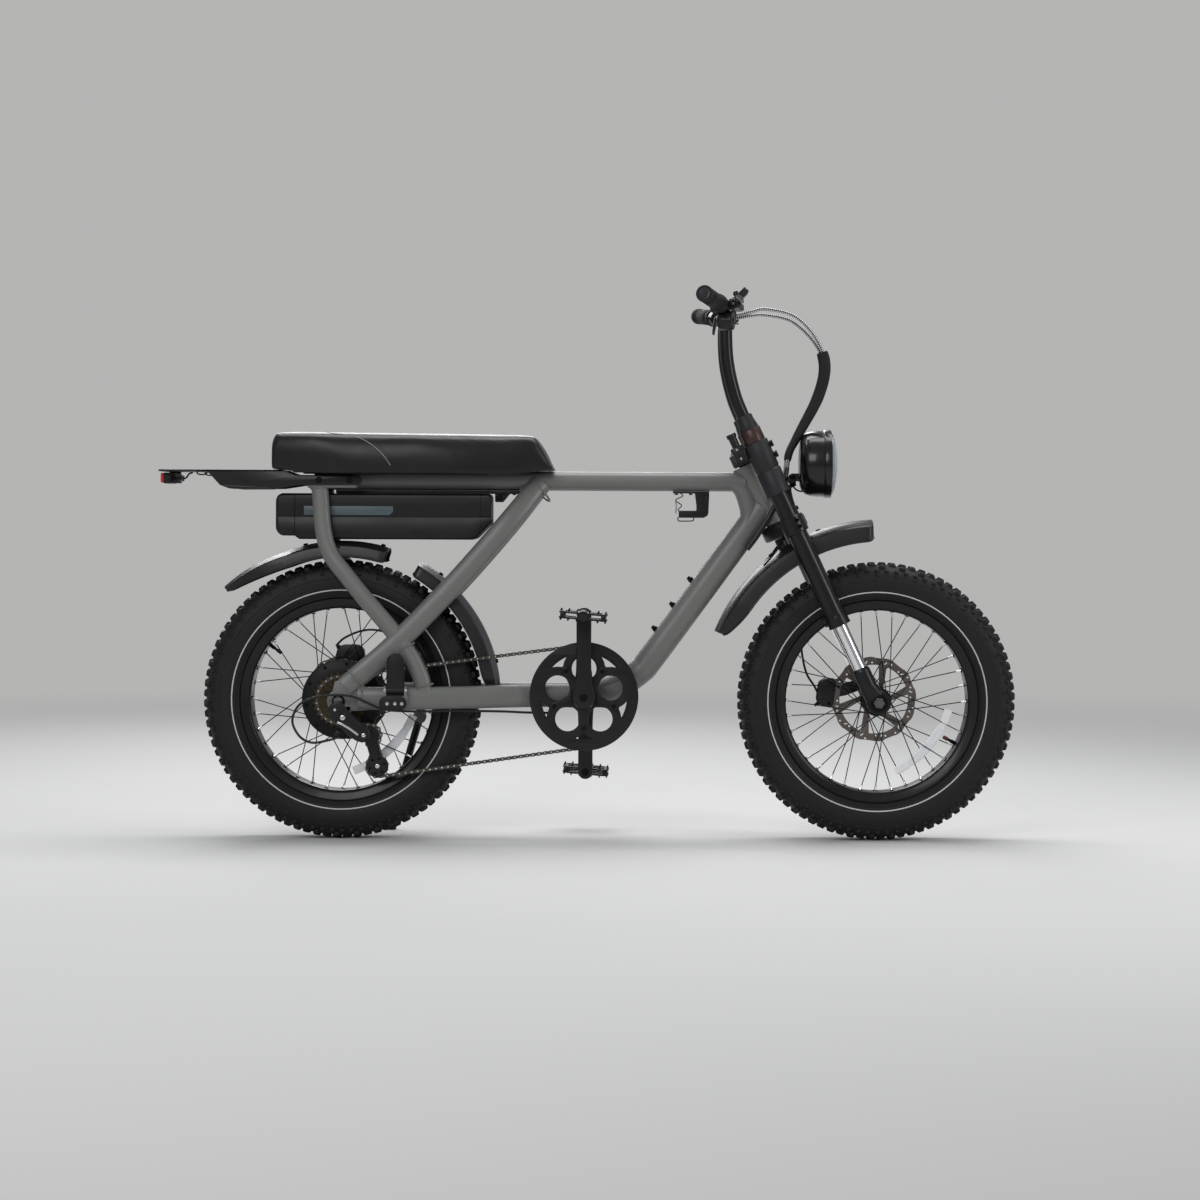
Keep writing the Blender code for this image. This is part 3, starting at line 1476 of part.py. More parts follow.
def front_fender(steering, bike):
    """The front shell, hung from the lower crown by a short boss."""

    def ridge(degrees):
        share = (degrees - 91.5) / (156.8 - 91.5)
        tip = max((share - 0.80) / 0.20, 0.0)
        return FRONT_FENDER_RADIUS + 0.004 - 0.011 * share, 1.0 - 0.45 * tip**2

    shell = fender_shell(ridge, 91.5, 156.8, 8, 0.045)
    axle = STEERING @ CROWN_TO_AXLE
    moved(shell, Matrix.Translation(axle))
    moved(shell, STEERING.inverted())
    top = LOWER_CROWN_LOW - GAP
    boss = rod(0.012, 0.362, top, 10)
    combine(shell, boss)
    tidy(shell)
    return place(shell, "front_fender", "fender_plastic", steering)


# Fork and steering

def lower_crown(steering):
    """The lower crown with its two leg clamps and the steerer that turns in the frame."""
    low, high = LOWER_CROWN_LOW, LOWER_CROWN_HIGH
    half = LEG_SPACING / 2
    clamp = LEG_RADIUS + 0.0055
    arms = plate(
        [
            (LEG_OFFSET + 0.014, -half),
            (LEG_OFFSET + 0.014, half),
            (LEG_OFFSET - 0.018, half),
            (-0.0240, 0.024),
            (-0.0240, -0.024),
            (LEG_OFFSET - 0.018, -half),
        ],
        low,
        high,
        "XY",
    )
    clamps = [rod(clamp, low - 0.004, high, 12, "Z", (LEG_OFFSET, side * half, 0)) for side in (RIGHT, LEFT)]
    nose = block((LEG_OFFSET, -0.022, low + 0.002), (STAY_X + 0.004, 0.022, high - 0.004))
    body = union(arms, *clamps, nose)
    for side in (RIGHT, LEFT):
        hole = rod(bore(LEG_RADIUS, 12), low - 0.02, high + 0.02, 12, "Z", (LEG_OFFSET, side * half, 0))
        combine(body, hole, "DIFFERENCE")
    combine(body, rod(STEERER_RADIUS, low + 0.004, UPPER_CROWN_HIGH + 0.002, 14))
    tidy(body)
    return place(body, "lower_crown", "black_metal", steering)


def upper_crown(steering):
    """The upper crown plate with a long clamp sleeve round each leg."""
    half = LEG_SPACING / 2
    low, high = UPPER_CROWN_LOW, UPPER_CROWN_HIGH
    bridge = plate(
        [
            (LEG_OFFSET + 0.010, -half),
            (LEG_OFFSET + 0.010, half),
            (LEG_OFFSET - 0.020, half),
            (-0.0230, 0.022),
            (-0.0230, -0.022),
            (LEG_OFFSET - 0.020, -half),
        ],
        low,
        high - 0.003,
        "XY",
    )
    sleeves = []
    for side in (RIGHT, LEFT):
        sleeve = turned(
            [
                (0.0260, SLEEVE_LOW),
                (0.0260, 0.5300),
                (0.0240, 0.5330),
                (0.0255, 0.5360),
                (0.0255, high),
            ],
            12,
        )
        sleeves.append(moved(sleeve, Matrix.Translation((LEG_OFFSET, side * half, 0))))
    body = union(bridge, *sleeves)
    for side in (RIGHT, LEFT):
        hole = rod(bore(LEG_RADIUS, 12), 0.40, 0.70, 12, "Z", (LEG_OFFSET, side * half, 0))
        combine(body, hole, "DIFFERENCE")
    combine(body, rod(bore(STEERER_RADIUS, 14), 0.40, 0.70, 14), "DIFFERENCE")
    tidy(body)
    return place(body, "upper_crown", "black_metal", steering)


def fork_leg(name, steering, side):
    """An outer leg tube: open below for its stanchion, and above for the riser."""
    inner = bore(STANCHION_RADIUS, 12)
    socket = bore(RISER_RADIUS, 12)
    outer = LEG_RADIUS
    obj = turned(
        [
            (inner, 0.400),
            (inner, LEG_LOW),
            (outer + 0.0025, LEG_LOW),
            (outer + 0.0025, LEG_LOW + 0.018),
            (outer, LEG_LOW + 0.026),
            (outer, LEG_HIGH + 0.0005),
            (outer + 0.0020, LEG_HIGH + 0.0010),
            (outer + 0.0020, COLLAR_HIGH),
            (socket + 0.0016, CONE_HIGH),
            (socket, CONE_HIGH),
            (socket, LEG_HIGH - 0.034),
        ],
        12,
    )
    moved(obj, Matrix.Translation((LEG_OFFSET, side * LEG_SPACING / 2, 0)))
    return place(obj, name, "black_metal", steering)


def stanchion(name, slide, steering, side):
    """A bright inner leg with its lower casting, which ends in a dropout."""
    half = LEG_SPACING / 2
    tube_part = turned(
        [
            (0.0120, 0.0150),
            (0.0185, 0.0200),
            (0.0185, 0.0720),
            (STANCHION_RADIUS, 0.0790),
            (STANCHION_RADIUS, STANCHION_TOP),
        ],
        12,
    )
    moved(tube_part, Matrix.Translation((LEG_OFFSET, side * half, 0)))
    low, high = sorted((side * FRONT_DROPOUT_IN, side * (half + 0.010)))
    disc = rod(0.0250, low, high, 12, "Y", (FORK_OFFSET, 0, 0))
    body = union(tube_part, disc)
    combine(body, rod(bore(FRONT_AXLE_RADIUS, 10), -0.12, 0.12, 10, "Y", (FORK_OFFSET, 0, 0)), "DIFFERENCE")
    tidy(body)
    return hang(body, name, "bright_steel", slide, steering)


def axle(name, parent, radius, half, nut_in, nut_out, nut_radius):
    """A wheel's axle with a nut at either end."""
    profile = []
    for side in (RIGHT, LEFT):
        nut = [(nut_radius, nut_out), (nut_radius, nut_in), (radius, nut_in)]
        ends = [(radius, half), (radius, nut_out), *nut]
        if side == LEFT:
            ends = list(reversed(ends))
        profile += [(r, side * y) for r, y in ends]
    obj = turned(profile, 6, axis="Y")
    return place(obj, name, "bright_steel", parent)


def caliper(name, parent, drawn_in, centre, turn, rotor_y, body_out, bracket):
    """A hydraulic brake body, slotted for the disc, with its mounting bracket."""
    length, height = 0.062, 0.036
    outline = [
        (-length / 2, -height / 2 + 0.006),
        (-length / 2 + 0.008, -height / 2),
        (length / 2 - 0.008, -height / 2),
        (length / 2, -height / 2 + 0.006),
        (length / 2 - 0.004, height / 2 - 0.010),
        (length / 2 - 0.016, height / 2),
        (-length / 2 + 0.016, height / 2),
        (-length / 2 + 0.004, height / 2 - 0.010),
    ]
    body = plate(outline, rotor_y - 0.017, body_out, "XZ")
    soften(body, 0.0025, 50)
    slot = block((-0.05, rotor_y - 0.0025, -0.05), (0.05, rotor_y + 0.0025, CALIPER_SLOT_TOP))
    combine(body, slot, "DIFFERENCE")
    moved(body, Matrix.Translation((centre[0], 0, centre[1])) @ Matrix.Rotation(turn, 4, "Y"))
    combine(body, bracket)
    tidy(body)
    return hang(body, name, "black_metal", parent, drawn_in)


def headlight_bracket(steering):
    """A stay that rises from the lower crown's nose and forks round the lamp's ear."""
    low = LOWER_CROWN_HIGH - 0.004 + GAP
    pivot = HEADLIGHT_PIVOT
    stay = tube(
        smooth_points(
            [
                (STAY_X - 0.006, 0, low),
                (STAY_X - 0.006, 0, low + 0.025),
                (STAY_X, 0, pivot[1] - 0.022),
                (pivot[0] - 0.006, 0, pivot[1] - 0.012),
            ],
            2,
        ),
        0.020,
        0.007,
        4,
    )
    ears = []
    for side in (RIGHT, LEFT):
        low_y, high_y = sorted((side * EAR_HALF, side * (EAR_HALF + 0.003)))
        outline = capsule((pivot[0] - 0.006, pivot[1] - 0.014), pivot, 0.0065, 0.0075, 4)
        ears.append(plate(outline, low_y, high_y, "XZ"))
    web_half = EAR_HALF + 0.003
    web_low = (pivot[0] - 0.012, -web_half, pivot[1] - 0.020)
    web = block(web_low, (pivot[0], web_half, pivot[1] - 0.0105))
    body = union(web, *ears, stay)
    tidy(body)
    return place(body, "headlight_bracket", "black_metal", steering)


def headlight(axis):
    """A round lamp on a horizontal axis: a deep shell with a rim, an ear and a lens."""
    centre = HEADLIGHT_CENTRE
    radius = HEADLIGHT_RADIUS
    back = -HEADLIGHT_DEPTH
    shell = turned(
        [
            (radius - 0.0060, -0.0040),
            (radius - 0.0060, 0.0),
            (radius, 0.0),
            (radius, -0.014),
            (radius - 0.005, -0.018),
            (radius - 0.016, back + 0.012),
            (radius - 0.036, back),
        ],
        20,
        axis="X",
    )
    moved(shell, Matrix.Translation(centre))
    ear_end = (centre[0] + back + 0.014, centre[2] - 0.030)
    ear = plate(capsule((0, 0), ear_end, 0.0070, 0.0110, 6), -EAR_HALF + GAP, EAR_HALF - GAP, "XZ")
    combine(shell, ear)
    tidy(shell)
    place(shell, "headlight_housing", "gloss_black", axis)
    lens_r = radius - 0.0060 - GAP
    lens = turned(
        [
            (lens_r, -0.0040 + GAP),
            (lens_r, 0.0015),
            (lens_r - 0.016, 0.0080),
            (lens_r - 0.040, 0.0125),
        ],
        20,
        axis="X",
    )
    moved(lens, Matrix.Translation(centre))
    place(lens, "headlight_lens", "clear_lens", axis)


# Handlebar and controls

def bar_point(y):
    """The bar's centre line: level in the middle, then up, out and back to the grips."""
    reach = abs(y)
    share = (max(reach, BAR_BEND) - GRIP_START) / (HALF_BAR - GRIP_START)
    x = GRIP_INNER[0] + (GRIP_OUTER[0] - GRIP_INNER[0]) * share
    z = GRIP_INNER[1] + (GRIP_OUTER[1] - GRIP_INNER[1]) * share
    if reach < BAR_BEND:
        ease = max((reach - BAR_FLAT) / (BAR_BEND - BAR_FLAT), 0.0)
        ease = 0.5 * ease * ease * (3 - 2 * ease) + 0.5 * ease * ease
        x = BAR_HEIGHT_X + (x - BAR_HEIGHT_X) * ease
        z = BAR_HEIGHT_Z + (z - BAR_HEIGHT_Z) * ease
    return Vector((x, y, z))


def grip_frame(side):
    """A frame on the grip's axis: Z runs out along the grip, X points forward."""
    inner = bar_point(side * GRIP_START)
    outer = bar_point(side * HALF_BAR)
    along = (outer - inner).normalized()
    forward = Vector((1, 0, 0))
    forward = (forward - forward.dot(along) * along).normalized()
    third = along.cross(forward)
    matrix = Matrix((forward, third, along)).transposed().to_4x4()
    return Matrix.Translation(inner) @ matrix


def handlebar(steering, bike):
    """One welded bar: a wide upper bar on two risers that enter the fork legs' tops."""
    spots = [HALF_BAR, BAR_BEND + 0.002, BAR_BEND - 0.012, 0.160, BAR_FLAT]
    spots += [-y for y in reversed(spots)]
    top = tube([bar_point(y) for y in spots], 2 * BAR_RADIUS, 2 * BAR_RADIUS, 10, across=(1, 0, 0), phase=0.0)
    risers = []
    for side in (RIGHT, LEFT):
        y = side * LEG_SPACING / 2
        foot = STEERING @ Vector((LEG_OFFSET, y, LEG_HIGH - 0.030))
        neck = STEERING @ Vector((LEG_OFFSET, y, CONE_HIGH + 0.004))
        path = [foot]
        path += smooth_points(
            [
                neck,
                (0.8120, y, 0.9320),
                (0.7985, y, 0.9940),
                (0.7950, y, 1.0550),
                (BAR_HEIGHT_X, y, BAR_HEIGHT_Z),
            ],
            1,
        )
        risers.append(tube(path, 2 * RISER_RADIUS, 2 * RISER_RADIUS, 12, phase=0.0))
    body = union(top, *risers)
    tidy(body)
    return hang(body, "handlebar", "black_metal", steering, bike)


def grip(name, parent, side, low, high, drawn_in, finish="rubber"):
    """A ribbed rubber grip with an end flange, bored for the bar."""
    hole = bore(BAR_RADIUS, 10)
    length = high - low
    profile = [(hole, low), (GRIP_RADIUS + 0.0025, low), (GRIP_RADIUS + 0.0025, low + 0.005)]
    ribs = 3
    for k in range(ribs):
        start = low + 0.008 + (length - 0.014) * k / ribs
        profile.append((GRIP_RADIUS - 0.0012, start))
        profile.append((GRIP_RADIUS, start + 0.0040))
    profile += [(GRIP_RADIUS, high), (hole, high)]
    obj = turned(profile, 10, closed=True)
    moved(obj, grip_frame(side))
    return hang(obj, name, finish, parent, drawn_in)


def lever_perch(side, bike, pod):
    """A clamp on the bar with a brake cylinder that points inward, ahead of the bar."""
    place_on_bar = grip_frame(side)
    clamp = turned(
        [(0.0170, PERCH_LOW), (0.0170, PERCH_HIGH)], 10
    )
    turn_in = -side
    cylinder = tube(
        [
            (0.0270, 0.0, PERCH_HIGH - 0.001),
            (0.0270, 0.0, PERCH_LOW + 0.002),
            (0.0290, 0.0, PERCH_LOW - 0.030),
        ],
        0.019,
        0.021,
        7,
        across=(0, 1, 0),
    )
    neck = block((0.0080, -0.0080, PERCH_LOW + 0.001), (0.0270, 0.0080, PERCH_HIGH - 0.001))
    cheeks = []
    for rise in (-1, 1):
        low, high = sorted((rise * (LEVER_HALF + GAP), rise * (LEVER_HALF + 0.0035)))
        spot = (LEVER_PIVOT[0], LEVER_PIVOT[1])
        cheek = plate(capsule((0.0270, PERCH_HIGH - 0.008), spot, 0.0080, 0.0062, 4), low, high, "XZ")
        cheeks.append(cheek)
    parts = [cylinder, neck, *cheeks]
    if pod:
        profile = [(0.0100, -0.0190), (0.0190, -0.0150), (0.0200, 0.0060), (0.0160, 0.0110)]
        body = turned(profile, 10, axis="X")
        moved(body, Matrix.Translation((0.0060, side * POD_DROP, PERCH_LOW + 0.001)))
        parts.append(body)
    body = union(clamp, *parts)
    combine(body, rod(bore(BAR_RADIUS, 10), PERCH_LOW - 0.05, PERCH_HIGH + 0.05, 10), "DIFFERENCE")
    tidy(body)
    moved(body, place_on_bar)
    return body


def brake_lever(name, axis, side, bike):
    """A two-finger lever blade that curves out ahead of the grip to a round tip."""
    pivot = LEVER_PIVOT
    path = smooth_points(
        [
            (0.0, 0.0, 0.0),
            (0.0110, 0.0, 0.0200),
            (0.0150, 0.0, 0.0450),
            (0.0160, 0.0, 0.0800),
            (0.0180, 0.0, 0.1020),
            (0.0220, 0.0, 0.1120),
        ],
        1,
    )
    widths = [0.0066, 0.0100, 0.0105, 0.0100, 0.0095, 0.0085]
    depths = [0.0085, 0.0085, 0.0080, 0.0075, 0.0070, 0.0065]
    blade = tube(path, widths, depths, 5)
    boss = rod(0.0070, -LEVER_HALF, LEVER_HALF, 8, "Y")
    tip = turned([(0.0020, -0.0050), (0.0050, -0.0030), (0.0050, 0.0030), (0.0020, 0.0050)], 6, axis="Y")
    moved(tip, Matrix.Translation(path[-1]))
    body = union(blade, boss, tip)
    tidy(body)
    return place(body, name, "black_metal", axis)


def display(steering, bike, button_axis):
    """The meter on a clamp at the middle of the bar, with a rest for its button."""
    case = block((-0.006, -0.045, -0.026), (0.008, 0.045, 0.026), 0.003)
    pocket = rod(bore(BUTTON_RADIUS, 12), -0.0040, 0.02, 12, "X", (0, BUTTON_Y, BUTTON_DROP))
    pose = frame_of(button_axis) @ Matrix.Translation((0, -BUTTON_Y, -BUTTON_DROP))
    foot = tube([(0.000, 0, 0.018), (-0.012, 0, 0.044)], 0.026, 0.010, 4, across=(0, 1, 0))
    combine(case, foot)
    combine(case, pocket, "DIFFERENCE")
    moved(case, pose)
    y_low, y_high = -0.013, 0.013
    ring = rod(0.0180, y_low, y_high, 14, "Y", (BAR_HEIGHT_X, 0, BAR_HEIGHT_Z))
    combine(case, ring)
    hole = rod(bore(BAR_RADIUS, 10), -0.03, 0.03, 10, "Y", (BAR_HEIGHT_X, 0, BAR_HEIGHT_Z))
    combine(case, hole, "DIFFERENCE")
    tidy(case)
    return hang(case, "display", "gloss_black", steering, bike)


def key_switch(steering):
    """A small lock housing on the right leg's upper sleeve."""
    low, high = 0.5700, 0.6040
    body = block((-0.0180, -0.0920, low), (0.0085, -0.0700, high), 0.0020)
    nose = rod(0.0085, high - 0.001, high + 0.024, 12, "Z", (-0.0045, -0.0810, 0))
    cap = rod(0.0105, high + 0.020, high + 0.028, 12, "Z", (-0.0045, -0.0810, 0))
    union(body, nose, cap)
    tidy(body)
    return place(body, "key_switch", "black_plastic", steering)


# Cables, stand and foot rests

def cables(bike, steering):
    """The cable bundle from the bar into the down tube, and the cable under the stay."""
    route = [
        (0.8094, -0.0300, 1.0885),
        (0.8300, -0.0290, 1.0930),
        (0.8490, -0.0240, 1.0985),
        (0.8810, -0.0100, 1.1040),
        (0.9400, 0.0, 1.0900),
        (0.9850, 0.0, 1.0440),
        (1.0040, 0.0, 0.9900),
        (0.9900, 0.0, 0.9240),
        (0.9490, -0.0060, 0.8450),
        (0.9290, -0.0180, 0.8050),
        (0.9220, -0.0340, 0.7600),
        (0.9100, -0.0400, 0.7200),
        (0.8930, -0.0400, 0.6830),
        (0.8640, -0.0375, 0.6360),
        (0.8420, -0.0330, 0.6060),
    ]
    path = smooth_points(route, 2)
    last = len(path) - 1
    sizes = []
    for k in range(last + 1):
        share = k / last
        wide = 0.0165 if 0.20 < share < 0.64 else 0.0070
        sizes.append(wide)
    bundle = tube(path, sizes, sizes, 5, across=(0, 1, 0))
    hang(bundle, "steering_cable_bundle", "black_plastic", steering, bike)
    y = -0.1170
    stay = smooth_points(
        [
            (0.4450, -0.0430, 0.2640),
            (0.3850, -0.0480, 0.2650),
            (0.3300, -0.0630, 0.2680),
            (0.2300, -0.0870, 0.2700),
            (0.1500, -0.1010, 0.2696),
            (0.0900, y - 0.002, 0.2760),
            (0.0300, y - 0.006, 0.3010),
            (-0.0300, y - 0.008, 0.3020),
            (-0.0750, y - 0.008, 0.2860),
            (-0.0920, y - 0.008, 0.2520),
            (-0.0780, y - 0.008, 0.2200),
            (-0.0520, y - 0.008, 0.2060),
            (-0.0180, y - 0.008, 0.2110),
            (0.0050, y - 0.008, 0.2180),
        ],
        2,
    )
    cable = tube(stay, 0.0050, 0.0050, 5, across=(0, 1, 0))
    place(cable, "chainstay_cables", "black_plastic", bike)


def kickstand(axis, bike):
    """The stand: a pivot head, a straight leg, and a foot flat on the floor."""
    pivot = Vector(KICK_PIVOT)
    turn = Vector(KICK_AXIS)
    head = tube([pivot - turn * KICK_HEAD_INNER, pivot + turn * 0.010], 0.028, 0.028, 14, across=(1, 0, 0))
    start = pivot + turn * 0.0020 + Vector((0, 0, -0.004))
    foot = Vector((KICK_FOOT[0], KICK_FOOT[1], 0.010))
    leg = tube([start, foot], 0.016, 0.016, 10, across=(1, 0, 0))
    pad_path = [(foot.x + 0.002, foot.y, 0.020), (foot.x - 0.002, foot.y, 0.0)]
    pad = tube(pad_path, 0.030, 0.036, 10, across=(0, 1, 0))
    body = union(leg, head, pad)
    trim = block((foot.x - 0.2, foot.y - 0.2, -0.05), (foot.x + 0.2, foot.y + 0.2, 0.0))
    combine(body, trim, "DIFFERENCE")
    tidy(body)
    return hang(body, "kickstand_leg", "black_metal", axis, bike)


def foot_peg(name, axis, side):
    """A folding foot rest: a hinge barrel and a ribbed block, shown folded up."""
    barrel = rod(0.0085, -PEG_HALF, PEG_HALF, 12, "X")
    body = block((-PEG_HALF, -0.0085, 0.0), (PEG_HALF, 0.0085, PEG_LENGTH))
    grooves = []
    for k in range(3):
        z = 0.024 + 0.015 * k
        y = sorted((side * 0.0070, side * 0.0100))
        grooves.append(block((-PEG_HALF - 0.01, y[0], z), (PEG_HALF + 0.01, y[1], z + 0.0060)))
    combine(body, barrel)
    for groove in grooves:
        combine(body, groove, "DIFFERENCE")
    tidy(body)
    return place(body, name, "black_metal", axis)


def build():
    """Make every empty and every piece of the bike."""
    clear_scene()
    bike = empty("bike", None, (-X_CENTRE, 0, 0))
    rear_wheel = empty("rear_wheel_axis", bike, (0, 0, WHEEL_RADIUS))
    crank = empty("crank_axis", bike, (BB_X, 0, BB_Z))
    right_pedal = empty("right_pedal_axis", crank, (0, 0, CRANK_LENGTH))
    left_pedal = empty("left_pedal_axis", crank, (0, 0, -CRANK_LENGTH))
    cage = empty("cage_axis", bike, (CAGE_PIVOT[0], CHAIN_Y, CAGE_PIVOT[1]))
    steering = empty("steering_axis", bike, STEERING.to_translation(), (0, -HEAD_TILT, 0))
    slide = empty("fork_slide", steering, CROWN_TO_AXLE)
    front_wheel = empty("front_wheel_axis", slide, (0, 0, 0), (0, HEAD_TILT, 0))
    lamp = empty("headlight_axis", steering, (HEADLIGHT_PIVOT[0], 0, HEADLIGHT_PIVOT[1]), (0, HEAD_TILT, 0))
    battery_slide = empty("battery_slide", bike, (BATTERY_REAR, 0, BATTERY_HIGH))
    stand = empty("kickstand_axis", bike, KICK_PIVOT)
    peg_right = empty("right_peg_axis", bike, (PEG_X, RIGHT * PEG_Y, PEG_Z))
    peg_left = empty("left_peg_axis", bike, (PEG_X, LEFT * PEG_Y, PEG_Z))

    for name, parent in (("rear", rear_wheel), ("front", front_wheel)):
        tyre(name + "_tyre", parent)
        rim(name + "_rim", parent)
    hub_motor(rear_wheel)
    front_hub(front_wheel)
    rotor("rear_rotor", rear_wheel, REAR_ROTOR_Y, 0.0140)
    rotor("front_rotor", front_wheel, FRONT_ROTOR_Y, 0.0120)

    circles = chain_circles(cage_swing())
    parts = chain_route(circles)
    chain(bike, parts)
    ring_phase = tooth_phase(parts, 1, circles)
    chainring(crank, ring_phase)
    right_crank(crank)
    left_crank(crank)
    pedal("pedal_right", right_pedal, RIGHT)
    pedal("pedal_left", left_pedal, LEFT)
    freewheel(rear_wheel, tooth_phase(parts, 0, circles))
    upper, lower = jockey_places(cage_swing())
    low_wheel = empty("lower_jockey_axis", cage, (lower[0] - CAGE_PIVOT[0], 0, lower[1] - CAGE_PIVOT[1]))
    high_wheel = empty("upper_jockey_axis", cage, (upper[0] - CAGE_PIVOT[0], 0, upper[1] - CAGE_PIVOT[1]))
    for name, marker, index in (("lower", low_wheel, 2), ("upper", high_wheel, 3)):
        wheel = jockey(name + "_jockey_wheel", marker, tooth_phase(parts, index, circles))
        moved(wheel, Matrix.Translation((0, -CHAIN_Y, 0)))
    derailleur_cage(cage, bike)
    derailleur_body(bike)

    main_frame(bike)
    seat_cushion(bike)
    seat_pan(bike)
    rear_rack(bike)
    tail_light(bike)
    battery(bike, battery_slide)
    utility_bracket(bike)
    rear_fenders(bike, rear_wheel)
    front_fender(steering, bike)
    nut_in = REAR_DROPOUT_IN + DROPOUT_THICKNESS + GAP
    rear_axle = axle("rear_axle", bike, REAR_AXLE_RADIUS, 0.1180, nut_in, nut_in + 0.009, 0.0110)
    moved(rear_axle, Matrix.Translation((0, 0, WHEEL_RADIUS)))
    bracket = plate(
        [
            (-0.027, 0.296),
            (-0.011, 0.296),
            (-0.010, 0.332),
            (0.018, 0.362),
            (0.018, 0.390),
            (-0.020, 0.390),
            (-0.030, 0.350),
        ],
        REAR_ROTOR_Y + 0.011,
        REAR_DROPOUT_IN - GAP,
        "XZ",
    )
    combine(bracket, block((-0.05, 0, 0.27), (0.01, REAR_DROPOUT_IN - 0.0085, 0.345)), "DIFFERENCE")
    caliper("rear_caliper", bike, bike, (0.010, 0.381), 0.0, REAR_ROTOR_Y, REAR_ROTOR_Y + 0.013, bracket)

    lower_crown(steering)
    upper_crown(steering)
    for name, side in (("right", RIGHT), ("left", LEFT)):
        fork_leg("fork_leg_" + name, steering, side)
        stanchion("stanchion_" + name, slide, steering, side)
    nut_in = LEG_SPACING / 2 + 0.010 + GAP
    axle("front_axle", slide, FRONT_AXLE_RADIUS, nut_in + 0.014, nut_in, nut_in + 0.009, 0.0125)
    bracket = plate(
        [
            (-0.044, 0.044),
            (-0.030, 0.036),
            (0.0179, 0.030),
            (0.0179, 0.052),
            (-0.030, 0.066),
            (-0.044, 0.066),
        ],
        0.0660,
        0.0735,
        "XZ",
    )
    caliper(
        "front_caliper", slide, steering, (-0.0455, 0.0560), math.radians(-57), FRONT_ROTOR_Y, 0.0700, bracket
    )
    handlebar(steering, bike)
    bike_point = grip_frame(RIGHT)
    grip("left_grip", steering, LEFT, 0.002, HALF_BAR - GRIP_START + 0.004, bike)
    throttle_axis = empty("throttle_axis", steering)
    throttle_axis.matrix_basis = STEERING.inverted() @ bike_point
    grip("twist_throttle", throttle_axis, RIGHT, 0.002, HALF_BAR - GRIP_START + 0.004, bike)
    for name, side in (("right", RIGHT), ("left", LEFT)):
        perch = lever_perch(side, bike, side == RIGHT)
        hang(perch, name + "_lever_perch", "black_metal", steering, bike)
        marker = empty(name + "_lever_axis", steering)
        marker.matrix_basis = (
            STEERING.inverted() @ grip_frame(side) @ Matrix.Translation((LEVER_PIVOT[0], 0, LEVER_PIVOT[1]))
        )
        brake_lever(name + "_brake_lever", marker, side, bike)
    shift_axis = empty("shift_lever_axis", steering)
    on_pod = Matrix.Translation((-0.0130 - GAP, RIGHT * POD_DROP, PERCH_LOW + 0.001))
    shift_axis.matrix_basis = STEERING.inverted() @ grip_frame(RIGHT) @ on_pod
    paddle = plate(capsule((0, 0), (0.026 * RIGHT, 0.016), 0.0080, 0.0060, 5), -0.0035, 0.0, "YZ")
    place(paddle, "shift_lever", "black_plastic", shift_axis)
    button_axis = empty("button_axis", steering)
    on_case = Matrix.Translation((0, BUTTON_Y, BUTTON_DROP))
    button_axis.matrix_basis = STEERING.inverted() @ DISPLAY_POSE @ on_case
    display(steering, bike, button_axis)
    button = turned([(BUTTON_RADIUS, -0.0040 + 0.0012), (BUTTON_RADIUS, 0.0100)], 12, axis="X")
    place(button, "display_button", "black_plastic", button_axis)
    key_switch(steering)
    headlight_bracket(steering)
    headlight(lamp)
    cables(bike, steering)
    kickstand(stand, bike)
    foot_peg("foot_peg_right", peg_right, RIGHT)
    foot_peg("foot_peg_left", peg_left, LEFT)


build()
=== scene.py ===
import math

import bmesh
import bpy
import numpy as np
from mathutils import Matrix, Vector
from mathutils.bvhtree import BVHTree


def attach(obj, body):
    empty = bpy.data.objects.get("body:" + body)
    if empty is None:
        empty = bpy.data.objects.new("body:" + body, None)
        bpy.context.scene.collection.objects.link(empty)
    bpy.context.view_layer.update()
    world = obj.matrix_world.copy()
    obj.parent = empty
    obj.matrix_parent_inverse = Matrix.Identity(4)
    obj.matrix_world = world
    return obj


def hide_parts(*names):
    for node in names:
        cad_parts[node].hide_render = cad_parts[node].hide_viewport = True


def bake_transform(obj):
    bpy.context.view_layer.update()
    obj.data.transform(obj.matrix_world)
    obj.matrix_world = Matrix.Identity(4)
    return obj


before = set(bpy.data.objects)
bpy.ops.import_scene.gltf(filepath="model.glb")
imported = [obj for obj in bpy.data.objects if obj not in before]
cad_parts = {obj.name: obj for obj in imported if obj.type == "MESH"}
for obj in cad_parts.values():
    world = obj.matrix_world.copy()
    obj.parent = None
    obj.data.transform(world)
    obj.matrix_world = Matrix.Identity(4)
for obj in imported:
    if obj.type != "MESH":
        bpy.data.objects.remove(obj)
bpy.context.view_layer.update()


# The studio: a pale floor that fades into a plain backdrop, four large soft lights of
# which the one overhead is the strongest, and a camera a little above the tyres' tops
# that looks square on to the drive side, as the photograph's does.
BACKDROP = (0.46, 0.46, 0.455, 1)
CAMERA_FAR = 6.5
FRAME_WIDTH = 2.5104
CAMERA_ROLL = 0.00443


def shown(name, data):
    """A new object in the scene."""
    made = bpy.data.objects.new(name, data)
    bpy.context.scene.collection.objects.link(made)
    return made


def add(tree, kind, values=None, **settings):
    """A shader node with its properties set, and plain values on its inputs."""
    made = tree.nodes.new("ShaderNode" + kind)
    for title, value in settings.items():
        setattr(made, title, value)
    for title, value in (values or {}).items():
        made.inputs[title].default_value = value
    return made


def wire(tree, *links):
    """Join outputs to inputs, each given as a node, its output, a node and its input."""
    for start, out, end, into in links:
        tree.links.new(start.outputs[out], end.inputs[into])


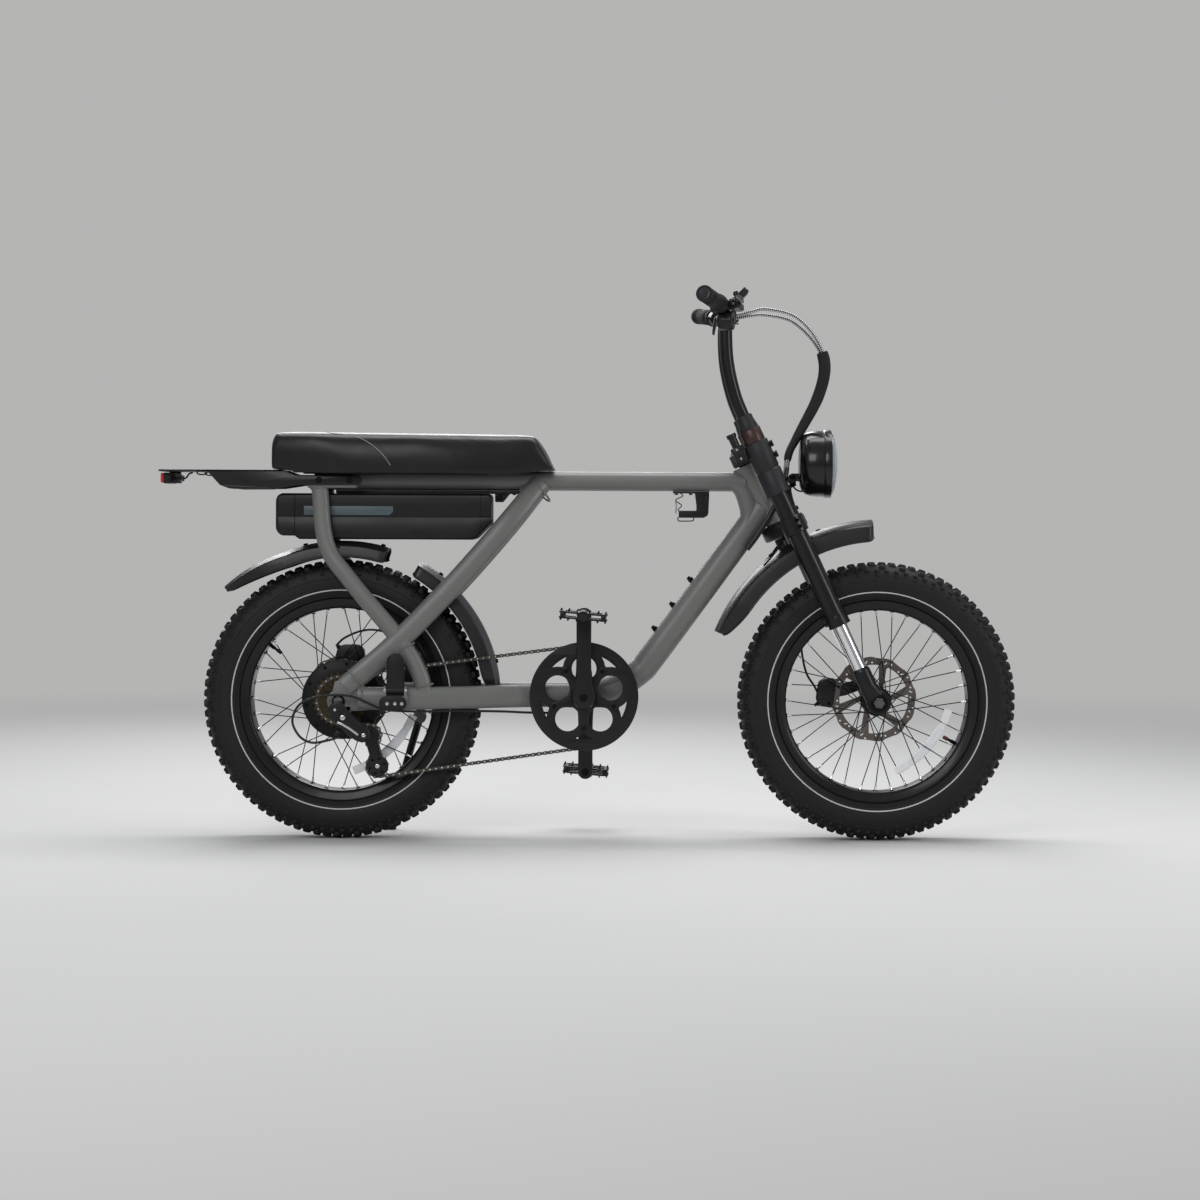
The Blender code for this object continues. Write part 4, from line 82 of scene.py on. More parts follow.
sheet = bpy.data.meshes.new("studio_floor")
sheet.from_pydata([(-60, -60, 0), (60, -60, 0), (60, 60, 0), (-60, 60, 0)], [], [(0, 1, 2, 3)])
floor = shown("studio_floor", sheet)
floor_paint = bpy.data.materials.new("studio_floor")
floor_paint.use_nodes = True
tree = floor_paint.node_tree
tree.nodes.clear()
matt = add(tree, "BsdfDiffuse", {"Color": (0.56, 0.56, 0.555, 1)})
glow = add(tree, "Emission", {"Color": BACKDROP})
reach = add(tree, "VectorMath", operation="LENGTH")
fade = add(tree, "MapRange", {"From Min": 1.6, "From Max": 6.0}, interpolation_type="SMOOTHSTEP")
both = add(tree, "Math", operation="MULTIPLY")
mix = add(tree, "MixShader")
wire(tree, (add(tree, "TexCoord"), "Object", reach, 0), (reach, "Value", fade, "Value"),
    (fade, "Result", both, 0), (add(tree, "LightPath"), "Is Camera Ray", both, 1), (both, "Value", mix, "Fac"),
    (matt, "BSDF", mix, 1), (glow, "Emission", mix, 2), (mix, "Shader", add(tree, "OutputMaterial"), "Surface"))
sheet.materials.append(floor_paint)

world = bpy.data.worlds.new("studio")
bpy.context.scene.world = world
world.use_nodes = True
tree = world.node_tree
tree.nodes.clear()
room = add(tree, "Background", {"Color": (0.8, 0.82, 0.85, 1), "Strength": 0.42})
seen = add(tree, "Background", {"Color": BACKDROP})
mix = add(tree, "MixShader")
wire(
    tree, (add(tree, "LightPath"), "Is Camera Ray", mix, "Fac"), (room, "Background", mix, 1),
    (seen, "Background", mix, 2), (mix, "Shader", add(tree, "OutputWorld"), "Surface"),
)

# Each soft box has a spot, a point that it faces, a size and its watts.
for name, spot, aim, size, watts in (
    ("overhead", (0.1, 0.5, 3.2), (0.0, 0.0, 0.5), (3.6, 1.5), 95),
    ("drive_side", (-1.6, -4.2, 2.6), (0.0, 0.0, 0.6), (2.6, 2.0), 75),
    ("front_corner", (3.4, -2.2, 1.9), (0.4, 0.0, 0.7), (1.0, 2.2), 42),
    ("far_side", (-0.8, 3.8, 2.4), (0.0, 0.0, 0.6), (2.6, 1.4), 60),
):
    lamp = bpy.data.lights.new(name, "AREA")
    lamp.shape = "RECTANGLE"
    lamp.size, lamp.size_y = size
    lamp.energy = watts
    holder = shown(name, lamp)
    holder.location = spot
    toward = np.subtract(aim, spot)
    flat = math.hypot(toward[0], toward[1])
    holder.rotation_euler = (math.atan2(flat, -toward[2]), 0, math.atan2(-toward[0], toward[1]))

view = bpy.data.cameras.new("camera")
view.sensor_width = 36
view.lens = 36 * CAMERA_FAR / FRAME_WIDTH
view.shift_x = -0.04
view.shift_y = -0.0667
camera = shown("camera", view)
camera.location = (0.1234, -CAMERA_FAR, 0.6659)
camera.rotation_euler = (math.pi / 2, -CAMERA_ROLL, 0)
bpy.context.scene.camera = camera
bpy.context.scene.view_settings.view_transform = "Standard"


# The frame: round aluminium tubes joined by weld beads, with plate dropouts, a
# beam that carries the seat, and folded-up mounts for the rests and the stand.
# It is painted a satin grey-green all over before the other pieces are fitted.
REAR_AXLE = np.array((-0.5125, 0, 0))
WHEELBASE = 1.114
AXLE_HEIGHT = 0.29
AXLE_LEAD = 0.04
CRANK_SPOT = np.array((0.505, 0, 0.3))
HEAD_TILT = math.radians(25.1)
FOOT = np.array((WHEELBASE - AXLE_LEAD * math.cos(HEAD_TILT), 0, AXLE_HEIGHT - AXLE_LEAD * math.sin(HEAD_TILT)))


def turn_y(angle):
    """The turn about Y that takes X down toward -Z for a positive angle."""
    c, s = math.cos(angle), math.sin(angle)
    return np.array(((c, 0, s), (0, 1, 0), (-s, 0, c)))


def steered(points):
    """Points given along the steering axis, turned and moved to where the axis lies."""
    return np.asarray(points, float) @ turn_y(-HEAD_TILT).T + FOOT


def flowing(points, steps=6, closed=False):
    """A smooth line through the points: each stretch is the cubic that leaves a point
    along the line from the one before it to the one after it."""
    p = np.asarray(points, float)
    if closed:
        p = np.vstack([p[-1:], p, p[:2]])
    else:
        p = np.vstack([2 * p[:1] - p[1:2], p, 2 * p[-1:] - p[-2:-1]])
    t = np.linspace(0, 1, steps, endpoint=False)[None, :, None]
    a, b, c, d = p[:-3, None], p[1:-2, None], p[2:-1, None], p[3:, None]
    line = 0.5 * (2 * b + (c - a) * t + (2 * a - 5 * b + 4 * c - d) * t**2 + (3 * b - a - 3 * c + d) * t**3)
    line = line.reshape(-1, p.shape[1])
    return line if closed else np.vstack([line, p[-2:-1]])


def oval(width, height, count=20, square=2.0):
    """A closed outline whose points lie at cos and sin to the power 2/square, so 2 gives
    an ellipse and more gives a rounded box."""
    angle = np.linspace(0, 2 * math.pi, count, endpoint=False)
    c, s = np.cos(angle), np.sin(angle)
    return np.stack(
        [
            width / 2 * np.sign(c) * np.abs(c) ** (2 / square),
            height / 2 * np.sign(s) * np.abs(s) ** (2 / square),
        ],
        axis=1,
    )


def skin(grid, closed=False):
    """Four-sided faces over a grid of points whose rows are rings: the last row meets
    the first one if closed, and if not, the two end rows are filled."""
    rows, columns = grid.shape[:2]
    i, j = np.arange(rows if closed else rows - 1)[:, None], np.arange(columns)[None, :]
    i2, j2 = (i + 1) % rows, (j + 1) % columns
    quads = np.stack([i * columns + j, i * columns + j2, i2 * columns + j2, i2 * columns + j], axis=-1)
    faces = quads.reshape(-1, 4).tolist()
    if not closed:
        faces += [list(range(columns))[::-1], list(range((rows - 1) * columns, rows * columns))]
    return grid.reshape(-1, 3), faces


def carried(path, outline, across=(0, 1, 0), size=1.0, closed=False):
    """An outline carried along a path, held square to it: its first axis stays on the
    part of `across` that is square to the path, and size scales it from row to row."""
    path = np.asarray(path, float)
    if closed:
        along = np.roll(path, -1, axis=0) - np.roll(path, 1, axis=0)
    else:
        along = np.gradient(path, axis=0)
    along /= np.linalg.norm(along, axis=1)[:, None]
    across = np.asarray(across, float)
    side = across - (along @ across)[:, None] * along
    side /= np.linalg.norm(side, axis=1)[:, None]
    up = np.cross(along, side)
    size = np.asarray(size, float)
    if size.ndim < 2:
        size = np.broadcast_to(size, (2, len(path)))
    outline = np.asarray(outline, float)
    grid = (
        path[:, None, :]
        + side[:, None, :] * (size[0][:, None] * outline[None, :, 0])[..., None]
        + up[:, None, :] * (size[1][:, None] * outline[None, :, 1])[..., None]
    )
    return skin(grid, closed)


AXES = {
    "X": lambda r, a, along: np.stack([along + 0 * a, r * np.cos(a), r * np.sin(a)], axis=-1),
    "Y": lambda r, a, along: np.stack([r * np.sin(a), along + 0 * a, r * np.cos(a)], axis=-1),
    "Z": lambda r, a, along: np.stack([r * np.cos(a), r * np.sin(a), along + 0 * a], axis=-1),
}


def turned(profile, sides=48, axis="Y", centre=(0, 0, 0), hollow=False, wave=None):
    """A (radius, place) profile turned about an axis; a hollow one closes on itself, and
    wave gives a change of radius for an angle and a place."""
    profile = np.asarray(profile, float)
    angle = np.linspace(0, 2 * math.pi, sides, endpoint=False)[None, :]
    radius, along = profile[:, :1], profile[:, 1:]
    radius = radius + (wave(angle, along) if wave else 0 * angle)
    grid = AXES[axis](radius, angle, along) + np.asarray(centre, float)
    return skin(grid, hollow)


def sheet_cut(outlines, thick, edge=0.0004, spread="XZ", at=0.0, steps=2):
    """A flat piece cut to an outline, with holes, its edges rounded by `edge`. The
    outlines are filled as one plane figure and given a thickness about `at`."""
    drawing = bpy.data.curves.new("cut", "CURVE")
    drawing.dimensions = "2D"
    drawing.fill_mode = "BOTH"
    drawing.extrude = thick / 2 - edge
    drawing.bevel_depth = edge
    drawing.bevel_resolution = steps - 1
    drawing.offset = -edge
    for outline in outlines:
        outline = np.asarray(outline, float)
        line = drawing.splines.new("POLY")
        line.points.add(len(outline) - 1)
        flat = np.zeros((len(outline), 4))
        flat[:, :2] = outline
        flat[:, 3] = 1
        line.points.foreach_set("co", flat.ravel())
        line.use_cyclic_u = True
    holder = bpy.data.objects.new("cut", drawing)
    mesh = bpy.data.meshes.new_from_object(holder)
    points = np.empty(len(mesh.vertices) * 3)
    mesh.vertices.foreach_get("co", points)
    points = points.reshape(-1, 3)
    faces = [list(face.vertices) for face in mesh.polygons]
    bpy.data.meshes.remove(mesh)
    bpy.data.objects.remove(holder)
    bpy.data.curves.remove(drawing)
    u, v, w = points[:, 0], points[:, 1], points[:, 2] + at
    laid = {"XZ": (u, w, v), "XY": (u, v, w), "YZ": (w, u, v)}[spread]
    return np.stack(laid, axis=1), faces


def ring_of(radius, count=32, centre=(0, 0), start=0.0, end=360.0):
    """Points round a circle, or along an arc where start and end are given."""
    whole = end - start == 360.0
    angle = np.radians(np.linspace(start, end, count, endpoint=not whole))
    return np.stack([centre[0] + radius * np.cos(angle), centre[1] + radius * np.sin(angle)], axis=1)


def polar(radius, degrees):
    """A plane point at a radius and an angle: the cosine first, then the sine."""
    return radius * np.array((math.cos(math.radians(degrees)), math.sin(math.radians(degrees))))


def ray(degrees, y=0.0, radius=1.0):
    """A spot at an angle in the bike's plane, up from straight ahead, at a given Y."""
    x, z = polar(radius, degrees)
    return np.array((x, y, z))


def slab(low, high, edge=0.002):
    """A box between two corners, with rounded edges: a rounded outline is stacked up,
    and its corner radius follows a quarter circle at the bottom and at the top."""
    low, high = np.minimum(low, high), np.maximum(low, high)
    half, middle = (high - low) / 2, (low + high) / 2
    turn = np.linspace(0, math.pi / 2, 4)
    quarter = np.stack([np.cos(turn), np.sin(turn)], axis=1)
    unit, core = [], []
    for c, s in ((1, 0), (0, 1), (-1, 0), (0, -1)):
        unit.append(quarter @ np.array(((c, s), (-s, c))))
        core.append(np.broadcast_to(np.sign(unit[-1].sum(axis=0)) * (half[:2] - edge), quarter.shape))
    unit, core = np.vstack(unit), np.vstack(core)
    reach = edge * np.concatenate([np.sin(turn), np.sin(turn[::-1])])
    height = np.concatenate([-half[2] + edge * (1 - np.cos(turn)), half[2] - edge * (1 - np.cos(turn[::-1]))])
    flat = core[None] + reach[:, None, None] * unit[None]
    grid = np.concatenate([flat, np.broadcast_to(height[:, None, None], (*flat.shape[:2], 1))], axis=2)
    return skin(grid + middle)


def bead(centre, along, width, height, thick=0.0022, ripples=44):
    """A weld bead: a thin ring round a tube, whose thickness swells at each dab of weld."""
    along = np.asarray(along, float) / np.linalg.norm(along)
    side = np.array((0, 1, 0)) - along[1] * along
    side /= np.linalg.norm(side)
    up = np.cross(along, side)
    angle = np.linspace(0, 2 * math.pi, ripples * 3, endpoint=False)
    path = (
        np.asarray(centre, float)
        + np.outer(np.cos(angle) * width / 2, side)
        + np.outer(np.sin(angle) * height / 2, up)
    )
    swell = 1 + 0.22 * np.cos(angle * ripples)
    return carried(path, oval(2 * thick, 2 * thick, 6), along, swell, closed=True)


def mirrored(part):
    """The same surface on the other side of the bike's middle plane."""
    points, faces = part
    return points * (1, -1, 1), [face[::-1] for face in faces]


def piece(name, parts, finishes, body, stands_for="", crease=38):
    """One object from several surfaces, each (points, faces) or (points, faces, finish
    number); it rides on a body, and stands for the node of its own name unless another
    one or none is given."""
    points, faces, marks, count = [], [], [], 0
    for part in parts:
        points.append(np.asarray(part[0], float))
        faces += [[corner + count for corner in face] for face in part[1]]
        marks += [part[2] if len(part) > 2 else 0] * len(part[1])
        count += len(part[0])
    mesh = bpy.data.meshes.new(name)
    mesh.from_pydata((np.vstack(points) + REAR_AXLE).tolist(), [], faces)
    finishes = finishes if isinstance(finishes, (list, tuple)) else [finishes]
    for finish in finishes:
        mesh.materials.append(finish)
    mesh.polygons.foreach_set("material_index", marks)
    work = bmesh.new()
    work.from_mesh(mesh)
    bmesh.ops.remove_doubles(work, verts=work.verts, dist=0.00002)
    bmesh.ops.dissolve_degenerate(work, edges=work.edges, dist=0.00001)
    bmesh.ops.recalc_face_normals(work, faces=work.faces)
    work.to_mesh(mesh)
    work.free()
    mesh.polygons.foreach_set("use_smooth", [True] * len(mesh.polygons))
    mesh.set_sharp_from_angle(angle=math.radians(crease))
    made = shown(name, mesh)
    if body:
        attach(made, body)
    if stands_for is not None:
        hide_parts(stands_for or name)
    return made


def rod(line, thick, sides, mark=1):
    """A round wire along a line, with its finish number."""
    return (*carried(line, oval(thick, thick, sides)), mark)


def shader_group(name, inputs):
    """A node group that gives a colour, a roughness and a height, and its two end nodes."""
    group = bpy.data.node_groups.new(name, "ShaderNodeTree")
    for title, value in inputs.items():
        kind = "NodeSocketColor" if isinstance(value, tuple) else "NodeSocketFloat"
        group.interface.new_socket(title, in_out="INPUT", socket_type=kind).default_value = value
    for title, kind in (("Color", "Color"), ("Roughness", "Float"), ("Height", "Float")):
        group.interface.new_socket(title, in_out="OUTPUT", socket_type="NodeSocket" + kind)
    return group, group.nodes.new("NodeGroupInput"), group.nodes.new("NodeGroupOutput")


def covered(name, group, values, relief, depth, plain):
    """A material that a node group feeds, with plain values on the shader's own sockets."""
    made = bpy.data.materials.new(name)
    made.use_nodes = True
    tree = made.node_tree
    shader = tree.nodes["Principled BSDF"]
    for title, value in plain.items():
        shader.inputs[title].default_value = value
    feed = add(tree, "Group", values, node_tree=group)
    bump = add(tree, "Bump", {"Strength": relief, "Distance": depth})
    wire(
        tree, (feed, "Color", shader, "Base Color"), (feed, "Roughness", shader, "Roughness"),
        (feed, "Height", bump, "Height"), (bump, "Normal", shader, "Normal"),
    )
    return made


# Coating: a noise of hand-sized patches shifts the colour and the gloss, as handling
# does, and a much finer one, the grain, gives the height for the relief.
coating, ins, outs = shader_group("coating", {"Color": (0.5, 0.5, 0.5, 1), "Tint": 0.06, "Roughness": 0.5,
    "Gloss change": 0.08, "Grain size": 900.0, "Patch size": 14.0})
where = add(coating, "TexCoord")
grain = add(coating, "TexNoise", {"Detail": 3})
patch = add(coating, "TexNoise", {"Detail": 4, "Roughness": 0.6})
spread = add(coating, "MapRange", {"From Min": 0.3, "From Max": 0.7, "To Min": -1.0})
dull = add(coating, "Math", operation="MULTIPLY_ADD")
scale = add(coating, "Math", {2: 1.0}, operation="MULTIPLY_ADD")
shade = add(coating, "VectorMath", operation="SCALE")
wire(coating, (where, "Object", grain, "Vector"), (where, "Object", patch, "Vector"),
    (ins, "Grain size", grain, "Scale"), (ins, "Patch size", patch, "Scale"), (patch, "Fac", spread, "Value"),
    (spread, "Result", dull, 0), (ins, "Gloss change", dull, 1), (ins, "Roughness", dull, 2),
    (spread, "Result", scale, 0), (ins, "Tint", scale, 1), (ins, "Color", shade, 0),
    (scale, "Value", shade, "Scale"), (shade, "Vector", outs, "Color"), (dull, "Value", outs, "Roughness"),
    (grain, "Fac", outs, "Height"))


def finish(name, colour, rough, metal=0.0, grain=900.0, relief=0.04, depth=0.0002, tint=0.06, gloss=0.08,
        coat=0.0, patch=14.0, also=None):
    """A material on the coating group: its own colour, gloss, grain size and relief.
    The darkest ones mirror less, as the photograph shows."""
    grained = {"Color": (*colour, 1), "Tint": tint, "Roughness": rough, "Gloss change": gloss,
        "Grain size": grain, "Patch size": patch}
    shine = {"Metallic": metal, "Coat Weight": coat, "Coat Roughness": 0.12,
        "Specular IOR Level": 0.5 if max(colour) > 0.03 else 0.26}
    return covered(name, coating, grained, relief, depth, {**shine, **(also or {})})


frame_paint = finish("frame_paint", (0.128, 0.132, 0.124), 0.46, grain=1600, relief=0.05, tint=0.03, coat=0.12)
top_z = 0.746
tubes = [carried([(-0.06, 0, top_z), (0.3, 0, top_z), (0.84, 0, top_z)], oval(0.05, 0.04, 32, 2.3)),
    carried(flowing([(0.875, 0, 0.694), (0.8124, 0, 0.6079), (0.6533, 0, 0.3896), (0.618, 0, 0.348),
    (0.565, 0, 0.315), (0.5, 0, 0.3005)], 10), oval(0.058, 0.056, 32, 2.2))]
struts = carried(
    flowing(
        [(-0.046, 0.058, top_z - 0.004), (-0.03, 0.068, 0.614), (0.02, 0.076, 0.539), (0.124, 0.086, 0.416),
         (0.165, 0.093, 0.348), (0.176, 0.095, 0.306)],
        10,
    ),
    oval(0.025, 0.035, 24, 2.2),
)
diagonal_line = flowing([(0.412, 0.015, top_z - 0.004), (0.343, 0.0605, 0.655), (0.243, 0.074, 0.54),
    (0.124, 0.087, 0.416), (0.014, 0.0995, 0.318)], 10)
taper = np.interp(np.linspace(0, 1, len(diagonal_line)), (0, 0.6, 1), (1, 1, 0.62))
diagonals = carried(diagonal_line, oval(0.029, 0.045, 24, 2.2), size=np.stack([taper, np.ones_like(taper)]))
stays = carried(
    flowing(
        [(0.04, 0.099, 0.296), (0.15, 0.097, 0.296), (0.24, 0.081, 0.297), (0.32, 0.058, 0.298),
         (0.395, 0.0405, 0.299), (0.5, 0.034, 0.3)],
        8,
    ),
    oval(0.029, 0.047, 24, 2.4),
)
for side in (struts, diagonals, stays):
    tubes += [side, mirrored(side)]
head = turned(
    [(0.0143, 0.4262), (0.029, 0.4262), (0.029, 0.433), (0.0262, 0.44), (0.0262, 0.547), (0.029, 0.554),
     (0.029, 0.5608), (0.0143, 0.5608)],
    40, "Z", hollow=True,
)
tubes.append((steered(head[0]), head[1]))
shell = turned([(0.0125, -0.055), (0.029, -0.055), (0.0296, -0.05), (0.0296, 0.05), (0.029, 0.055),
    (0.0125, 0.055)], 40, "Y", CRANK_SPOT, hollow=True)
tubes += [shell, slab((-0.07, -0.074, 0.729), (0.034, 0.074, 0.7555), 0.005)]
rear_edge = flowing([(0.79, 0, 0.619), (0.806, 0, 0.641), (0.819, 0, 0.6585), (0.8262, 0, 0.67),
    (0.8286, 0, 0.681), (0.8256, 0, 0.695), (0.8206, 0, 0.7113), (0.815, 0, 0.7222), (0.807, 0, 0.728),
    (0.79, 0, 0.733)])
front_edge = flowing([(0.83, 0, 0.595), (0.846, 0, 0.617), (0.858, 0, 0.637), (0.864, 0, 0.652),
    (0.868, 0, 0.668), (0.869, 0, 0.69), (0.866, 0, 0.708), (0.862, 0, 0.722), (0.856, 0, 0.736),
    (0.85, 0, 0.75)])
section = oval(2, 2, 48, 2.5)
throat = (rear_edge + front_edge)[:, None] / 2 + section[None, :, :1] * (front_edge - rear_edge)[:, None] / 2
half_throat = np.interp(np.linspace(0, 1, len(rear_edge)), (0, 0.3, 0.7, 1), (0.0285, 0.0284, 0.0272, 0.025))
throat[:, :, 1] = half_throat[:, None] * section[None, :, 1]
tubes.append(skin(throat))
axle_hole = ring_of(0.0064, 24, (0, AXLE_HEIGHT))
dropout = [(0.062, 0.316), (0.04, 0.33), (0.02, 0.34), (-0.008, 0.33),
    *ring_of(0.024, 10, (0, AXLE_HEIGHT), 120, 255), (0.062, 0.272)]
for low in (-0.103, 0.095):
    tubes.append(sheet_cut([dropout, axle_hole], 0.008, 0.0012, at=low + 0.004))
tubes.append(sheet_cut([[(0.026, 0.28), (-0.012, 0.28), *ring_of(0.0125, 10, (0.012, 0.258), 190, 350)]], 0.008,
    0.0012, at=-0.099))
peg_spot = (0.119, 0.124, 0.314)
for side in (-1, 1):
    tubes.append(slab((0.094, side * 0.108, 0.283), (0.144, side * 0.132, 0.3025), 0.0025))
    for end in (-1, 1):
        x = peg_spot[0] + end * 0.0209
        ear = ring_of(0.0085, 12, (side * peg_spot[1], peg_spot[2]), 0, 180)
        ear = np.vstack([ear, [(side * peg_spot[1] - 0.0085, 0.29), (side * peg_spot[1] + 0.0085, 0.29)]])
        tubes.append(sheet_cut([ear], 0.0052, 0.0008, "YZ", x))
kick_spot = np.array((0.152, 0.118, 0.247))
kick_axis = np.array((-0.0759, 0.9929, 0.091)) / np.linalg.norm((-0.0759, 0.9929, 0.091))
kick_face = kick_spot - kick_axis * 0.0083
tubes += [carried([kick_face - kick_axis * 0.016, kick_face], oval(0.026, 0.026, 28), (1, 0, 0)),
    carried([kick_face - kick_axis * 0.01, (0.152, 0.099, 0.288)], oval(0.016, 0.02), (1, 0, 0))]

# Welds, where one tube ends on another
welds = [bead((0.529, 0, 0.305), (0.97, 0, 0.22), 0.058, 0.056)]
for side in (1, -1):
    for centre, along, width, height in (
        ((0.408, side * 0.0185, 0.7275), (0.7, -side * 0.3, 0.65), 0.032, 0.062),
        ((-0.0445, side * 0.0585, 0.73), (-0.12, 0, 1.0), 0.027, 0.037),
        ((0.176, side * 0.0955, 0.322), (0.25, 0, -1), 0.026, 0.037),
        ((0.05, side * 0.099, 0.3), (1, 0, 0.02), 0.03, 0.046),
        ((0.036, side * 0.0985, 0.337), (0.74, 0, 0.68), 0.024, 0.045),
        ((0.476, side * 0.034, 0.3), (1, 0, 0), 0.03, 0.048),
        ((0.138, side * 0.0868, 0.401), (0.5, 0, -0.9), 0.027, 0.037),
    ):
        welds.append(bead(centre, along, width, height, 0.0018, 36))
steel_black = finish("black_bolt", (0.01, 0.01, 0.011), 0.36, 0.85, grain=1200, relief=0.03)
bosses = []
for x, z in ((0.726, 0.541), (0.689, 0.488), (0.652, 0.438)):
    away = ray(143.9)
    start = np.array((x, 0, z)) - away * 0.004
    bosses += [rod([start, start + away * 0.0075], 0.012, 20),
        rod([start + away * 0.007, start + away * 0.0125], 0.0085, 18),
        rod([start + away * 0.012, start + away * 0.0128], 0.005, 6)]
piece("frame_tubes", [*tubes, *welds, *bosses], [frame_paint, steel_black], "frame", "main_frame")


# The front fork: two black outer legs held by a lower crown and by an upper crown with
# long clamp sleeves, and bright inner legs that slide out of them below. Each inner leg
# ends in a black casting for the axle. Collars at the top take the bar's risers.
LEG_X = 0.035
HALF_FORK = 0.08
FRONT_HOLE = (AXLE_LEAD, 0, 0)


def shaft(radius, low, high, edge, slope):
    """The profile of a plain round bar whose ends are narrowed by an edge over a slope."""
    return [(radius - edge, low), (radius, low + slope), (radius, high - slope), (radius - edge, high)]


def shifted(part, move=(0, 0, 0), turn=0.0):
    """A surface turned about Y, then moved."""
    points, faces = part
    return points @ turn_y(turn).T + move, faces


def aimed(part, centre, way):
    """A surface drawn along Z, turned so that Z points a given way, then moved. Its X
    stays as near to the bike's X as it can, or takes the next axis where that is Z."""
    w = np.asarray(way, float) / np.linalg.norm(way)
    u = np.array((1, 0, 0)) - w[0] * w
    if np.linalg.norm(u) < 1e-6:
        u = np.roll(w, 1) - (np.roll(w, 1) @ w) * w
    u /= np.linalg.norm(u)
    return part[0] @ np.stack([u, np.cross(w, u), w]) + np.asarray(centre, float), part[1]


def standing(profile, sides, spot, way, mark=1):
    """A turned part that stands on a spot and faces a given way, with its finish number."""
    return (*aimed(turned(profile, sides, "Z"), spot, way), mark)


def bolt(radius, height, spot, way, sides=14, mark=1):
    """A round screw head with a socket in its top, on a spot and facing a given way."""
    head = [(1, 0), (1, 0.8), (0.86, 1), (0.56, 1), (0.5, 0.4)]
    return standing(np.array(head) * (radius, height), sides, spot, way, mark)


def in_steering(parts):
    """Surfaces drawn along the steering axis, placed on the bike; finish numbers are kept."""
    return [(steered(part[0]), *part[1:]) for part in parts]


fork_black = finish("fork_black", (0.009, 0.009, 0.01), 0.34, 0.3, grain=1500, relief=0.03, coat=0.18)
clamp_black = finish("clamp_black", (0.026, 0.026, 0.028), 0.48, 0.35, grain=1100, relief=0.06)
collar_brown = finish("collar_brown", (0.052, 0.03, 0.026), 0.38, 0.6, grain=1500, relief=0.03)
chrome = finish("chrome", (0.78, 0.78, 0.79), 0.1, 1.0, grain=700, relief=0.01, tint=0.03, gloss=0.05)
bright_bolt = finish("bright_bolt", (0.62, 0.62, 0.62), 0.24, 1.0, relief=0.02)
nut_grey = finish("nut_grey", (0.17, 0.17, 0.175), 0.28, 1.0, relief=0.03)

for side, word in ((-1, "right"), (1, "left")):
    spot = (LEG_X, side * HALF_FORK, 0)
    leg = turned([(0.0144, 0.178), (0.0216, 0.178), (0.0231, 0.1795), (0.0231, 0.1925), (0.0222, 0.1985),
        (0.0207, 0.2045), (0.0205, 0.21), (0.0205, 0.595), (0.0138, 0.595)], 48, "Z", spot)
    collar = turned([(0.015, 0.5953), (0.0223, 0.5953), (0.0226, 0.5962), (0.0226, 0.6232), (0.022, 0.624),
        (0.015, 0.624)], 48, "Z", spot)
    cone = turned([(0.015, 0.6241), (0.0204, 0.6241), (0.0208, 0.6262), (0.0186, 0.6405), (0.018, 0.642),
        (0.018, 0.651), (0.0172, 0.6548), (0.0142, 0.6554)], 48, "Z", spot)
    rib = turned(shaft(0.0238, 0.178, 0.182, 0.0038, 0.0005), 48, "Z", spot)
    piece("fork_leg_" + word, in_steering([leg, (*collar, 1), (*cone, 2), rib]),
        [fork_black, collar_brown, clamp_black], "steering_assembly")
    tube = turned([(0.0139, 0.06), (0.014, 0.08), (0.014, 0.329), (0.013, 0.33)], 48, "Z", spot)
    neck = carried([(LEG_X, side * HALF_FORK, 0.081), (LEG_X, side * HALF_FORK, 0.0785),
        (LEG_X, side * HALF_FORK, 0.074), (LEG_X, side * HALF_FORK, 0.04),
        (LEG_X + 0.002, side * HALF_FORK, 0.02), (LEG_X + 0.005, side * HALF_FORK, 0.0),
        (LEG_X + 0.005, side * HALF_FORK, -0.012)], oval(0.037, 0.037, 40, 2.2), (0, 1, 0),
        np.array(((0.84, 0.92, 1.0, 0.98, 0.8, 0.52, 0.5), (0.84, 0.92, 1.0, 1.0, 1.08, 1.22, 0.9))))
    low, high = sorted((side * 0.0702, side * 0.09))
    eye = turned([(0.0078, low), (0.0238, low), (0.025, low + 0.0012), (0.025, high - 0.0012), (0.0238, high),
        (0.0078, high)], 48, "Y", (0.04, 0, 0), hollow=True)
    piece("stanchion_" + word, in_steering([tube, (*neck, 1), (*eye, 1)]), [chrome, fork_black], "fork_slider")

crown_edge = [(LEG_X + 0.016, -HALF_FORK), (LEG_X + 0.013, -0.04), (LEG_X + 0.02, -0.02), (LEG_X + 0.02, 0.02),
    (LEG_X + 0.013, 0.04), (LEG_X + 0.016, HALF_FORK), (LEG_X - 0.018, HALF_FORK), (-0.012, 0.04),
    (-0.028, 0.018), (-0.03, 0.0), (-0.028, -0.018), (-0.012, -0.04), (LEG_X - 0.018, -HALF_FORK)]
lower = [
    sheet_cut([crown_edge], 0.03, 0.0045, "XY", 0.409, 4),
    turned([(0.0143, 0.397), (0.0143, 0.59), (0.012, 0.5965)], 32, "Z"),
    slab((LEG_X, -0.022, 0.3955), (0.066, 0.022, 0.4205), 0.003),
]
upper = [sheet_cut([np.array(crown_edge) * (0.92, 1.0) + (0.0025, 0)], 0.028, 0.004, "XY", 0.5775, 4),
    turned([(0.02, 0.591), (0.02, 0.5935), (0.0165, 0.5965), (0.0165, 0.601), (0.015, 0.6025), (0.006, 0.6025),
    (0.005, 0.599)], 6, "Z")]
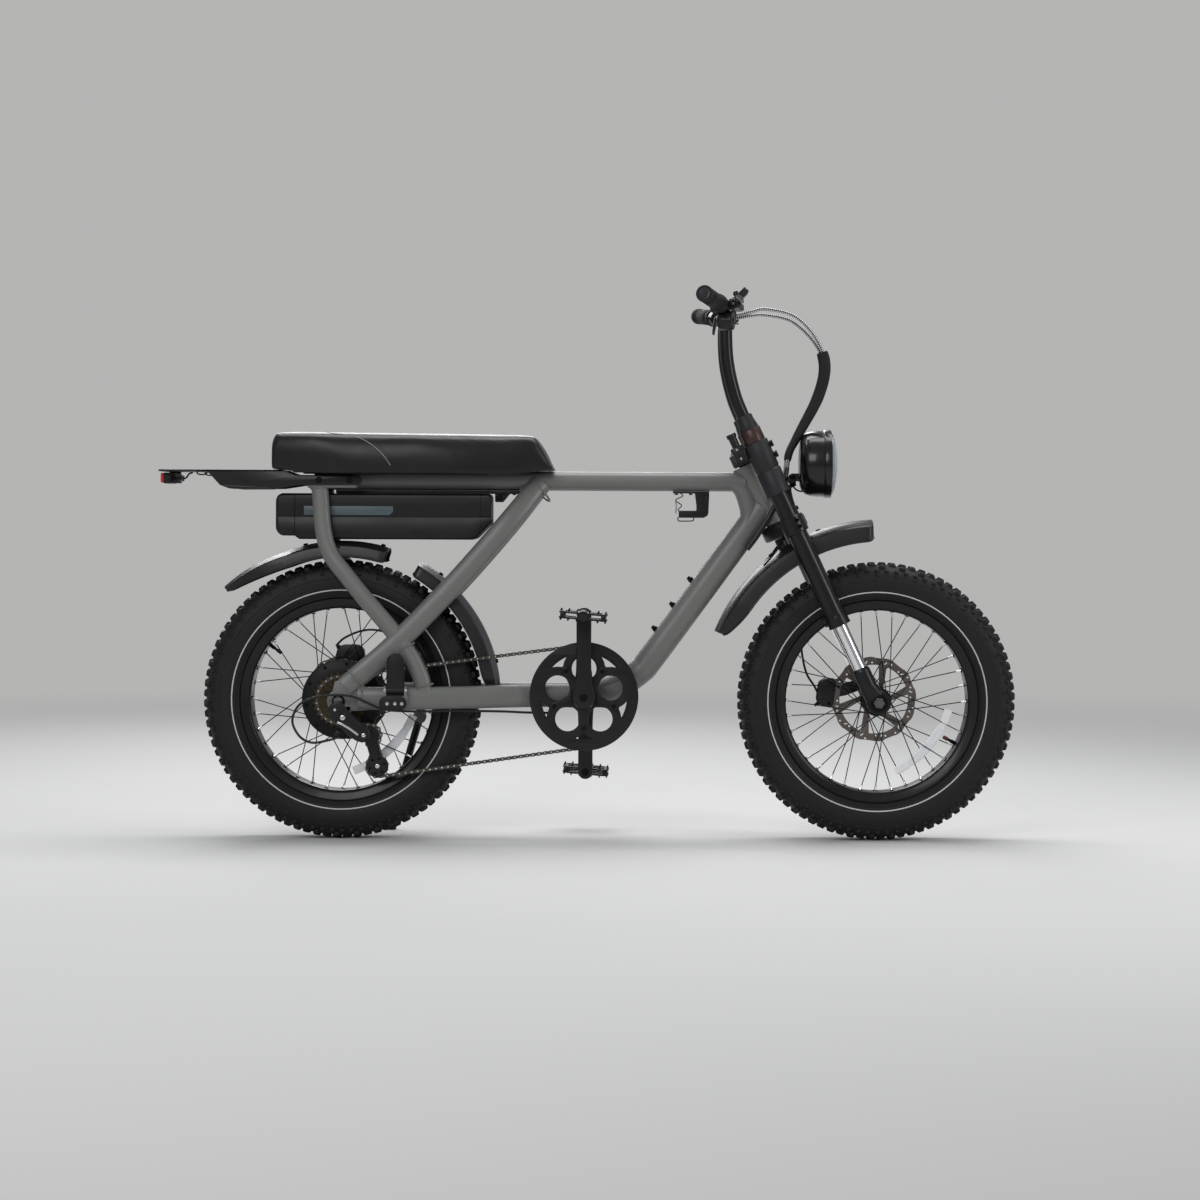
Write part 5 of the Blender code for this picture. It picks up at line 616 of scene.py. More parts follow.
for side in (-1, 1):
    spot = (LEG_X, side * HALF_FORK, 0)
    lower.append(turned([(0.0206, 0.3885), (0.0248, 0.3885), (0.0262, 0.39), (0.0262, 0.4235), (0.025, 0.425),
        (0.0206, 0.425)], 48, "Z", spot, hollow=True))
    upper.append(turned([(0.0206, 0.4785), (0.025, 0.4785), (0.0262, 0.48), (0.0262, 0.529), (0.0252, 0.5305),
        (0.024, 0.533), (0.025, 0.5352), (0.0258, 0.5365), (0.0258, 0.5935), (0.0248, 0.595), (0.0206, 0.595)],
        48, "Z", spot, hollow=True))
    for z in (0.4, 0.414):
        lower.append(bolt(0.0042, 0.005, (LEG_X + 0.01, side * 0.1045, z), (0, side, 0)))
    for z in (0.5, 0.556, 0.58):
        ear = slab((LEG_X + 0.0215, side * HALF_FORK - 0.0085, z - 0.006),
            (LEG_X + 0.0325, side * HALF_FORK + 0.0085, z + 0.006))
        slit = slab((LEG_X + 0.026, side * HALF_FORK - 0.0008, z - 0.0068),
            (LEG_X + 0.033, side * HALF_FORK + 0.0008, z + 0.0068), 0.0003)
        upper += [ear, (*slit, 1), bolt(0.0036, 0.004, (LEG_X + 0.028, side * (HALF_FORK + 0.0085), z),
            (0, side, 0))]
piece("lower_crown", in_steering(lower), [fork_black, steel_black], "steering_assembly")
piece("upper_crown", in_steering(upper), [clamp_black, steel_black], "steering_assembly")

front_axle = [turned(shaft(0.0075, -0.104, 0.104, 0.0005, 0.001), 32, "Y", FRONT_HOLE)]
for side in (-1, 1):
    face = side * 0.0904
    washer = ring_of(0.0178, 48)
    washer[::2] *= 1.045
    front_axle.append((*shifted(sheet_cut([washer], 0.0022, at=face + side * 0.0011), FRONT_HOLE), 1))
    nut = turned([(0.0112, face + side * 0.0022), (0.0125, face + side * 0.0034), (0.0125, face + side * 0.008),
        (0.0112, face + side * 0.0096)], 6, "Y", FRONT_HOLE)
    front_axle.append(nut)
piece("front_axle", in_steering(front_axle), [nut_grey, steel_black], "fork_slider")


# Wheels: a knobbly rubber tyre with a moulded reflecting line on a wide black rim, held
# by 36 crossed spokes with bright nipples. The front one runs on a plain hub; the rear
# one on a drum that holds the motor. A brake disc is bolted on the left of each.
REAR_CENTRE = np.array((0, 0, AXLE_HEIGHT))
FRONT_CENTRE = np.array((WHEELBASE, 0, AXLE_HEIGHT))
SPOKES = 36
RIM_INSIDE = 0.1885
WHEEL_SIDES = 144


def spun(angles):
    """A turn for each angle: X points out from the axle, Y along it, Z round the wheel."""
    a = np.atleast_1d(np.asarray(angles, float))
    c, s, o = np.cos(a), np.sin(a), np.zeros_like(a)
    return np.stack([np.stack([c, o, -s], -1), np.stack([o, o + 1, o], -1), np.stack([s, o, c], -1)], axis=1)


def copies(part, spots, turns):
    """One small surface at many spots, each with its own 3 x 3 turn."""
    points, faces = part
    grid = np.einsum("kij,nj->kni", turns, points) + np.asarray(spots, float)[:, None, :]
    corners = [[corner + len(points) * k for corner in face] for k in range(len(grid)) for face in faces]
    return grid.reshape(-1, 3), corners


def tread_block(length, width, height, narrow, bend):
    """A knob standing along X on an oblong foot, which `bend` draws into a shallow V. Its
    top is smaller by `narrow`, with a soft edge."""
    foot = oval(width, length, 12, 4.0)
    foot[:, 1] += bend * np.abs(foot[:, 0]) / width * length
    levels = np.array((-0.003, 0.0, height - 0.0012, height))
    sizes = np.array((1.06, 1.0, narrow, narrow - 0.13))
    grid = np.concatenate(
        [np.broadcast_to(levels[:, None, None], (4, 12, 1)), sizes[:, None, None] * foot[None]], axis=2
    )
    return skin(grid)


def tread_row(count, start, across, radius, lean, block):
    """A row of knobs round the tyre, leaning out to the side as the carcass does."""
    angle = 2 * math.pi * (np.arange(count) + start) / count
    turns = spun(angle)
    c, s = math.cos(lean), math.sin(lean)
    tip = np.array(((c, -s, 0), (s, c, 0), (0, 0, 1)))
    spots = np.stack([radius * np.cos(angle), np.full(count, across), radius * np.sin(angle)], axis=1)
    return copies(block, spots, turns @ tip)


rubber = finish("tyre_rubber", (0.0085, 0.0085, 0.0092), 0.6, grain=650, relief=0.22, depth=0.0004, tint=0.1,
    gloss=0.1, patch=9)
reflecting = finish("reflecting_line", (0.5, 0.5, 0.51), 0.55, grain=2200, relief=0.05, tint=0.05)
rim_black = finish("rim_black", (0.009, 0.009, 0.0095), 0.34, 0.3, grain=1400, relief=0.03, coat=0.15)
spoke_black = finish("spoke_black", (0.014, 0.014, 0.015), 0.3, 0.9, grain=1800, relief=0.02)
hub_black = finish("hub_black", (0.01, 0.01, 0.0105), 0.42, 0.5, grain=1100, relief=0.05)
disc_steel = finish("disc_steel", (0.17, 0.148, 0.135), 0.3, 1.0, grain=420, relief=0.05, tint=0.08)
clear_plastic = finish("reflector_clear", (0.7, 0.71, 0.74), 0.22, grain=260, relief=0.5, depth=0.0008,
    tint=0.05)
white_plastic = finish("reflector_white", (0.74, 0.74, 0.75), 0.4, relief=0.03)
valve_cap = finish("valve_cap", (0.1, 0.02, 0.02), 0.45, grain=1200)

profile = flowing([(0.205, 0.034), (0.21, 0.0361), (0.215, 0.0398), (0.225, 0.0452), (0.24, 0.0486),
    (0.256, 0.0478), (0.269, 0.0436), (0.278, 0.0345), (0.2828, 0.02), (0.2845, 0.006)], 5)
profile = np.vstack([profile, (profile * (1, -1))[::-1]])
bed = np.array(((0.2036, -0.03), (0.2036, 0.03)))
carcass = turned(np.vstack([profile, bed]), WHEEL_SIDES, hollow=True)
knobs = []
for side in (-1, 1):
    half = 0.5 * (side > 0)
    for count, start, across, radius, lean, block in (
        (42, 0.25, 0.007, 0.2842, 0.05, (0.019, 0.0105, 0.0058, 0.74, 0.16)),
        (42, 0.75, 0.0205, 0.2822, 0.16, (0.0165, 0.012, 0.006, 0.74, -0.14)),
        (42, 0.27, 0.033, 0.2778, 0.42, (0.015, 0.011, 0.0066, 0.74, 0.0)),
        (84, 0.1, 0.0412, 0.2712, 0.86, (0.01, 0.0088, 0.0052, 0.68, 0.0)),
        (42, 0.52, 0.0455, 0.2632, 1.18, (0.012, 0.008, 0.0026, 0.6, 0.0)),
    ):
        knobs.append(tread_row(count, start + half, side * across, radius, side * lean, tread_block(*block)))
lines = []
for side in (-1, 1):
    for radius, place, size in ((0.252, 0.0482, 0.0011), (0.2188, 0.0424, 0.0011), (0.214, 0.039, 0.0013)):
        lines.append(turned(oval(2 * size, 1.6 * size, 8) + (radius, side * place), WHEEL_SIDES, hollow=True))
    flat = oval(0.0028, 0.0022, 10, 3.0) @ np.array(((0.84, side * 0.54), (-side * 0.54, 0.84)))
    lines.append((*turned(flat + (0.2276, side * 0.046), WHEEL_SIDES, hollow=True), 1))
bed_line = [(0.1896, 0.0318), (0.1906, 0.0335), (0.196, 0.0362), (0.2075, 0.0396), (0.2092, 0.0399),
    (0.2095, 0.0388), (0.208, 0.0376), (0.204, 0.0355), (0.2031, 0.033), (0.2031, 0.018), (0.2, 0.012)]
rim_profile = np.vstack([bed_line, (np.array(bed_line) * (1, -1))[::-1],
    [(0.19, -0.018), (0.1888, -0.009), (0.1888, 0.009), (0.19, 0.018)]])
rim_ring = turned(rim_profile, WHEEL_SIDES, hollow=True)
nipple = turned([(0.0016, -0.0135), (0.002, -0.013), (0.002, -0.003), (0.003, -0.0015), (0.003, 0.001)], 8, "X")
ledge = turned([(0.0052, -0.0012), (0.0046, -0.0004), (0.0046, 0.001)], 10, "X")


def laced(flange_radius, flange_y, lead):
    """Crossed spokes as thin rods between a hub flange and the rim, with their nipples."""
    k = np.arange(SPOKES)
    side = np.where(k % 2, 1, -1)
    ahead = np.where((k // 2) % 2, 1, -1)
    rim_angle = 2 * math.pi * k / SPOKES
    hub_angle = rim_angle + ahead * lead
    start = np.stack([flange_radius * np.cos(hub_angle), side * flange_y + 0.0024 * ahead,
        flange_radius * np.sin(hub_angle)], 1)
    end = np.stack([RIM_INSIDE * np.cos(rim_angle), side * 0.01, RIM_INSIDE * np.sin(rim_angle)], 1)
    along = (end - start) / np.linalg.norm(end - start, axis=1)[:, None]
    across = np.cross((0.0, 1.0, 0.0), along)
    across /= np.linalg.norm(across, axis=1)[:, None]
    turns = np.stack([along, across, np.cross(along, across)], axis=2)
    length = np.linalg.norm(end - start, axis=1)
    spoke = turned([(0.00105, 0.0), (0.00105, 1.0)], 8, "X")
    stretched = turns.copy()
    stretched[:, :, 0] *= length[:, None]
    head = turned(shaft(0.0022, -0.0016, 0.0016, 0.0012, 0.0006), 8)
    return [
        (*copies(spoke, start, stretched), 1),
        (*copies(head, start, turns), 1),
        (*copies(nipple, end + along * 0.002, turns), 2),
        (*copies(ledge, end + along * 0.0005, turns), 0),
    ]


def reflector(middle):
    """A bowed clear strip clipped to the spokes, with a white pad at either end."""
    t = np.linspace(-1, 1, 25)
    angle = math.radians(middle) + math.radians(34) * t
    radius = 0.1435 + 0.0085 * t**2
    path = np.stack([radius * np.cos(angle), np.full(25, -0.0125), radius * np.sin(angle)], 1)
    width = np.interp(np.abs(t), (0, 0.45, 0.78), (0.02, 0.019, 0.012))
    strip = carried(path[3:-3], oval(0.0045, 1.0, 14, 3.2), (0, 1, 0), np.stack([np.ones(19), width[3:-3]]))
    parts = [(*strip, 3)]
    for end in (path[:5], path[-5:]):
        parts.append((*carried(end, oval(0.0062, 0.017, 16, 5.0)), 4))
    return parts


def brake_disc(y):
    """A brake disc: a wavy edge, a track pierced by slots and holes, six leaning arms."""
    angle = np.linspace(0, 2 * math.pi, 240, endpoint=False)
    edge = 0.0886 + 0.0013 * np.sign(np.sin(12 * angle)) * np.abs(np.sin(12 * angle)) ** 0.5
    bolt_spots = ring_of(0.022, 6, start=27, end=387)
    outlines = [np.stack([edge * np.cos(angle), edge * np.sin(angle)], 1), ring_of(0.0145)]
    for k in range(6):
        start = 60 * k
        inner = ring_of(0.0285, 8, (0, 0), start + 8, start + 46)
        outer = ring_of(0.0725, 12, (0, 0), start + 68, start + 22)
        outlines += [np.vstack([inner, outer]), ring_of(0.0024, 10, bolt_spots[k])]
    for k in range(24):
        a = math.radians(15 * k)
        reach = (0.0772, 0.0812, 0.0846)[k % 3]
        outlines.append(ring_of(0.0021, 8, (reach * math.cos(a + 0.05), reach * math.sin(a + 0.05))))
        if k % 2:
            c, s = math.cos(a - 0.7), math.sin(a - 0.7)
            slot = oval(0.0078, 0.0026, 12, 2.6) @ np.array(((c, s), (-s, c)))
            outlines.append(slot + (0.079 * math.cos(a - 0.06), 0.079 * math.sin(a - 0.06)))
    disc = sheet_cut(outlines, 0.0019, 0.0002, at=y, steps=1)
    return [disc] + [bolt(0.004, 0.0028, (x, y + 0.0009, z), (0, 1, 0), 12) for x, z in bolt_spots]


def valve(angle, cap):
    """The valve's stem and cap, pointing in from the rim toward the axle."""
    out = ray(angle)
    stem = turned([(0.004, 0), (0.004, 0.012), (0.003, 0.013), (0.003, 0.02)], 12, "Z")
    tip = turned([(0.0038, 0.019), (0.004, 0.02), (0.004, 0.029), (0.0025, 0.0305)], 12, "Z")
    return [(*aimed(stem, out * 0.19, -out), 1), (*aimed(tip, out * 0.19, -out), cap)]


def at_wheel(parts, centre):
    """Surfaces drawn about the axle, moved to the wheel's place."""
    return [(part[0] + centre, *part[1:]) for part in parts]


for word, centre, body in (("front", FRONT_CENTRE, "front_wheel"), ("rear", REAR_CENTRE, "rear_wheel")):
    piece(word + "_tyre", at_wheel([carcass, *knobs, *lines], centre), [rubber, reflecting], body, crease=50)
    bits = valve(-28 if word == "front" else 144, 2 if word == "front" else 1)
    piece(word + "_rim", at_wheel([rim_ring, *bits], centre), [rim_black, steel_black, valve_cap], body)
    disc = brake_disc(0.058 if word == "front" else 0.062)
    piece(word + "_rotor", at_wheel(disc, centre), [disc_steel, steel_black], body, crease=30)

hub = [turned([(0.0079, -0.0692), (0.0118, -0.0692), (0.0124, -0.0684), (0.0124, -0.042), (0.0165, -0.0365),
    (0.03, -0.0345), (0.0306, -0.033), (0.0306, -0.0298), (0.0296, -0.0285), (0.019, -0.024), (0.0155, -0.017),
    (0.015, 0.0), (0.0155, 0.017), (0.019, 0.024), (0.0296, 0.0285), (0.0306, 0.0298), (0.0306, 0.034),
    (0.029, 0.0356), (0.0245, 0.048), (0.024, 0.0565), (0.0124, 0.0568), (0.0124, 0.0684), (0.0118, 0.0692),
    (0.0079, 0.0692)], 64, hollow=True)]
piece(
    "front_hub", at_wheel([*hub, *laced(0.0275, 0.0315, math.radians(62)), *reflector(-40.5)], FRONT_CENTRE),
    [hub_black, spoke_black, bright_bolt, clear_plastic, white_plastic], "front_wheel",
)
drum = [turned([(0.0063, -0.09), (0.019, -0.09), (0.0196, -0.089), (0.0196, -0.04), (0.056, -0.0372),
    (0.07, -0.0362), (0.074, -0.0348), (0.0812, -0.0338), (0.083, -0.0325), (0.083, -0.0275), (0.0818, -0.0262),
    (0.0782, -0.0245), (0.078, -0.015), (0.0772, -0.014), (0.0772, 0.014), (0.078, 0.015), (0.0782, 0.0245),
    (0.0818, 0.0262), (0.083, 0.0275), (0.083, 0.0335), (0.0812, 0.0348), (0.07, 0.0362), (0.056, 0.04),
    (0.033, 0.045), (0.0305, 0.0475), (0.03, 0.06), (0.014, 0.0604), (0.014, 0.085), (0.013, 0.0858),
    (0.0063, 0.0858)], 96, hollow=True)]
for side in (-1, 1):
    for k in range(10):
        drum.append(bolt(0.0036, 0.0024, ray(36 * k + 10, side * 0.0356, 0.0745), (0, side, 0), 12))
fin = slab((0.048, -0.0012, -0.0007), (0.068, 0.0012, 0.0007), 0.0006)
drum.append(copies(fin, np.full((24, 3), (0, 0.0388, 0)), spun(2 * math.pi * np.arange(24) / 24)))
piece(
    "hub_motor", at_wheel([*drum, *laced(0.0805, 0.03, math.radians(24)), *reflector(-47)], REAR_CENTRE),
    [hub_black, spoke_black, bright_bolt, clear_plastic, white_plastic], "rear_wheel",
)
rear_axle = [turned(shaft(0.006, -0.118, 0.118, 0.0008, 0.0008), 32)]
for side in (-1, 1):
    face = side * 0.1034
    rear_axle += [(*turned([(0.0062, face), (0.0135, face), (0.0135, face + side * 0.0016),
        (0.0062, face + side * 0.0016)], 32, hollow=True), 1),
        turned([(0.0098, face + side * 0.0016), (0.011, face + side * 0.0026), (0.011, face + side * 0.0076),
        (0.0098, face + side * 0.009)], 6)]
piece("rear_axle", at_wheel(rear_axle, REAR_CENTRE), [nut_grey, steel_black], "frame")


# Fenders: pressed black plastic shells with rolled edges and a ridge line along either
# side. The rear pair is bolted to lugs on the frame; the front one hangs from a short
# post under the lower crown and is steadied by wire stays.
FENDER_HALF = 0.058
FENDER_THICK = 0.0025


def fender(centre, start, end, ridge, drop):
    """A shell swept about the wheel's centre: its section is a smooth arch whose under
    side lies one thickness inside it, and both tips are rounded off in plan."""
    degrees = np.linspace(start, end, 90)
    radius, share = ridge(degrees)
    corner = np.clip(np.minimum(degrees - start, end - degrees) / 2.4, 0, 1)
    share = share * (0.84 + 0.16 * np.sqrt(1 - (1 - corner) ** 2))
    arch = flowing([(-1, -1, 0), (-0.99, -0.8, 0), (-0.955, -0.42, 0), (-0.9, -0.26, -0.001),
        (-0.6, 0, -0.0052), (-0.25, 0, -0.0008), (0, 0, 0)], 5)
    arch = np.vstack([arch, (arch * (-1, 1, 1))[-2::-1]])
    half = FENDER_HALF * share[:, None]
    y = half * arch[None, :, 0]
    rise = drop * share[:, None] * arch[None, :, 1] + arch[None, :, 2]
    dy, dz = np.gradient(y, axis=1), np.gradient(rise, axis=1)
    size = np.hypot(dy, dz)
    y = np.concatenate([y, (y + FENDER_THICK * dz / size)[:, ::-1]], axis=1)
    rise = np.concatenate([rise, (rise - FENDER_THICK * dy / size)[:, ::-1]], axis=1)
    turn = np.radians(degrees)[:, None]
    far = radius[:, None] + rise
    shell = skin(np.stack([far * np.cos(turn), y, far * np.sin(turn)], axis=2) + centre)
    rims = []
    for side in (-1, 1):
        reach = radius - drop * share * 0.985
        rim_line = np.stack([reach * np.cos(turn[:, 0]), side * half[:, 0], reach * np.sin(turn[:, 0])], 1)
        rims.append(carried(rim_line + centre, oval(0.004, 0.004, 8)))
    return [shell, *rims]


fender_black = finish("fender_black", (0.013, 0.013, 0.014), 0.4, grain=1000, relief=0.05, coat=0.1)


def tail_ridge(degrees):
    """Height and width of the rear shell: it flares out and narrows at its tip."""
    flare = np.clip((degrees - 112) / 25, 0, None)
    return 0.33 + 0.011 * flare, 1.0 - 0.55 * flare**2


def low_ridge(degrees):
    """Height and width of the shell ahead of the rear wheel, which narrows low down."""
    return 0.33 + 0 * degrees, 1.0 - 0.25 * np.clip((12 - degrees) / 7, 0, None) ** 2


def front_ridge(degrees):
    """Height and width of the front shell, which narrows toward its lower tip."""
    share = (degrees - 91.5) / 65.3
    tip = np.clip((share - 0.8) / 0.2, 0, None)
    return 0.379 - 0.011 * share, 1.0 - 0.45 * tip**2


tail = fender(REAR_CENTRE, 72.6, 137.0, tail_ridge, 0.033)
for side in (-1, 1):
    tail.append(carried([(-0.006, side * 0.044, 0.6075), (-0.0085, side * 0.0556, 0.6075)],
        oval(0.012, 0.008, 12, 4), (1, 0, 0)))
tail += [bolt(0.0048, 0.004, REAR_CENTRE + ray(turn) * 0.3295, ray(turn)) for turn in (75.5, 104)]
piece("rear_fender_tail", tail, [fender_black, steel_black], "frame")
low_shell = fender(REAR_CENTRE, 5.0, 60.4, low_ridge, 0.033)
low_shell += [bolt(0.0048, 0.004, REAR_CENTRE + ray(turn) * 0.3295, ray(turn)) for turn in (14, 52)]
piece("rear_fender_front", low_shell, [fender_black, steel_black], "frame")
shell = fender(FRONT_CENTRE, 91.5, 156.8, front_ridge, 0.045)
shell += in_steering([turned([(0.0105, 0.36), (0.012, 0.362), (0.012, 0.39), (0.011, 0.3925)], 32, "Z")])
for side in (-1, 1):
    hoop = flowing([(0.877, side * 0.04, 0.572), (0.899, side * 0.048, 0.598), (0.92, side * 0.042, 0.63)])
    shell.append(rod(hoop, 0.0042, 10))
shell += [bolt(0.005, 0.004, FRONT_CENTRE + ray(turn) * 0.3745, ray(turn)) for turn in (109, 126)]
piece("front_fender", shell, [fender_black, steel_black], "steering_assembly")


# The drive: a roller chain of 128 links runs from a 52-tooth ring, whose guard disc is
# bolted to the right crank's five arms, to a seven-speed freewheel, and back through
# the two toothed guide wheels of the gear's sprung cage.
PITCH = 0.0127
LINKS = 128
CRANK = 0.17
CHAIN_PLANE = -0.062
RING_TEETH, COG_TEETH, GUIDE_TEETH = 52, 24, 11
LOW_JOCKEY = (0.078, 0.15377)
HIGH_JOCKEY = (0.06201, 0.21702)
CAGE_PIVOT = (0.055, 0, 0.222)


def chain_radius(teeth):
    """How far from the centre of a wheel the chain's pins run."""
    return teeth * PITCH / (2 * math.pi)


WHEELS = (
    ((0.0, AXLE_HEIGHT), chain_radius(COG_TEETH), 1), (CRANK_SPOT[::2], chain_radius(RING_TEETH), 1),
    (LOW_JOCKEY, chain_radius(GUIDE_TEETH), 1), (HIGH_JOCKEY, chain_radius(GUIDE_TEETH), -1),
)


def chain_stretches():
    """The loop as rows of start, heading, curvature and length: a straight run between
    two wheels, which touches both, then the arc on the second, and so on."""
    headings = []
    for (centre, radius, sense), (other, other_radius, other_sense) in zip(WHEELS, WHEELS[1:] + WHEELS[:1]):
        gap = np.subtract(other, centre)
        lean = math.asin((other_sense * other_radius - sense * radius) / math.hypot(*gap))
        headings.append(math.atan2(gap[1], gap[0]) + lean)
    rows = []
    for k, heading in enumerate(headings):
        centre, radius, sense = WHEELS[k]
        other, other_radius, other_sense = WHEELS[(k + 1) % 4]
        normal = np.array((math.sin(heading), -math.cos(heading)))
        leave = np.subtract(centre, sense * radius * normal)
        meet = np.subtract(other, other_sense * other_radius * normal)
        onward = headings[(k + 1) % 4]
        sweep = (other_sense * (heading - onward)) % (2 * math.pi)
        rows += [(*leave, heading, 0.0, math.dist(leave, meet)),
            (*meet, heading, -other_sense / other_radius, sweep * other_radius)]
    return np.array(rows)


def on_chain(distance):
    """The places and headings on the loop after these distances along it."""
    ends = np.cumsum(STRETCHES[:, 4])
    distance = np.asarray(distance, float) % ends[-1]
    row = np.minimum(np.searchsorted(ends, distance, side="right"), len(ends) - 1)
    x, z, heading, bend, length = STRETCHES[row].T
    gone = distance - (ends[row] - length)
    now = heading + bend * gone
    safe = np.where(bend == 0, 1.0, bend)
    x = np.where(bend == 0, x + gone * np.cos(heading), x + (np.sin(now) - np.sin(heading)) / safe)
    z = np.where(bend == 0, z + gone * np.sin(heading), z + (np.cos(heading) - np.cos(now)) / safe)
    return np.stack([x, z], axis=1), now


STRETCHES = chain_stretches()
link_pitch = STRETCHES[:, 4].sum() / LINKS


def first_pin(wheel):
    """The angle at which the first chain pin lies on a wheel."""
    start = np.cumsum(STRETCHES[:, 4])[(2 * wheel - 2) % 8]
    spot, _ = on_chain([math.ceil(start / link_pitch) * link_pitch])
    gap = spot[0] - WHEELS[wheel][0]
    return math.atan2(gap[1], gap[0])


def cog(teeth, phase):
    """Outline of a toothed wheel: between teeth it sinks in a cosine, and each tooth
    narrows to a short blunt tip."""
    turn = np.linspace(0, 2 * math.pi, teeth * 10, endpoint=False)
    wave = np.cos(teeth * turn)
    radius = chain_radius(teeth) - 0.0006 - 0.0033 * np.clip(wave + 0.25, -0.86, 1)
    return np.stack([radius * np.cos(turn + phase), radius * np.sin(turn + phase)], axis=1)


def link_plate(thick, waist):
    """A chain plate seen from the side as a figure of eight, thick along Y."""
    angle = np.linspace(0, 2 * math.pi, 16, endpoint=False)
    x = 0.00635 * np.sign(np.cos(angle)) * (np.abs(np.cos(angle)) > 0.01) + 0.0042 * np.cos(angle)
    z = 0.0042 * np.sin(angle) * np.where(np.abs(np.cos(angle)) > 0.01, 1, waist)
    flat = np.stack([x, z], axis=1)
    grid = np.stack([np.column_stack([flat[:, 0], np.full(16, y), flat[:, 1]])
        for y in (-thick / 2, thick / 2)])
    return skin(grid)


chain_steel = finish("chain_steel", (0.085, 0.077, 0.068), 0.36, 1.0, grain=1600, relief=0.05, tint=0.12)
sprocket_steel = finish("sprocket_steel", (0.06, 0.045, 0.028), 0.34, 1.0, relief=0.05, tint=0.16)
crank_black = finish("crank_black", (0.009, 0.009, 0.01), 0.36, 0.2, grain=1300, coat=0.15)
guide_black = finish("guide_black", (0.01, 0.01, 0.011), 0.45, grain=1200, relief=0.05)

pins, _ = on_chain(link_pitch * np.arange(LINKS))
ahead = np.roll(pins, -1, axis=0)
middle, gap = (pins + ahead) / 2, ahead - pins
slope = np.arctan2(gap[:, 1], gap[:, 0])
spots = np.stack([middle[:, 0], np.full(LINKS, CHAIN_PLANE), middle[:, 1]], axis=1)
turns = spun(slope)
links = []
for start, place, waist in ((0, 0.0019, 0.72), (1, 0.0031, 0.62)):
    for side in (-1, 1):
        links.append(copies(link_plate(0.0009, waist), spots[start::2] + (0, side * place, 0), turns[start::2]))
pin_spots = np.stack([pins[:, 0], np.full(LINKS, CHAIN_PLANE), pins[:, 1]], axis=1)
links += [copies(turned([(0.0038, -0.0014), (0.0038, 0.0014)], 12), pin_spots, turns),
    (*copies(turned(shaft(0.0017, -0.0042, 0.0042, 0.0005, 0.0004), 8), pin_spots, turns), 1)]
piece("chain", links, [chain_steel, bright_bolt], "frame", crease=30)

openings = [ring_of(0.029, 48)]
for k in range(5):
    openings.append(ring_of(0.0255, 48, polar(0.0575, 18 + 72 * k)))
    corner = [(0.077, -1.5), (0.077, 1.5), (0.0835, 6.5), (0.0905, 12.5), (0.0932, 12.5), (0.0943, 8.0),
        (0.0946, 0.0), (0.0943, -8.0), (0.0932, -12.5), (0.0905, -12.5), (0.0835, -6.5)]
    reach, swing = np.array(corner).T
    swing = np.radians(swing + 54 + 72 * k)
    openings.append(flowing(np.stack([reach * np.cos(swing), reach * np.sin(swing)], 1), 4, True))
chainring = [sheet_cut([ring_of(0.1127, 120), *openings], 0.0026, 0.0007, at=-0.0686, steps=3),
    (*sheet_cut([cog(RING_TEETH, first_pin(1)), ring_of(0.089, 72)], 0.0023, 0.0003, at=CHAIN_PLANE, steps=1),
    1), turned([(0.0898, -0.0676), (0.0955, -0.0676), (0.0955, -0.063), (0.0898, -0.063)], 72, hollow=True)]
piece("chainring", at_wheel(chainring, CRANK_SPOT), [crank_black, steel_black], "crankset")


def crank_arm(y, turn):
    """One arm: a long plate with round ends and well-rounded edges, widest at the hub."""
    half = [(0.0235, -0.004), (0.0222, 0.01), (0.019, 0.024), (0.0168, 0.04), (0.0155, 0.065), (0.0152, 0.11),
        (0.0151, 0.168)]
    line = [(0.0, -0.0235), (0.015, -0.018), *half, (0.012, 0.1792), (0.0066, 0.1838), (0.0, 0.1852)]
    line = np.vstack([line, (np.array(line) * (-1, 1))[-2:0:-1]])
    arm = sheet_cut([flowing(line, 3, True)], 0.014, 0.0036, at=y, steps=4)
    return shifted(arm, turn=turn)


right = [crank_arm(-0.105, 0.0), turned([(0.024, -0.046), (0.025, -0.0562), (0.025, -0.069), (0.027, -0.07),
    (0.027, -0.0742), (0.0235, -0.086), (0.019, -0.101), (0.018, -0.11)])]
for a in range(54, 360 + 54, 72):
    tip = polar(1, a)
    arm = np.array([(0.01, 0.02), (0.026, 0.015), (0.045, 0.0092), (0.06, 0.0082), (0.0705, 0.006),
        (0.0735, 0)])
    arm = np.vstack([arm, (arm * (1, -1))[-2::-1]]) @ np.array((tip, (-tip[1], tip[0])))
    right += [sheet_cut([flowing(arm, 3, True)], 0.0042, 0.0012, at=-0.0721, steps=3),
        bolt(0.0046, 0.0022, ray(a, -0.074, 0.065), (0, -1, 0), 16)]
right += [sheet_cut([[(-0.0215, 0), (0.0215, 0), (0.016, 0.055), (-0.016, 0.055)]], 0.026, 0.003, at=-0.087,
    steps=3), bolt(0.0085, 0.0016, (0, -0.112, 0), (0, -1, 0), 20, mark=2),
    (*turned([(0.011, -0.053), (0.0118, -0.0524), (0.0118, 0.105), (0.011, 0.1058)], 32), 1),
    (*shifted(turned([(0.006, -0.116), (0.007, -0.115), (0.007, -0.2), (0.006, -0.201)], 24), (0, 0, CRANK)),
    1), bolt(0.007, 0.0012, (0, -0.0982, CRANK), (0, 1, 0), 6)]
piece("crank_right", at_wheel(right, CRANK_SPOT), [crank_black, steel_black, steel_black], "crankset")
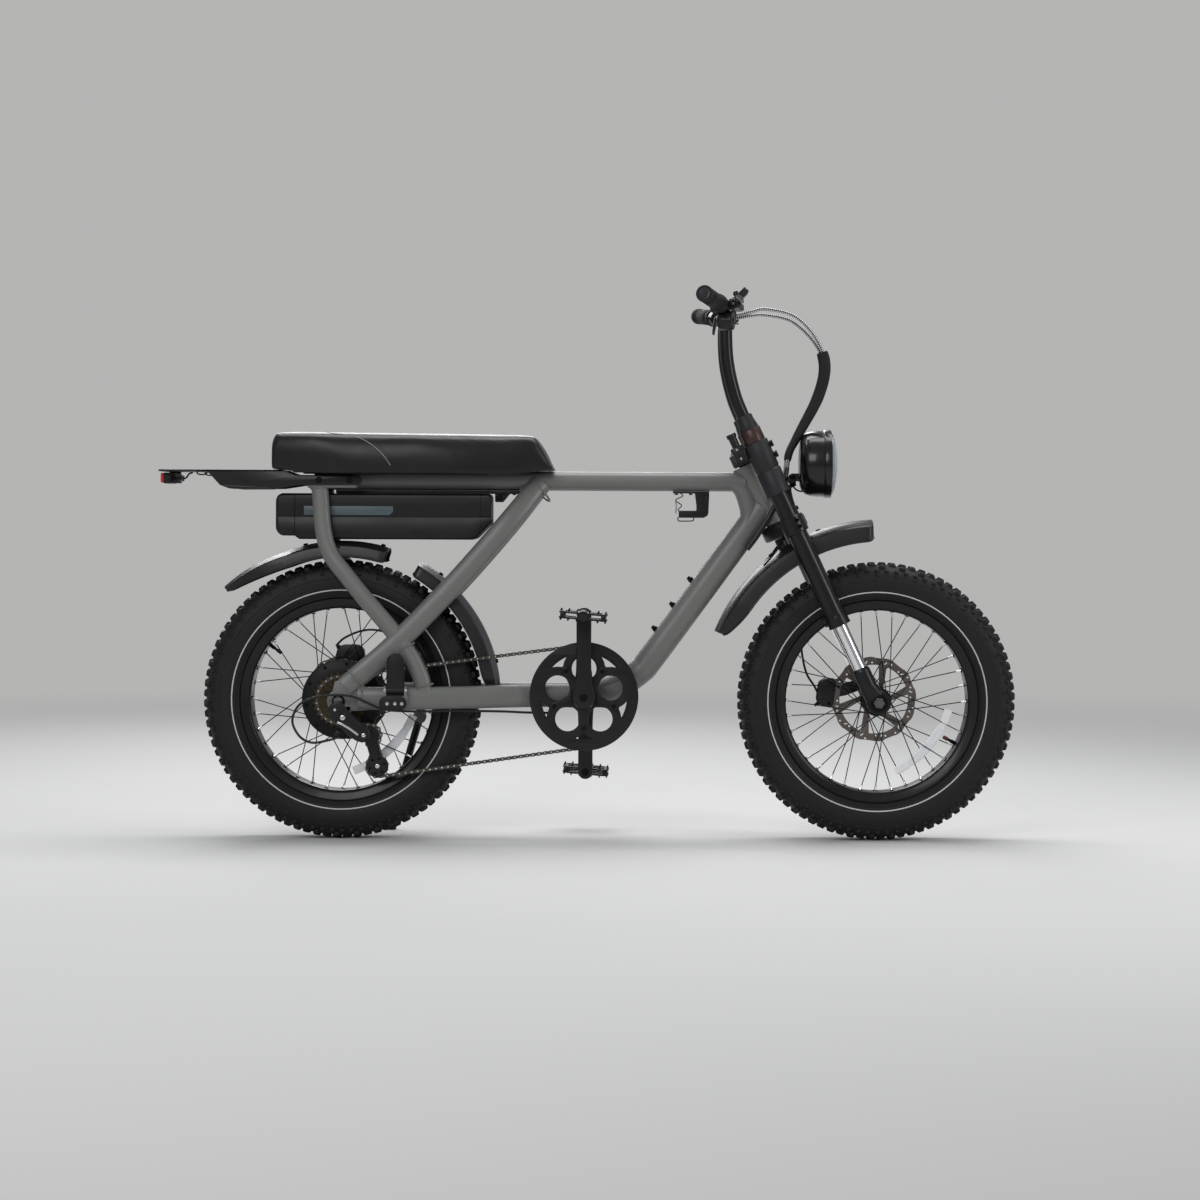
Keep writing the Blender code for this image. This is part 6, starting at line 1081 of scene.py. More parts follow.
left = [crank_arm(0.105, math.pi), turned([(0.0126, 0.0564), (0.018, 0.0564), (0.019, 0.0576), (0.019, 0.101),
    (0.0126, 0.101)], hollow=True), (*shifted(turned([(0.006, 0.116), (0.007, 0.115), (0.007, 0.2),
    (0.006, 0.201)], 24), (0, 0, -CRANK)), 1), bolt(0.008, 0.0014, (0, 0.0982, -CRANK), (0, -1, 0), 20),
    bolt(0.0085, 0.0016, (0, 0.112, 0), (0, 1, 0), 20, mark=2)]
piece("crank_left", at_wheel(left, CRANK_SPOT), [crank_black, steel_black, steel_black], "crankset")


def platform(side):
    """A platform pedal: a cage with four windows, a barrel on the axle and grip pins."""
    front = np.array([(0.036, 0.118), (0.045, 0.124), (0.049, 0.133), (0.049, 0.197), (0.045, 0.206),
        (0.036, 0.212)])
    line = np.vstack([(front * (-1, 1))[2::-1], front, (front * (-1, 1))[:2:-1]])
    windows = [oval(0.026, 0.0335, 20, 5) + (x, y) for x in (-0.0265, 0.0265) for y in (0.14475, 0.18525)]
    parts = [sheet_cut([line, *windows], 0.004, 0.0012, "XY", z, 3) for z in (-0.0055, 0.0055)]
    parts += [slab((x - 0.005, y - 0.0062, -0.005), (x + 0.005, y + 0.0062, 0.005), 0.0008)
        for x in (-0.0415, 0.0415) for y in (0.1255, 0.2045)]
    parts += [turned([(0.0072, 0.1182), (0.01, 0.1182), (0.0108, 0.1195), (0.0108, 0.2105), (0.01, 0.212),
        (0.002, 0.212)], 24)]
    pin = turned([(0.0017, -0.001), (0.0017, 0.0032), (0.0012, 0.0042)], 8, "Z")
    for x in (-0.0455, -0.03, -0.0125, 0.0125, 0.03, 0.0455):
        for y in (0.1265, 0.2035) if abs(x) < 0.04 else (0.142, 0.165, 0.188):
            parts += [(*aimed(pin, (x, y, 0.0075), (0, 0, 1)), 1),
                (*aimed(pin, (x, y, -0.0075), (0, 0, -1)), 1)]
    parts = [(shifted(part[:2], turn=math.radians(5))[0], *part[1:]) for part in parts]
    if side < 0:
        parts = [(*mirrored(part[:2]), *part[2:]) for part in parts]
    return [(part[0] + (0, 0, -side * CRANK), *part[1:]) for part in parts]


piece("pedal_right", at_wheel(platform(-1), CRANK_SPOT), [guide_black, steel_black], "right_pedal")
piece("pedal_left", at_wheel(platform(1), CRANK_SPOT), [guide_black, steel_black], "left_pedal")

cluster = [turned([(0.0204, -0.09), (0.0216, -0.09), (0.0225, -0.089), (0.0225, -0.0556), (0.0204, -0.0556)],
    hollow=True)]
for k, teeth in enumerate((28, 24, 22, 20, 18, 16, 14)):
    phase = first_pin(0) if teeth == COG_TEETH else 0.1 * k
    holes = [ring_of(0.0214, 40)]
    if teeth > 20:
        reach = chain_radius(teeth) - 0.011
        holes += [ring_of(0.0042, 12, (reach * math.cos(a), reach * math.sin(a)))
            for a in np.arange(8) * math.pi / 4 + 0.2 * k]
    cluster.append(sheet_cut([cog(teeth, phase), *holes], 0.0018, 0.0003, at=CHAIN_PLANE - 0.005 * (k - 1),
        steps=1))
piece("freewheel", at_wheel(cluster, REAR_CENTRE), sprocket_steel, "freewheel_cluster")

for word, spot, index in (("lower", LOW_JOCKEY, 2), ("upper", HIGH_JOCKEY, 3)):
    wheel = [sheet_cut([cog(GUIDE_TEETH, first_pin(index)), ring_of(0.005, 20)], 0.0022, at=CHAIN_PLANE),
        turned([(0.0034, -0.0668), (0.006, -0.067), (0.0068, -0.0662), (0.0068, -0.0578), (0.006, -0.057),
        (0.0034, -0.0572)], 24, hollow=True)]
    piece(word + "_jockey_wheel", at_wheel(wheel, (spot[0], 0, spot[1])), guide_black, word + "_jockey")

low, high = np.array(LOW_JOCKEY), np.array(HIGH_JOCKEY)
fall = (low - high) / np.linalg.norm(low - high)
across = np.array((-fall[1], fall[0]))
length = np.linalg.norm(low - high)
cage_half = np.array([(0, -0.0125), (0.011, -0.005), (0.012, 0.01), (0.011, length - 0.022),
    (0.02, length - 0.012), (0.0232, length), (0.018, length + 0.014), (0, length + 0.0236)])
cage_line = high + np.vstack([cage_half * (-1, 1), cage_half[-2:0:-1]]) @ np.stack([across, fall])
cage_cuts = [ring_of(0.0032, 14, low + polar(0.0155, a)) for a in (20, 75, 130, 200, 255, 310)]
lean = math.degrees(math.atan2(fall[1], fall[0]))
inner_line = np.vstack([ring_of(0.0118, 12, high, lean + 90, lean + 270),
    ring_of(0.0118, 12, low, lean - 90, lean + 90)])
cage = [
    sheet_cut([flowing(cage_line, 4, True), *cage_cuts], 0.0016, at=-0.0683),
    sheet_cut([inner_line], 0.0015, at=-0.0558),
    turned([(0.008, -0.0733), (0.009, -0.0725), (0.009, -0.069), (0.008, -0.0684)], 24, "Y", CAGE_PIVOT),
]
for spot in (LOW_JOCKEY, HIGH_JOCKEY):
    cage += [(*turned([(0.0026, -0.0688), (0.003, -0.068), (0.003, -0.055), (0.0026, -0.0546)], 16, "Y",
        (spot[0], 0, spot[1])), 1), bolt(0.0046, 0.0022, (spot[0], -0.069, spot[1]), (0, -1, 0), 16)]
piece("derailleur_cage", cage, [crank_black, bright_bolt], "tension_cage")

shield = [(-0.014, 0.284), (0.0, 0.2905), (0.012, 0.287), (0.022, 0.274), (0.04, 0.256), (0.062, 0.237),
    (0.067, 0.223), (0.06, 0.211), (0.045, 0.2085), (0.027, 0.219), (0.006, 0.238), (-0.01, 0.256),
    (-0.017, 0.272)]
link_low = [(0.0, 0.244), (0.018, 0.229), (0.04, 0.213), (0.05, 0.215), (0.052, 0.225), (0.032, 0.24),
    (0.012, 0.256)]
gear = [sheet_cut([flowing(shield, 4, True)], 0.009, 0.003, at=-0.13, steps=4),
    sheet_cut([flowing(link_low, 4, True)], 0.008, 0.002, at=-0.119, steps=3),
    turned([(0.0095, -0.135), (0.0105, -0.134), (0.0105, -0.1045), (0.0095, -0.1036)], 32, "Y",
    (0.012, 0, 0.258)), turned([(0.01, -0.131), (0.011, -0.13), (0.011, -0.0743), (0.01, -0.0736)], 32, "Y",
    CAGE_PIVOT), turned(shaft(0.0138, -0.096, -0.078, 0.001, 0.001), 32, "Y", CAGE_PIVOT),
    bolt(0.0052, 0.0024, (0.012, -0.1346, 0.258), (0, -1, 0), 18),
    bolt(0.0042, 0.0022, (0.055, -0.1345, 0.222), (0, -1, 0), 16),
    bolt(0.003, 0.002, (-0.004, -0.1345, 0.274), (0, -1, 0), 12)]
strip = flowing([(0.001, -0.1352, 0.248), (0.012, -0.1354, 0.244), (0.028, -0.1354, 0.2345),
    (0.044, -0.1352, 0.223)])
gear.append((*carried(strip, oval(0.0016, 0.0046, 12, 3)), 1))
adjuster = turned([(0.003, 0), (0.0045, 0.001), (0.0045, 0.009), (0.003, 0.01), (0.0028, 0.014)], 14, "Z")
gear.append(aimed(adjuster, (0.005, -0.125, 0.23), (-0.8, 0, -0.6)))
piece("derailleur_body", gear, [crank_black, bright_bolt], "frame")


# Brakes: a cast hydraulic caliper straddles each disc on a bolted bracket, with a
# piston cap on its face and a thin black hose that leaves it through a banjo fitting.
def brake_body(disc_y, inner, outer):
    """Two rounded halves either side of the disc under a bridge, with bolts and cap."""
    side = [(0.022, -0.018), (0.0285, -0.0165), (0.031, -0.011), (0.0285, 0.006), (0.02, 0.0165),
        (0.014, 0.018)]
    half = np.vstack([side, (np.array(side) * (-1, 1))[::-1]])
    bridge = np.vstack([half[3:9], [(-0.029, 0.0062), (0.029, 0.0062)]])
    parts = []
    for low, high in ((inner, disc_y - 0.0026), (disc_y + 0.0026, outer)):
        parts.append(sheet_cut([half], high - low, 0.0018, at=(low + high) / 2, steps=3))
    parts.append(sheet_cut([bridge], outer - inner - 0.004, 0.001, at=(inner + outer) / 2))
    for way, face in ((-1, inner), (1, outer)):
        parts.append(standing([(0.0118, 0), (0.0112, 0.0016), (0.0065, 0.0018), (0.006, 0.0006)], 28,
            (0, face - way * 0.0004, -0.002), (0, way, 0), 0))
        for x in (-0.0225, 0.0225):
            parts.append(bolt(0.0036, 0.003, (x, face - way * 0.0004, -0.0095), (0, way, 0)))
    parts.append(standing([(0.0044, 0), (0.005, 0.001), (0.005, 0.006), (0.0036, 0.007), (0.0032, 0.012)], 14,
        (-0.0245, (disc_y + outer) / 2 + 0.002, 0.01), (-0.6, 0, 0.8)))
    return parts


def placed(parts, spot, turn):
    """Surfaces turned about Y and moved to a spot on the bike's side."""
    return [(shifted(part[:2], (spot[0], 0, spot[1]), turn)[0], *part[1:]) for part in parts]


hose_black = finish("hose_black", (0.01, 0.01, 0.011), 0.45, grain=1500, relief=0.05, coat=0.1)
rear_brake = placed(brake_body(0.062, 0.045, 0.075), (0.01, 0.381), 0.0)
rear_plate = [(-0.02, 0.39), (-0.027, 0.368), (-0.0295, 0.35), (-0.026, 0.33), (-0.024, 0.318), (-0.012, 0.322),
    (-0.006, 0.338), (0.01, 0.352), (0.018, 0.366), (0.018, 0.39)]
rear_brake += [sheet_cut([rear_plate], 0.01, 0.0012, at=0.0797),
    sheet_cut([[(-0.027, 0.2965), (-0.0115, 0.2965), (-0.0105, 0.33), (-0.004, 0.342), (-0.018, 0.352),
    (-0.0295, 0.344)]], 0.009, 0.0012, at=0.0902)]
for x, z in ((-0.0135, 0.386), (0.0125, 0.37)):
    rear_brake.append(bolt(0.0042, 0.0034, (x, 0.0846, z), (0, 1, 0)))
hose = flowing([(-0.02, 0.0705, 0.4), (-0.006, 0.0715, 0.413), (0.0188, 0.0725, 0.425), (0.0377, 0.073, 0.43),
    (0.0565, 0.073, 0.431), (0.0816, 0.072, 0.426), (0.104, 0.07, 0.412)])
rear_brake.append(rod(hose, 0.0048, 12, mark=2))
piece("rear_caliper", rear_brake, [crank_black, steel_black, hose_black], "frame")
front_spot = steered([(-0.0455, 0, 0.056)])[0]
front_turn = math.radians(-57) - HEAD_TILT
front_brake = placed(brake_body(0.058, 0.041, 0.07), (front_spot[0], front_spot[2]), front_turn)
bracket = [(-0.044, 0.044), (-0.03, 0.036), (-0.01, 0.031), (0.0175, 0.029), (0.0175, 0.053), (-0.008, 0.058),
    (-0.03, 0.066), (-0.044, 0.066)]
front_brake += in_steering([sheet_cut([bracket], 0.0072, 0.0012, at=0.0698)])
for x, z in ((-0.036, 0.05), (-0.016, 0.044)):
    front_brake += in_steering([bolt(0.0042, 0.0034, (x, 0.073, z), (0, 1, 0))])
hose = flowing([(0.996, 0.065, 0.302), (0.988, 0.068, 0.318), (0.974, 0.078, 0.34), (0.966, 0.09, 0.371),
    (0.964, 0.1, 0.405), (0.98, 0.108, 0.448), (1.0, 0.11, 0.49), (0.995, 0.11, 0.535)])
front_brake.append(rod(hose, 0.0048, 12, mark=2))
piece("front_caliper", front_brake, [crank_black, steel_black, hose_black], "fork_slider")


# The battery: a lithium pack in a moulded black case with rounded ends and a groove down
# either side. It slides forward out of a folded dock that is bolted under the beam.
def battery_half(x, low, high, half):
    """One ring of the case for each x: quarter circles at the edges join fixed heights
    up the side, where the groove draws the wall in; the other side is its mirror."""
    edge = 0.006
    turn = np.linspace(0, math.pi / 2, 5)
    under = np.stack([half[:, None] - edge * (1 - np.sin(turn)), low[:, None] + edge * (1 - np.cos(turn))],
        axis=-1)
    over = np.stack([half[:, None] - edge * (1 - np.cos(turn)), high[:, None] - edge * (1 - np.sin(turn))],
        axis=-1)
    levels = np.array(((0.6685, 0.0), (0.6692, 0.0003), (0.6696, 0.0012), (0.6713, 0.0012), (0.6717, 0.0003),
        (0.6724, 0.0)))
    wall = np.stack([half[:, None] - levels[:, 1], np.broadcast_to(levels[:, 0], (len(x), len(levels)))],
        axis=-1)
    side = np.concatenate([under, wall, over], axis=1)
    ring = np.concatenate([side, side[:, ::-1] * (-1, 1)], axis=1)
    return np.concatenate([np.broadcast_to(x[:, None, None], (*ring.shape[:2], 1)), ring], axis=2)


corner = np.linspace(0, math.pi / 2, 9)
SEAMS = (-0.098, 0.288)
CASE_HALF = 0.0445
seams = [seam + step for seam in SEAMS for step in (-0.0006, -0.0003, 0.0003, 0.0006)]
rear_rows = -0.122 - 0.0158 * np.cos(corner)
rows = np.unique(np.round(np.concatenate([rear_rows, np.linspace(-0.118, 0.27, 40), [-0.099, -0.089], seams,
    np.linspace(0.2705, 0.3105, 14)]), 5))
high = 0.7025 + np.sqrt(np.maximum(0.016**2 - np.minimum(rows + 0.122, 0) ** 2, 0))
high -= 0.006 * np.maximum((rows - 0.3045) / 0.006, 0) ** 2
low = 0.648 - np.sqrt(np.maximum(0.018**2 - np.minimum(rows + 0.12, 0) ** 2, 0))
low = np.where(rows > -0.099, 0.63 - 0.007 * np.clip((rows + 0.099) / 0.01, 0, 1), low)
low += 0.003 * np.clip((rows - 0.2705) / 0.01, 0, 1) + 0.031 * np.clip((rows - 0.2805) / 0.03, 0, 1)
case_half = CASE_HALF - 0.006 * (1 - np.sqrt(1 - np.clip((-0.13 - rows) / 0.009, 0, 1) ** 2))
in_seam = np.isin(rows, np.round([seam + step for seam in SEAMS for step in (-0.0003, 0.0003)], 5)) * 0.0009
case = skin(battery_half(rows, low + in_seam, high - in_seam, case_half - in_seam))
case_black = finish("case_black", (0.007, 0.007, 0.0078), 0.4, grain=1300, relief=0.07, coat=0.05)
stripe_blue = finish("stripe_blue", (0.055, 0.08, 0.092), 0.4, grain=1400, relief=0.03, tint=0.1)
signal_red = finish("signal_red", (0.52, 0.012, 0.016), 0.22, relief=0.02, coat=0.5)
parts = [case, slab((-0.013, -0.0118, 0.716), (0.3005, 0.0118, 0.722), 0.0015)]
band = [(-0.079, 0.6735), (0.098, 0.6735), (0.106, 0.68), (0.106, 0.692), (-0.079, 0.692)]
for side in (-1, 1):
    parts.append((*sheet_cut([band], 0.0005, 0.0001, at=side * CASE_HALF), 1))
parts.append((*slab((-0.1386, -0.01, 0.682), (-0.137, 0.01, 0.697), 0.0004), 2))
for z in (0.656, 0.662):
    parts.append(slab((0.309, -0.02, z), (0.3118, 0.02, z + 0.0025), 0.0008))
piece("battery_pack", parts, [case_black, stripe_blue, signal_red], "battery")

channel = [(-0.022, 0.7189), (-0.0132, 0.7189), (-0.0132, 0.723), (0.0132, 0.723), (0.0132, 0.7189),
    (0.022, 0.7189), (0.022, 0.725), (0.0212, 0.7257), (-0.0212, 0.7257), (-0.022, 0.725)]
run = np.array(((-0.015, 0, 0), (0.15, 0, 0), (0.3115, 0, 0)))
dock = [carried(run, channel), slab((0.3113, -0.022, 0.7189), (0.3685, 0.022, 0.7257), 0.001),
    sheet_cut([[(0.3165, 0.7237), (0.3165, 0.7037), (0.318, 0.7017), (0.3325, 0.7017), (0.3505, 0.7237)]],
    0.036, 0.002, steps=3)]
for x in (0.335, 0.356):
    for y in (-0.0165, 0.0165):
        dock.append(bolt(0.003, 0.0024, (x, y, 0.7191), (0, 0, -1)))
dock.append(standing([(0.0075, 0), (0.0075, 0.0016), (0.0066, 0.0022), (0.003, 0.0022), (0.0024, 0.001)], 28,
    (0.3255, -0.0178, 0.7125), (0, -1, 0)))
piece("battery_dock", dock, [case_black, steel_black], "frame")


# The utility bracket: a thick bent plate bolted under the beam, with a thin wire hook
# below its foot and a short zig-zag of spring wire at the open side of its jaw.
under_beam = 0.7257
jaw = [(0.688, 0), (0.688, -0.004), (0.7325, -0.004), (0.734, -0.0055), (0.737, -0.03), (0.737, -0.0385),
    (0.7355, -0.04), (0.7015, -0.04), (0.7, -0.0415), (0.7, -0.0535), (0.7015, -0.055), (0.752, -0.055),
    (0.76, -0.0505), (0.762, -0.045), (0.7635, -0.01), (0.7635, 0)]
jaw = np.array(jaw) + (0, under_beam)
bracket_parts = [sheet_cut([jaw], 0.024, 0.0014, steps=3),
    sheet_cut([[(0.7545, 0.684), (0.757, 0.716), (0.7595, 0.716), (0.7575, 0.684)]], 0.0246, 0.0003)]
hook = [(0.6985, 0, -0.053), (0.699, 0, -0.0605), (0.704, 0, -0.0618), (0.72, 0, -0.0618), (0.73, 0, -0.0605),
    (0.732, 0, -0.053)]
hook = flowing(hook) + (0, -0.009, under_beam)
bracket_parts.append(rod(hook, 0.0024, 10))
kinks = np.array(((0.699, 0.725), (0.7085, 0.7165), (0.693, 0.7075), (0.706, 0.697), (0.699, 0.688),
    (0.7025, 0.683)))
spring = flowing(np.stack([kinks[:, 0], np.full(6, -0.0075), kinks[:, 1]], axis=1), 5)
bracket_parts.append(rod(spring, 0.0022, 10))
clip = [(0.6935, -0.0085, 0.7045), (0.695, -0.0085, 0.695), (0.6935, -0.0085, 0.68)]
bracket_parts.append((*carried(flowing(clip), oval(0.008, 0.0034, 14, 3)), 2))
for x in (0.695, 0.725):
    bracket_parts.append(bolt(0.0038, 0.003, (x, 0.0, under_beam - 0.0042), (0, 0, -1)))
piece("utility_bracket", bracket_parts, [case_black, steel_black, chrome], "frame")


# The rear rack: a sheet-steel deck with two long slots, folded side plates bolted to
# the beam, and a small lamp on a block under its rear edge.
rack_black = finish("rack_black", (0.0085, 0.0085, 0.009), 0.36, grain=1600, relief=0.05, coat=0.1)
deck = np.vstack([ring_of(0.014, 8, (-0.365, 0.0603), 180, 90), [(-0.126, 0.0743), (-0.126, -0.0743)],
                  ring_of(0.014, 8, (-0.365, -0.0603), 270, 180)])
slots = [np.vstack([ring_of(0.012, 10, (-0.175, y), -90, 90), ring_of(0.012, 10, (-0.344, y), 90, 270)])
    for y in (-0.036, 0.036)]
rack = [sheet_cut([deck, *slots], 0.004, 0.001, "XY", 0.7645, 3)]
cheek = np.vstack([[(-0.3, 0.766), (-0.3, 0.7635), (-0.2745, 0.7615), (-0.2495, 0.7345), (-0.235, 0.729),
    (-0.218, 0.727), (-0.131, 0.7277), (-0.088, 0.7346)], ring_of(0.01, 10, (0.034, 0.7455), -90, 90),
    [(-0.094, 0.756), (-0.115, 0.7635), (-0.12, 0.766)]])
rib = [(-0.242, 0.7315), (-0.23, 0.7272), (-0.218, 0.7262), (-0.154, 0.7268), (-0.149, 0.73), (-0.238, 0.7345)]
for side in (-1, 1):
    rack += [sheet_cut([cheek], 0.004, 0.0008, at=side * 0.0763),
        sheet_cut([rib], 0.0056, 0.0012, at=side * 0.0763),
        slab((-0.299, side * 0.07, 0.7615), (-0.12, side * 0.0783, 0.7665), 0.0014)]
    for x in (-0.045, 0.018):
        rack += [bolt(0.005, 0.003, (x, side * 0.078, 0.7455), (0, side, 0)),
            standing([(0.007, 0), (0.007, 0.0008), (0.0062, 0.001)], 24, (x, side * 0.0781, 0.7455),
            (0, side, 0))]
loop = flowing([(-0.3, 0, 0.7625), (-0.2975, 0, 0.7575), (-0.289, 0, 0.756), (-0.2805, 0, 0.7575),
    (-0.278, 0, 0.7625)], 5)
for y in (-0.06, 0.06):
    rack.append(rod(loop + (0, y, 0), 0.003, 10))
piece("rear_rack", rack, [rack_black, steel_black], "frame")

lamp = [slab((-0.3722, -0.04, 0.7375), (-0.356, 0.04, 0.76), 0.0022),
    slab((-0.357, -0.03, 0.742), (-0.338, 0.03, 0.756), 0.003),
    slab((-0.364, -0.012, 0.752), (-0.342, 0.012, 0.7624), 0.0015)]
for y in (-0.0265, -0.0135, 0.0, 0.0135, 0.0265):
    lamp.append(slab((-0.359, y - 0.0018, 0.7385), (-0.344, y + 0.0018, 0.759), 0.001))
for side in (-1, 1):
    lamp.append(bolt(0.004, 0.003, (-0.348, side * 0.0298, 0.749), (0, side, 0)))
lamp.append(rod(flowing([(-0.339, 0.006, 0.748), (-0.332, 0.01, 0.75), (-0.327, 0.016, 0.758),
    (-0.32, 0.02, 0.7612)]), 0.0036, 10))
piece("tail_light_housing", lamp, [case_black, steel_black], "frame")
prisms = np.linspace(-0.036, 0.036, 73)
swell = 0.0005 * (np.arange(73) % 2)
edge_in = 0.0016 * np.maximum(0, (np.abs(prisms) - 0.034) / 0.002)
levels = np.array((0.7393, 0.7396, 0.7404, 0.749, 0.7582, 0.759, 0.7593))
bulge = np.array((0.0016, 0.0008, 0.0002, 0.0, 0.0002, 0.0008, 0.0016))
face = np.stack(np.broadcast_arrays(-0.3788 + edge_in[:, None] + bulge + swell[:, None], prisms[:, None],
    levels), axis=-1)
back = face[:, ::-1] * (0, 1, 1) + (-0.3723, 0, 0)
red_lens = finish("red_lens", (0.6, 0.01, 0.014), 0.12, grain=800, relief=0.02, coat=0.6)
piece("tail_light_lens", [skin(np.concatenate([face, back], axis=1))], red_lens, "frame", crease=20)


# The seat: foam over a stiff pan, under a stitched synthetic leather cover. Gentle
# swelling comes from a cloth run; the piping is laid on the swollen surface afterwards.
SEAT_REAR = -0.144


def seat_half(x):
    """Half the seat's width: it narrows over the last 0.1 m and toward the nose."""
    rear = np.sin(np.clip((x - SEAT_REAR) / 0.1, 0, 1) * math.pi / 2)
    return 0.118 * (0.8 + 0.2 * rear) - 0.04 * np.maximum((x - 0.14) / 0.303, 0) ** 1.6


def pan_half(x):
    """Half the width of the pan under it, drawn in at its two ends."""
    rear = 0.006 * np.clip((-0.112 - x) / 0.006, 0, 1)
    front = 0.012 * np.clip((x - 0.373) / 0.012, 0, 1)
    return seat_half(x) - 0.0215 - rear - front


def seat_shell(rows, inset):
    """Cross rings along the seat: each runs up one side through the side profile, over
    the crown and down, then under along the bottom with the channel for the beam."""
    x = rows[:, None]
    half = seat_half(x) - inset
    nose = (x - 0.403) / 0.04
    top = 0.845 - 0.0055 * (x - SEAT_REAR) / 0.587 - 0.036 * (nose + np.sqrt(nose**2 + 0.01))
    top -= 0.02 * np.maximum((-0.133 - x) / 0.01, 0) ** 2.5 + inset
    lean = 0.13 * np.where(x < -0.03, np.maximum((x - SEAT_REAR) / 0.114, 0),
        np.maximum(1 - (x + 0.03) / 0.43, 0))
    low = 0.758 + 0.0093 * np.clip((-0.092 - x - lean) / 0.022, 0, 1)
    low = low + 0.0088 * np.clip((x - 0.34) / 0.08, 0, 1)
    share = np.array((0, 0.1, 0.22, 0.36, 0.5, 0.64, 0.76, 0.86, 0.92, 0.955, 0.975, 0.99, 0.996, 1.0))
    inward = np.array((0.004, 0.002, 0.0008, 0.0002, 0, 0.0008, 0.0028, 0.0065, 0.0125, 0.0215, 0, 0, 0, 0))
    width = half - inward
    width[:, 10:] = half * (0.62, 0.34, 0.16, 0.0)
    up = low + (top - low) * share
    right = np.stack([x + lean * (1 - share), -width, up], axis=-1)
    left = right[:, -2::-1] * (1, -1, 1)
    foot = (x + lean)[:, 0]
    edge = np.maximum(pan_half(foot) + 0.0018, 0.03)
    pocket = np.where((foot > -0.12) & (foot < 0.387), 0.7765, low[:, 0])
    tunnel = np.maximum(pocket, 0.767)
    skirt = low[:, 0]
    y = np.stack([(edge + width[:, 0]) / 2, edge + 0.0003, edge, edge / 2, 0 * edge + 0.0254, 0 * edge + 0.025,
        0 * edge], axis=1)
    z = np.stack([skirt, skirt, pocket, pocket, pocket, tunnel, tunnel], axis=1)
    floor = np.stack([foot[:, None] + 0 * y, y, z], axis=-1)
    floor = np.concatenate([floor, floor[:, -2::-1] * (1, -1, 1)], axis=1)
    return skin(np.concatenate([right, left, floor], axis=1))


ends = 0.01 * (1 - np.cos(np.linspace(0, math.pi / 2, 6)))
seat_rows = np.concatenate([-0.143 + ends, np.linspace(-0.125, 0.42, 80), 0.4415 - ends[::-1]])
seat = piece("seat_cushion", [seat_shell(seat_rows, 0.0022)], [], "frame", crease=180)
remesh = seat.modifiers.new("grid", "REMESH")
remesh.mode = "VOXEL"
remesh.voxel_size = 0.0045
smoothing = seat.modifiers.new("soften", "SMOOTH")
smoothing.factor = 0.5
smoothing.iterations = 2
view = bpy.context.evaluated_depsgraph_get()
even = bpy.data.meshes.new_from_object(seat.evaluated_get(view))
seat.modifiers.clear()
seat.data = even


def points_of(mesh):
    """The corner positions of a mesh as rows of x, y and z."""
    flat = np.empty(len(mesh.vertices) * 3)
    mesh.vertices.foreach_get("co", flat)
    return flat.reshape(-1, 3)


SWELL_LIMIT = 0.0045
CLOTH_FRAMES = 20
EVENING_ROUNDS = 45
rest = points_of(even)
cloth = seat.modifiers.new("cover", "CLOTH")
cloth.settings.quality = 5
cloth.settings.mass = 0.3
cloth.settings.use_pressure = True
cloth.settings.uniform_pressure_force = 4
cloth.settings.effector_weights.gravity = 0
cloth.point_cache.frame_start, cloth.point_cache.frame_end = 1, CLOTH_FRAMES
for frame_number in range(1, CLOTH_FRAMES + 1):
    bpy.context.scene.frame_set(frame_number)
view = bpy.context.evaluated_depsgraph_get()
swollen = bpy.data.meshes.new_from_object(seat.evaluated_get(view))
move = points_of(swollen) - rest
bpy.data.meshes.remove(swollen)
seat.modifiers.clear()
bpy.context.scene.frame_set(1)
far = np.linalg.norm(move, axis=1)[:, None]
held = np.clip((rest[:, 2:] - 0.772) / 0.03, 0, 1)
move *= np.minimum(1, SWELL_LIMIT / np.maximum(far, 1e-6)) * held * held * (3 - 2 * held)
ends_of = np.empty(len(even.edges) * 2, dtype=np.int32)
even.edges.foreach_get("vertices", ends_of)
one_end, other_end = ends_of.reshape(-1, 2).T
met = np.bincount(ends_of, minlength=len(rest))[:, None]
for _ in range(EVENING_ROUNDS):
    around = np.zeros_like(move)
    np.add.at(around, one_end, move[other_end])
    np.add.at(around, other_end, move[one_end])
    move = (move + around / met) / 2
even.vertices.foreach_set("co", (rest + move).ravel())
even.polygons.foreach_set("use_smooth", [True] * len(even.polygons))
finer = seat.modifiers.new("finer", "SUBSURF")
finer.levels = finer.render_levels = 1

# Cover: pebbles from a cell pattern whose colour is painted lighter at each cell's middle
# and darker toward its edge, as painted highlight and painted shade on the grain, while a
# broader noise shifts the gloss. The height is the noise less the distance in the cell.
leather, ins, outs = shader_group(
    "pebbled_cover", {"Color": (0.03, 0.03, 0.03, 1), "Roughness": 0.45, "Cell size": 700.0},
)
where = add(leather, "TexCoord")
cells = add(leather, "TexVoronoi", feature="SMOOTH_F1")
creases = add(leather, "TexNoise", {"Scale": 22, "Detail": 5})
# Painted light and shade: the colour is lifted at each pebble's middle and darkened in the hollows between
# pebbles.
hollow = add(leather, "MapRange", {"From Max": 0.7, "To Min": 1.08, "To Max": 0.86})
worn = add(leather, "MapRange", {"To Min": -0.09, "To Max": 0.09})
shade = add(leather, "VectorMath", operation="SCALE")
dull = add(leather, "Math")
lift = add(leather, "Math", operation="SUBTRACT")
wire(leather, (where, "Object", cells, "Vector"), (where, "Object", creases, "Vector"),
    (ins, "Cell size", cells, "Scale"), (cells, "Distance", hollow, "Value"), (creases, "Fac", worn, "Value"),
    (ins, "Color", shade, 0), (hollow, "Result", shade, "Scale"), (ins, "Roughness", dull, 0),
    (worn, "Result", dull, 1), (creases, "Fac", lift, 0), (cells, "Distance", lift, 1),
    (shade, "Vector", outs, "Color"), (dull, "Value", outs, "Roughness"), (lift, "Value", outs, "Height"))
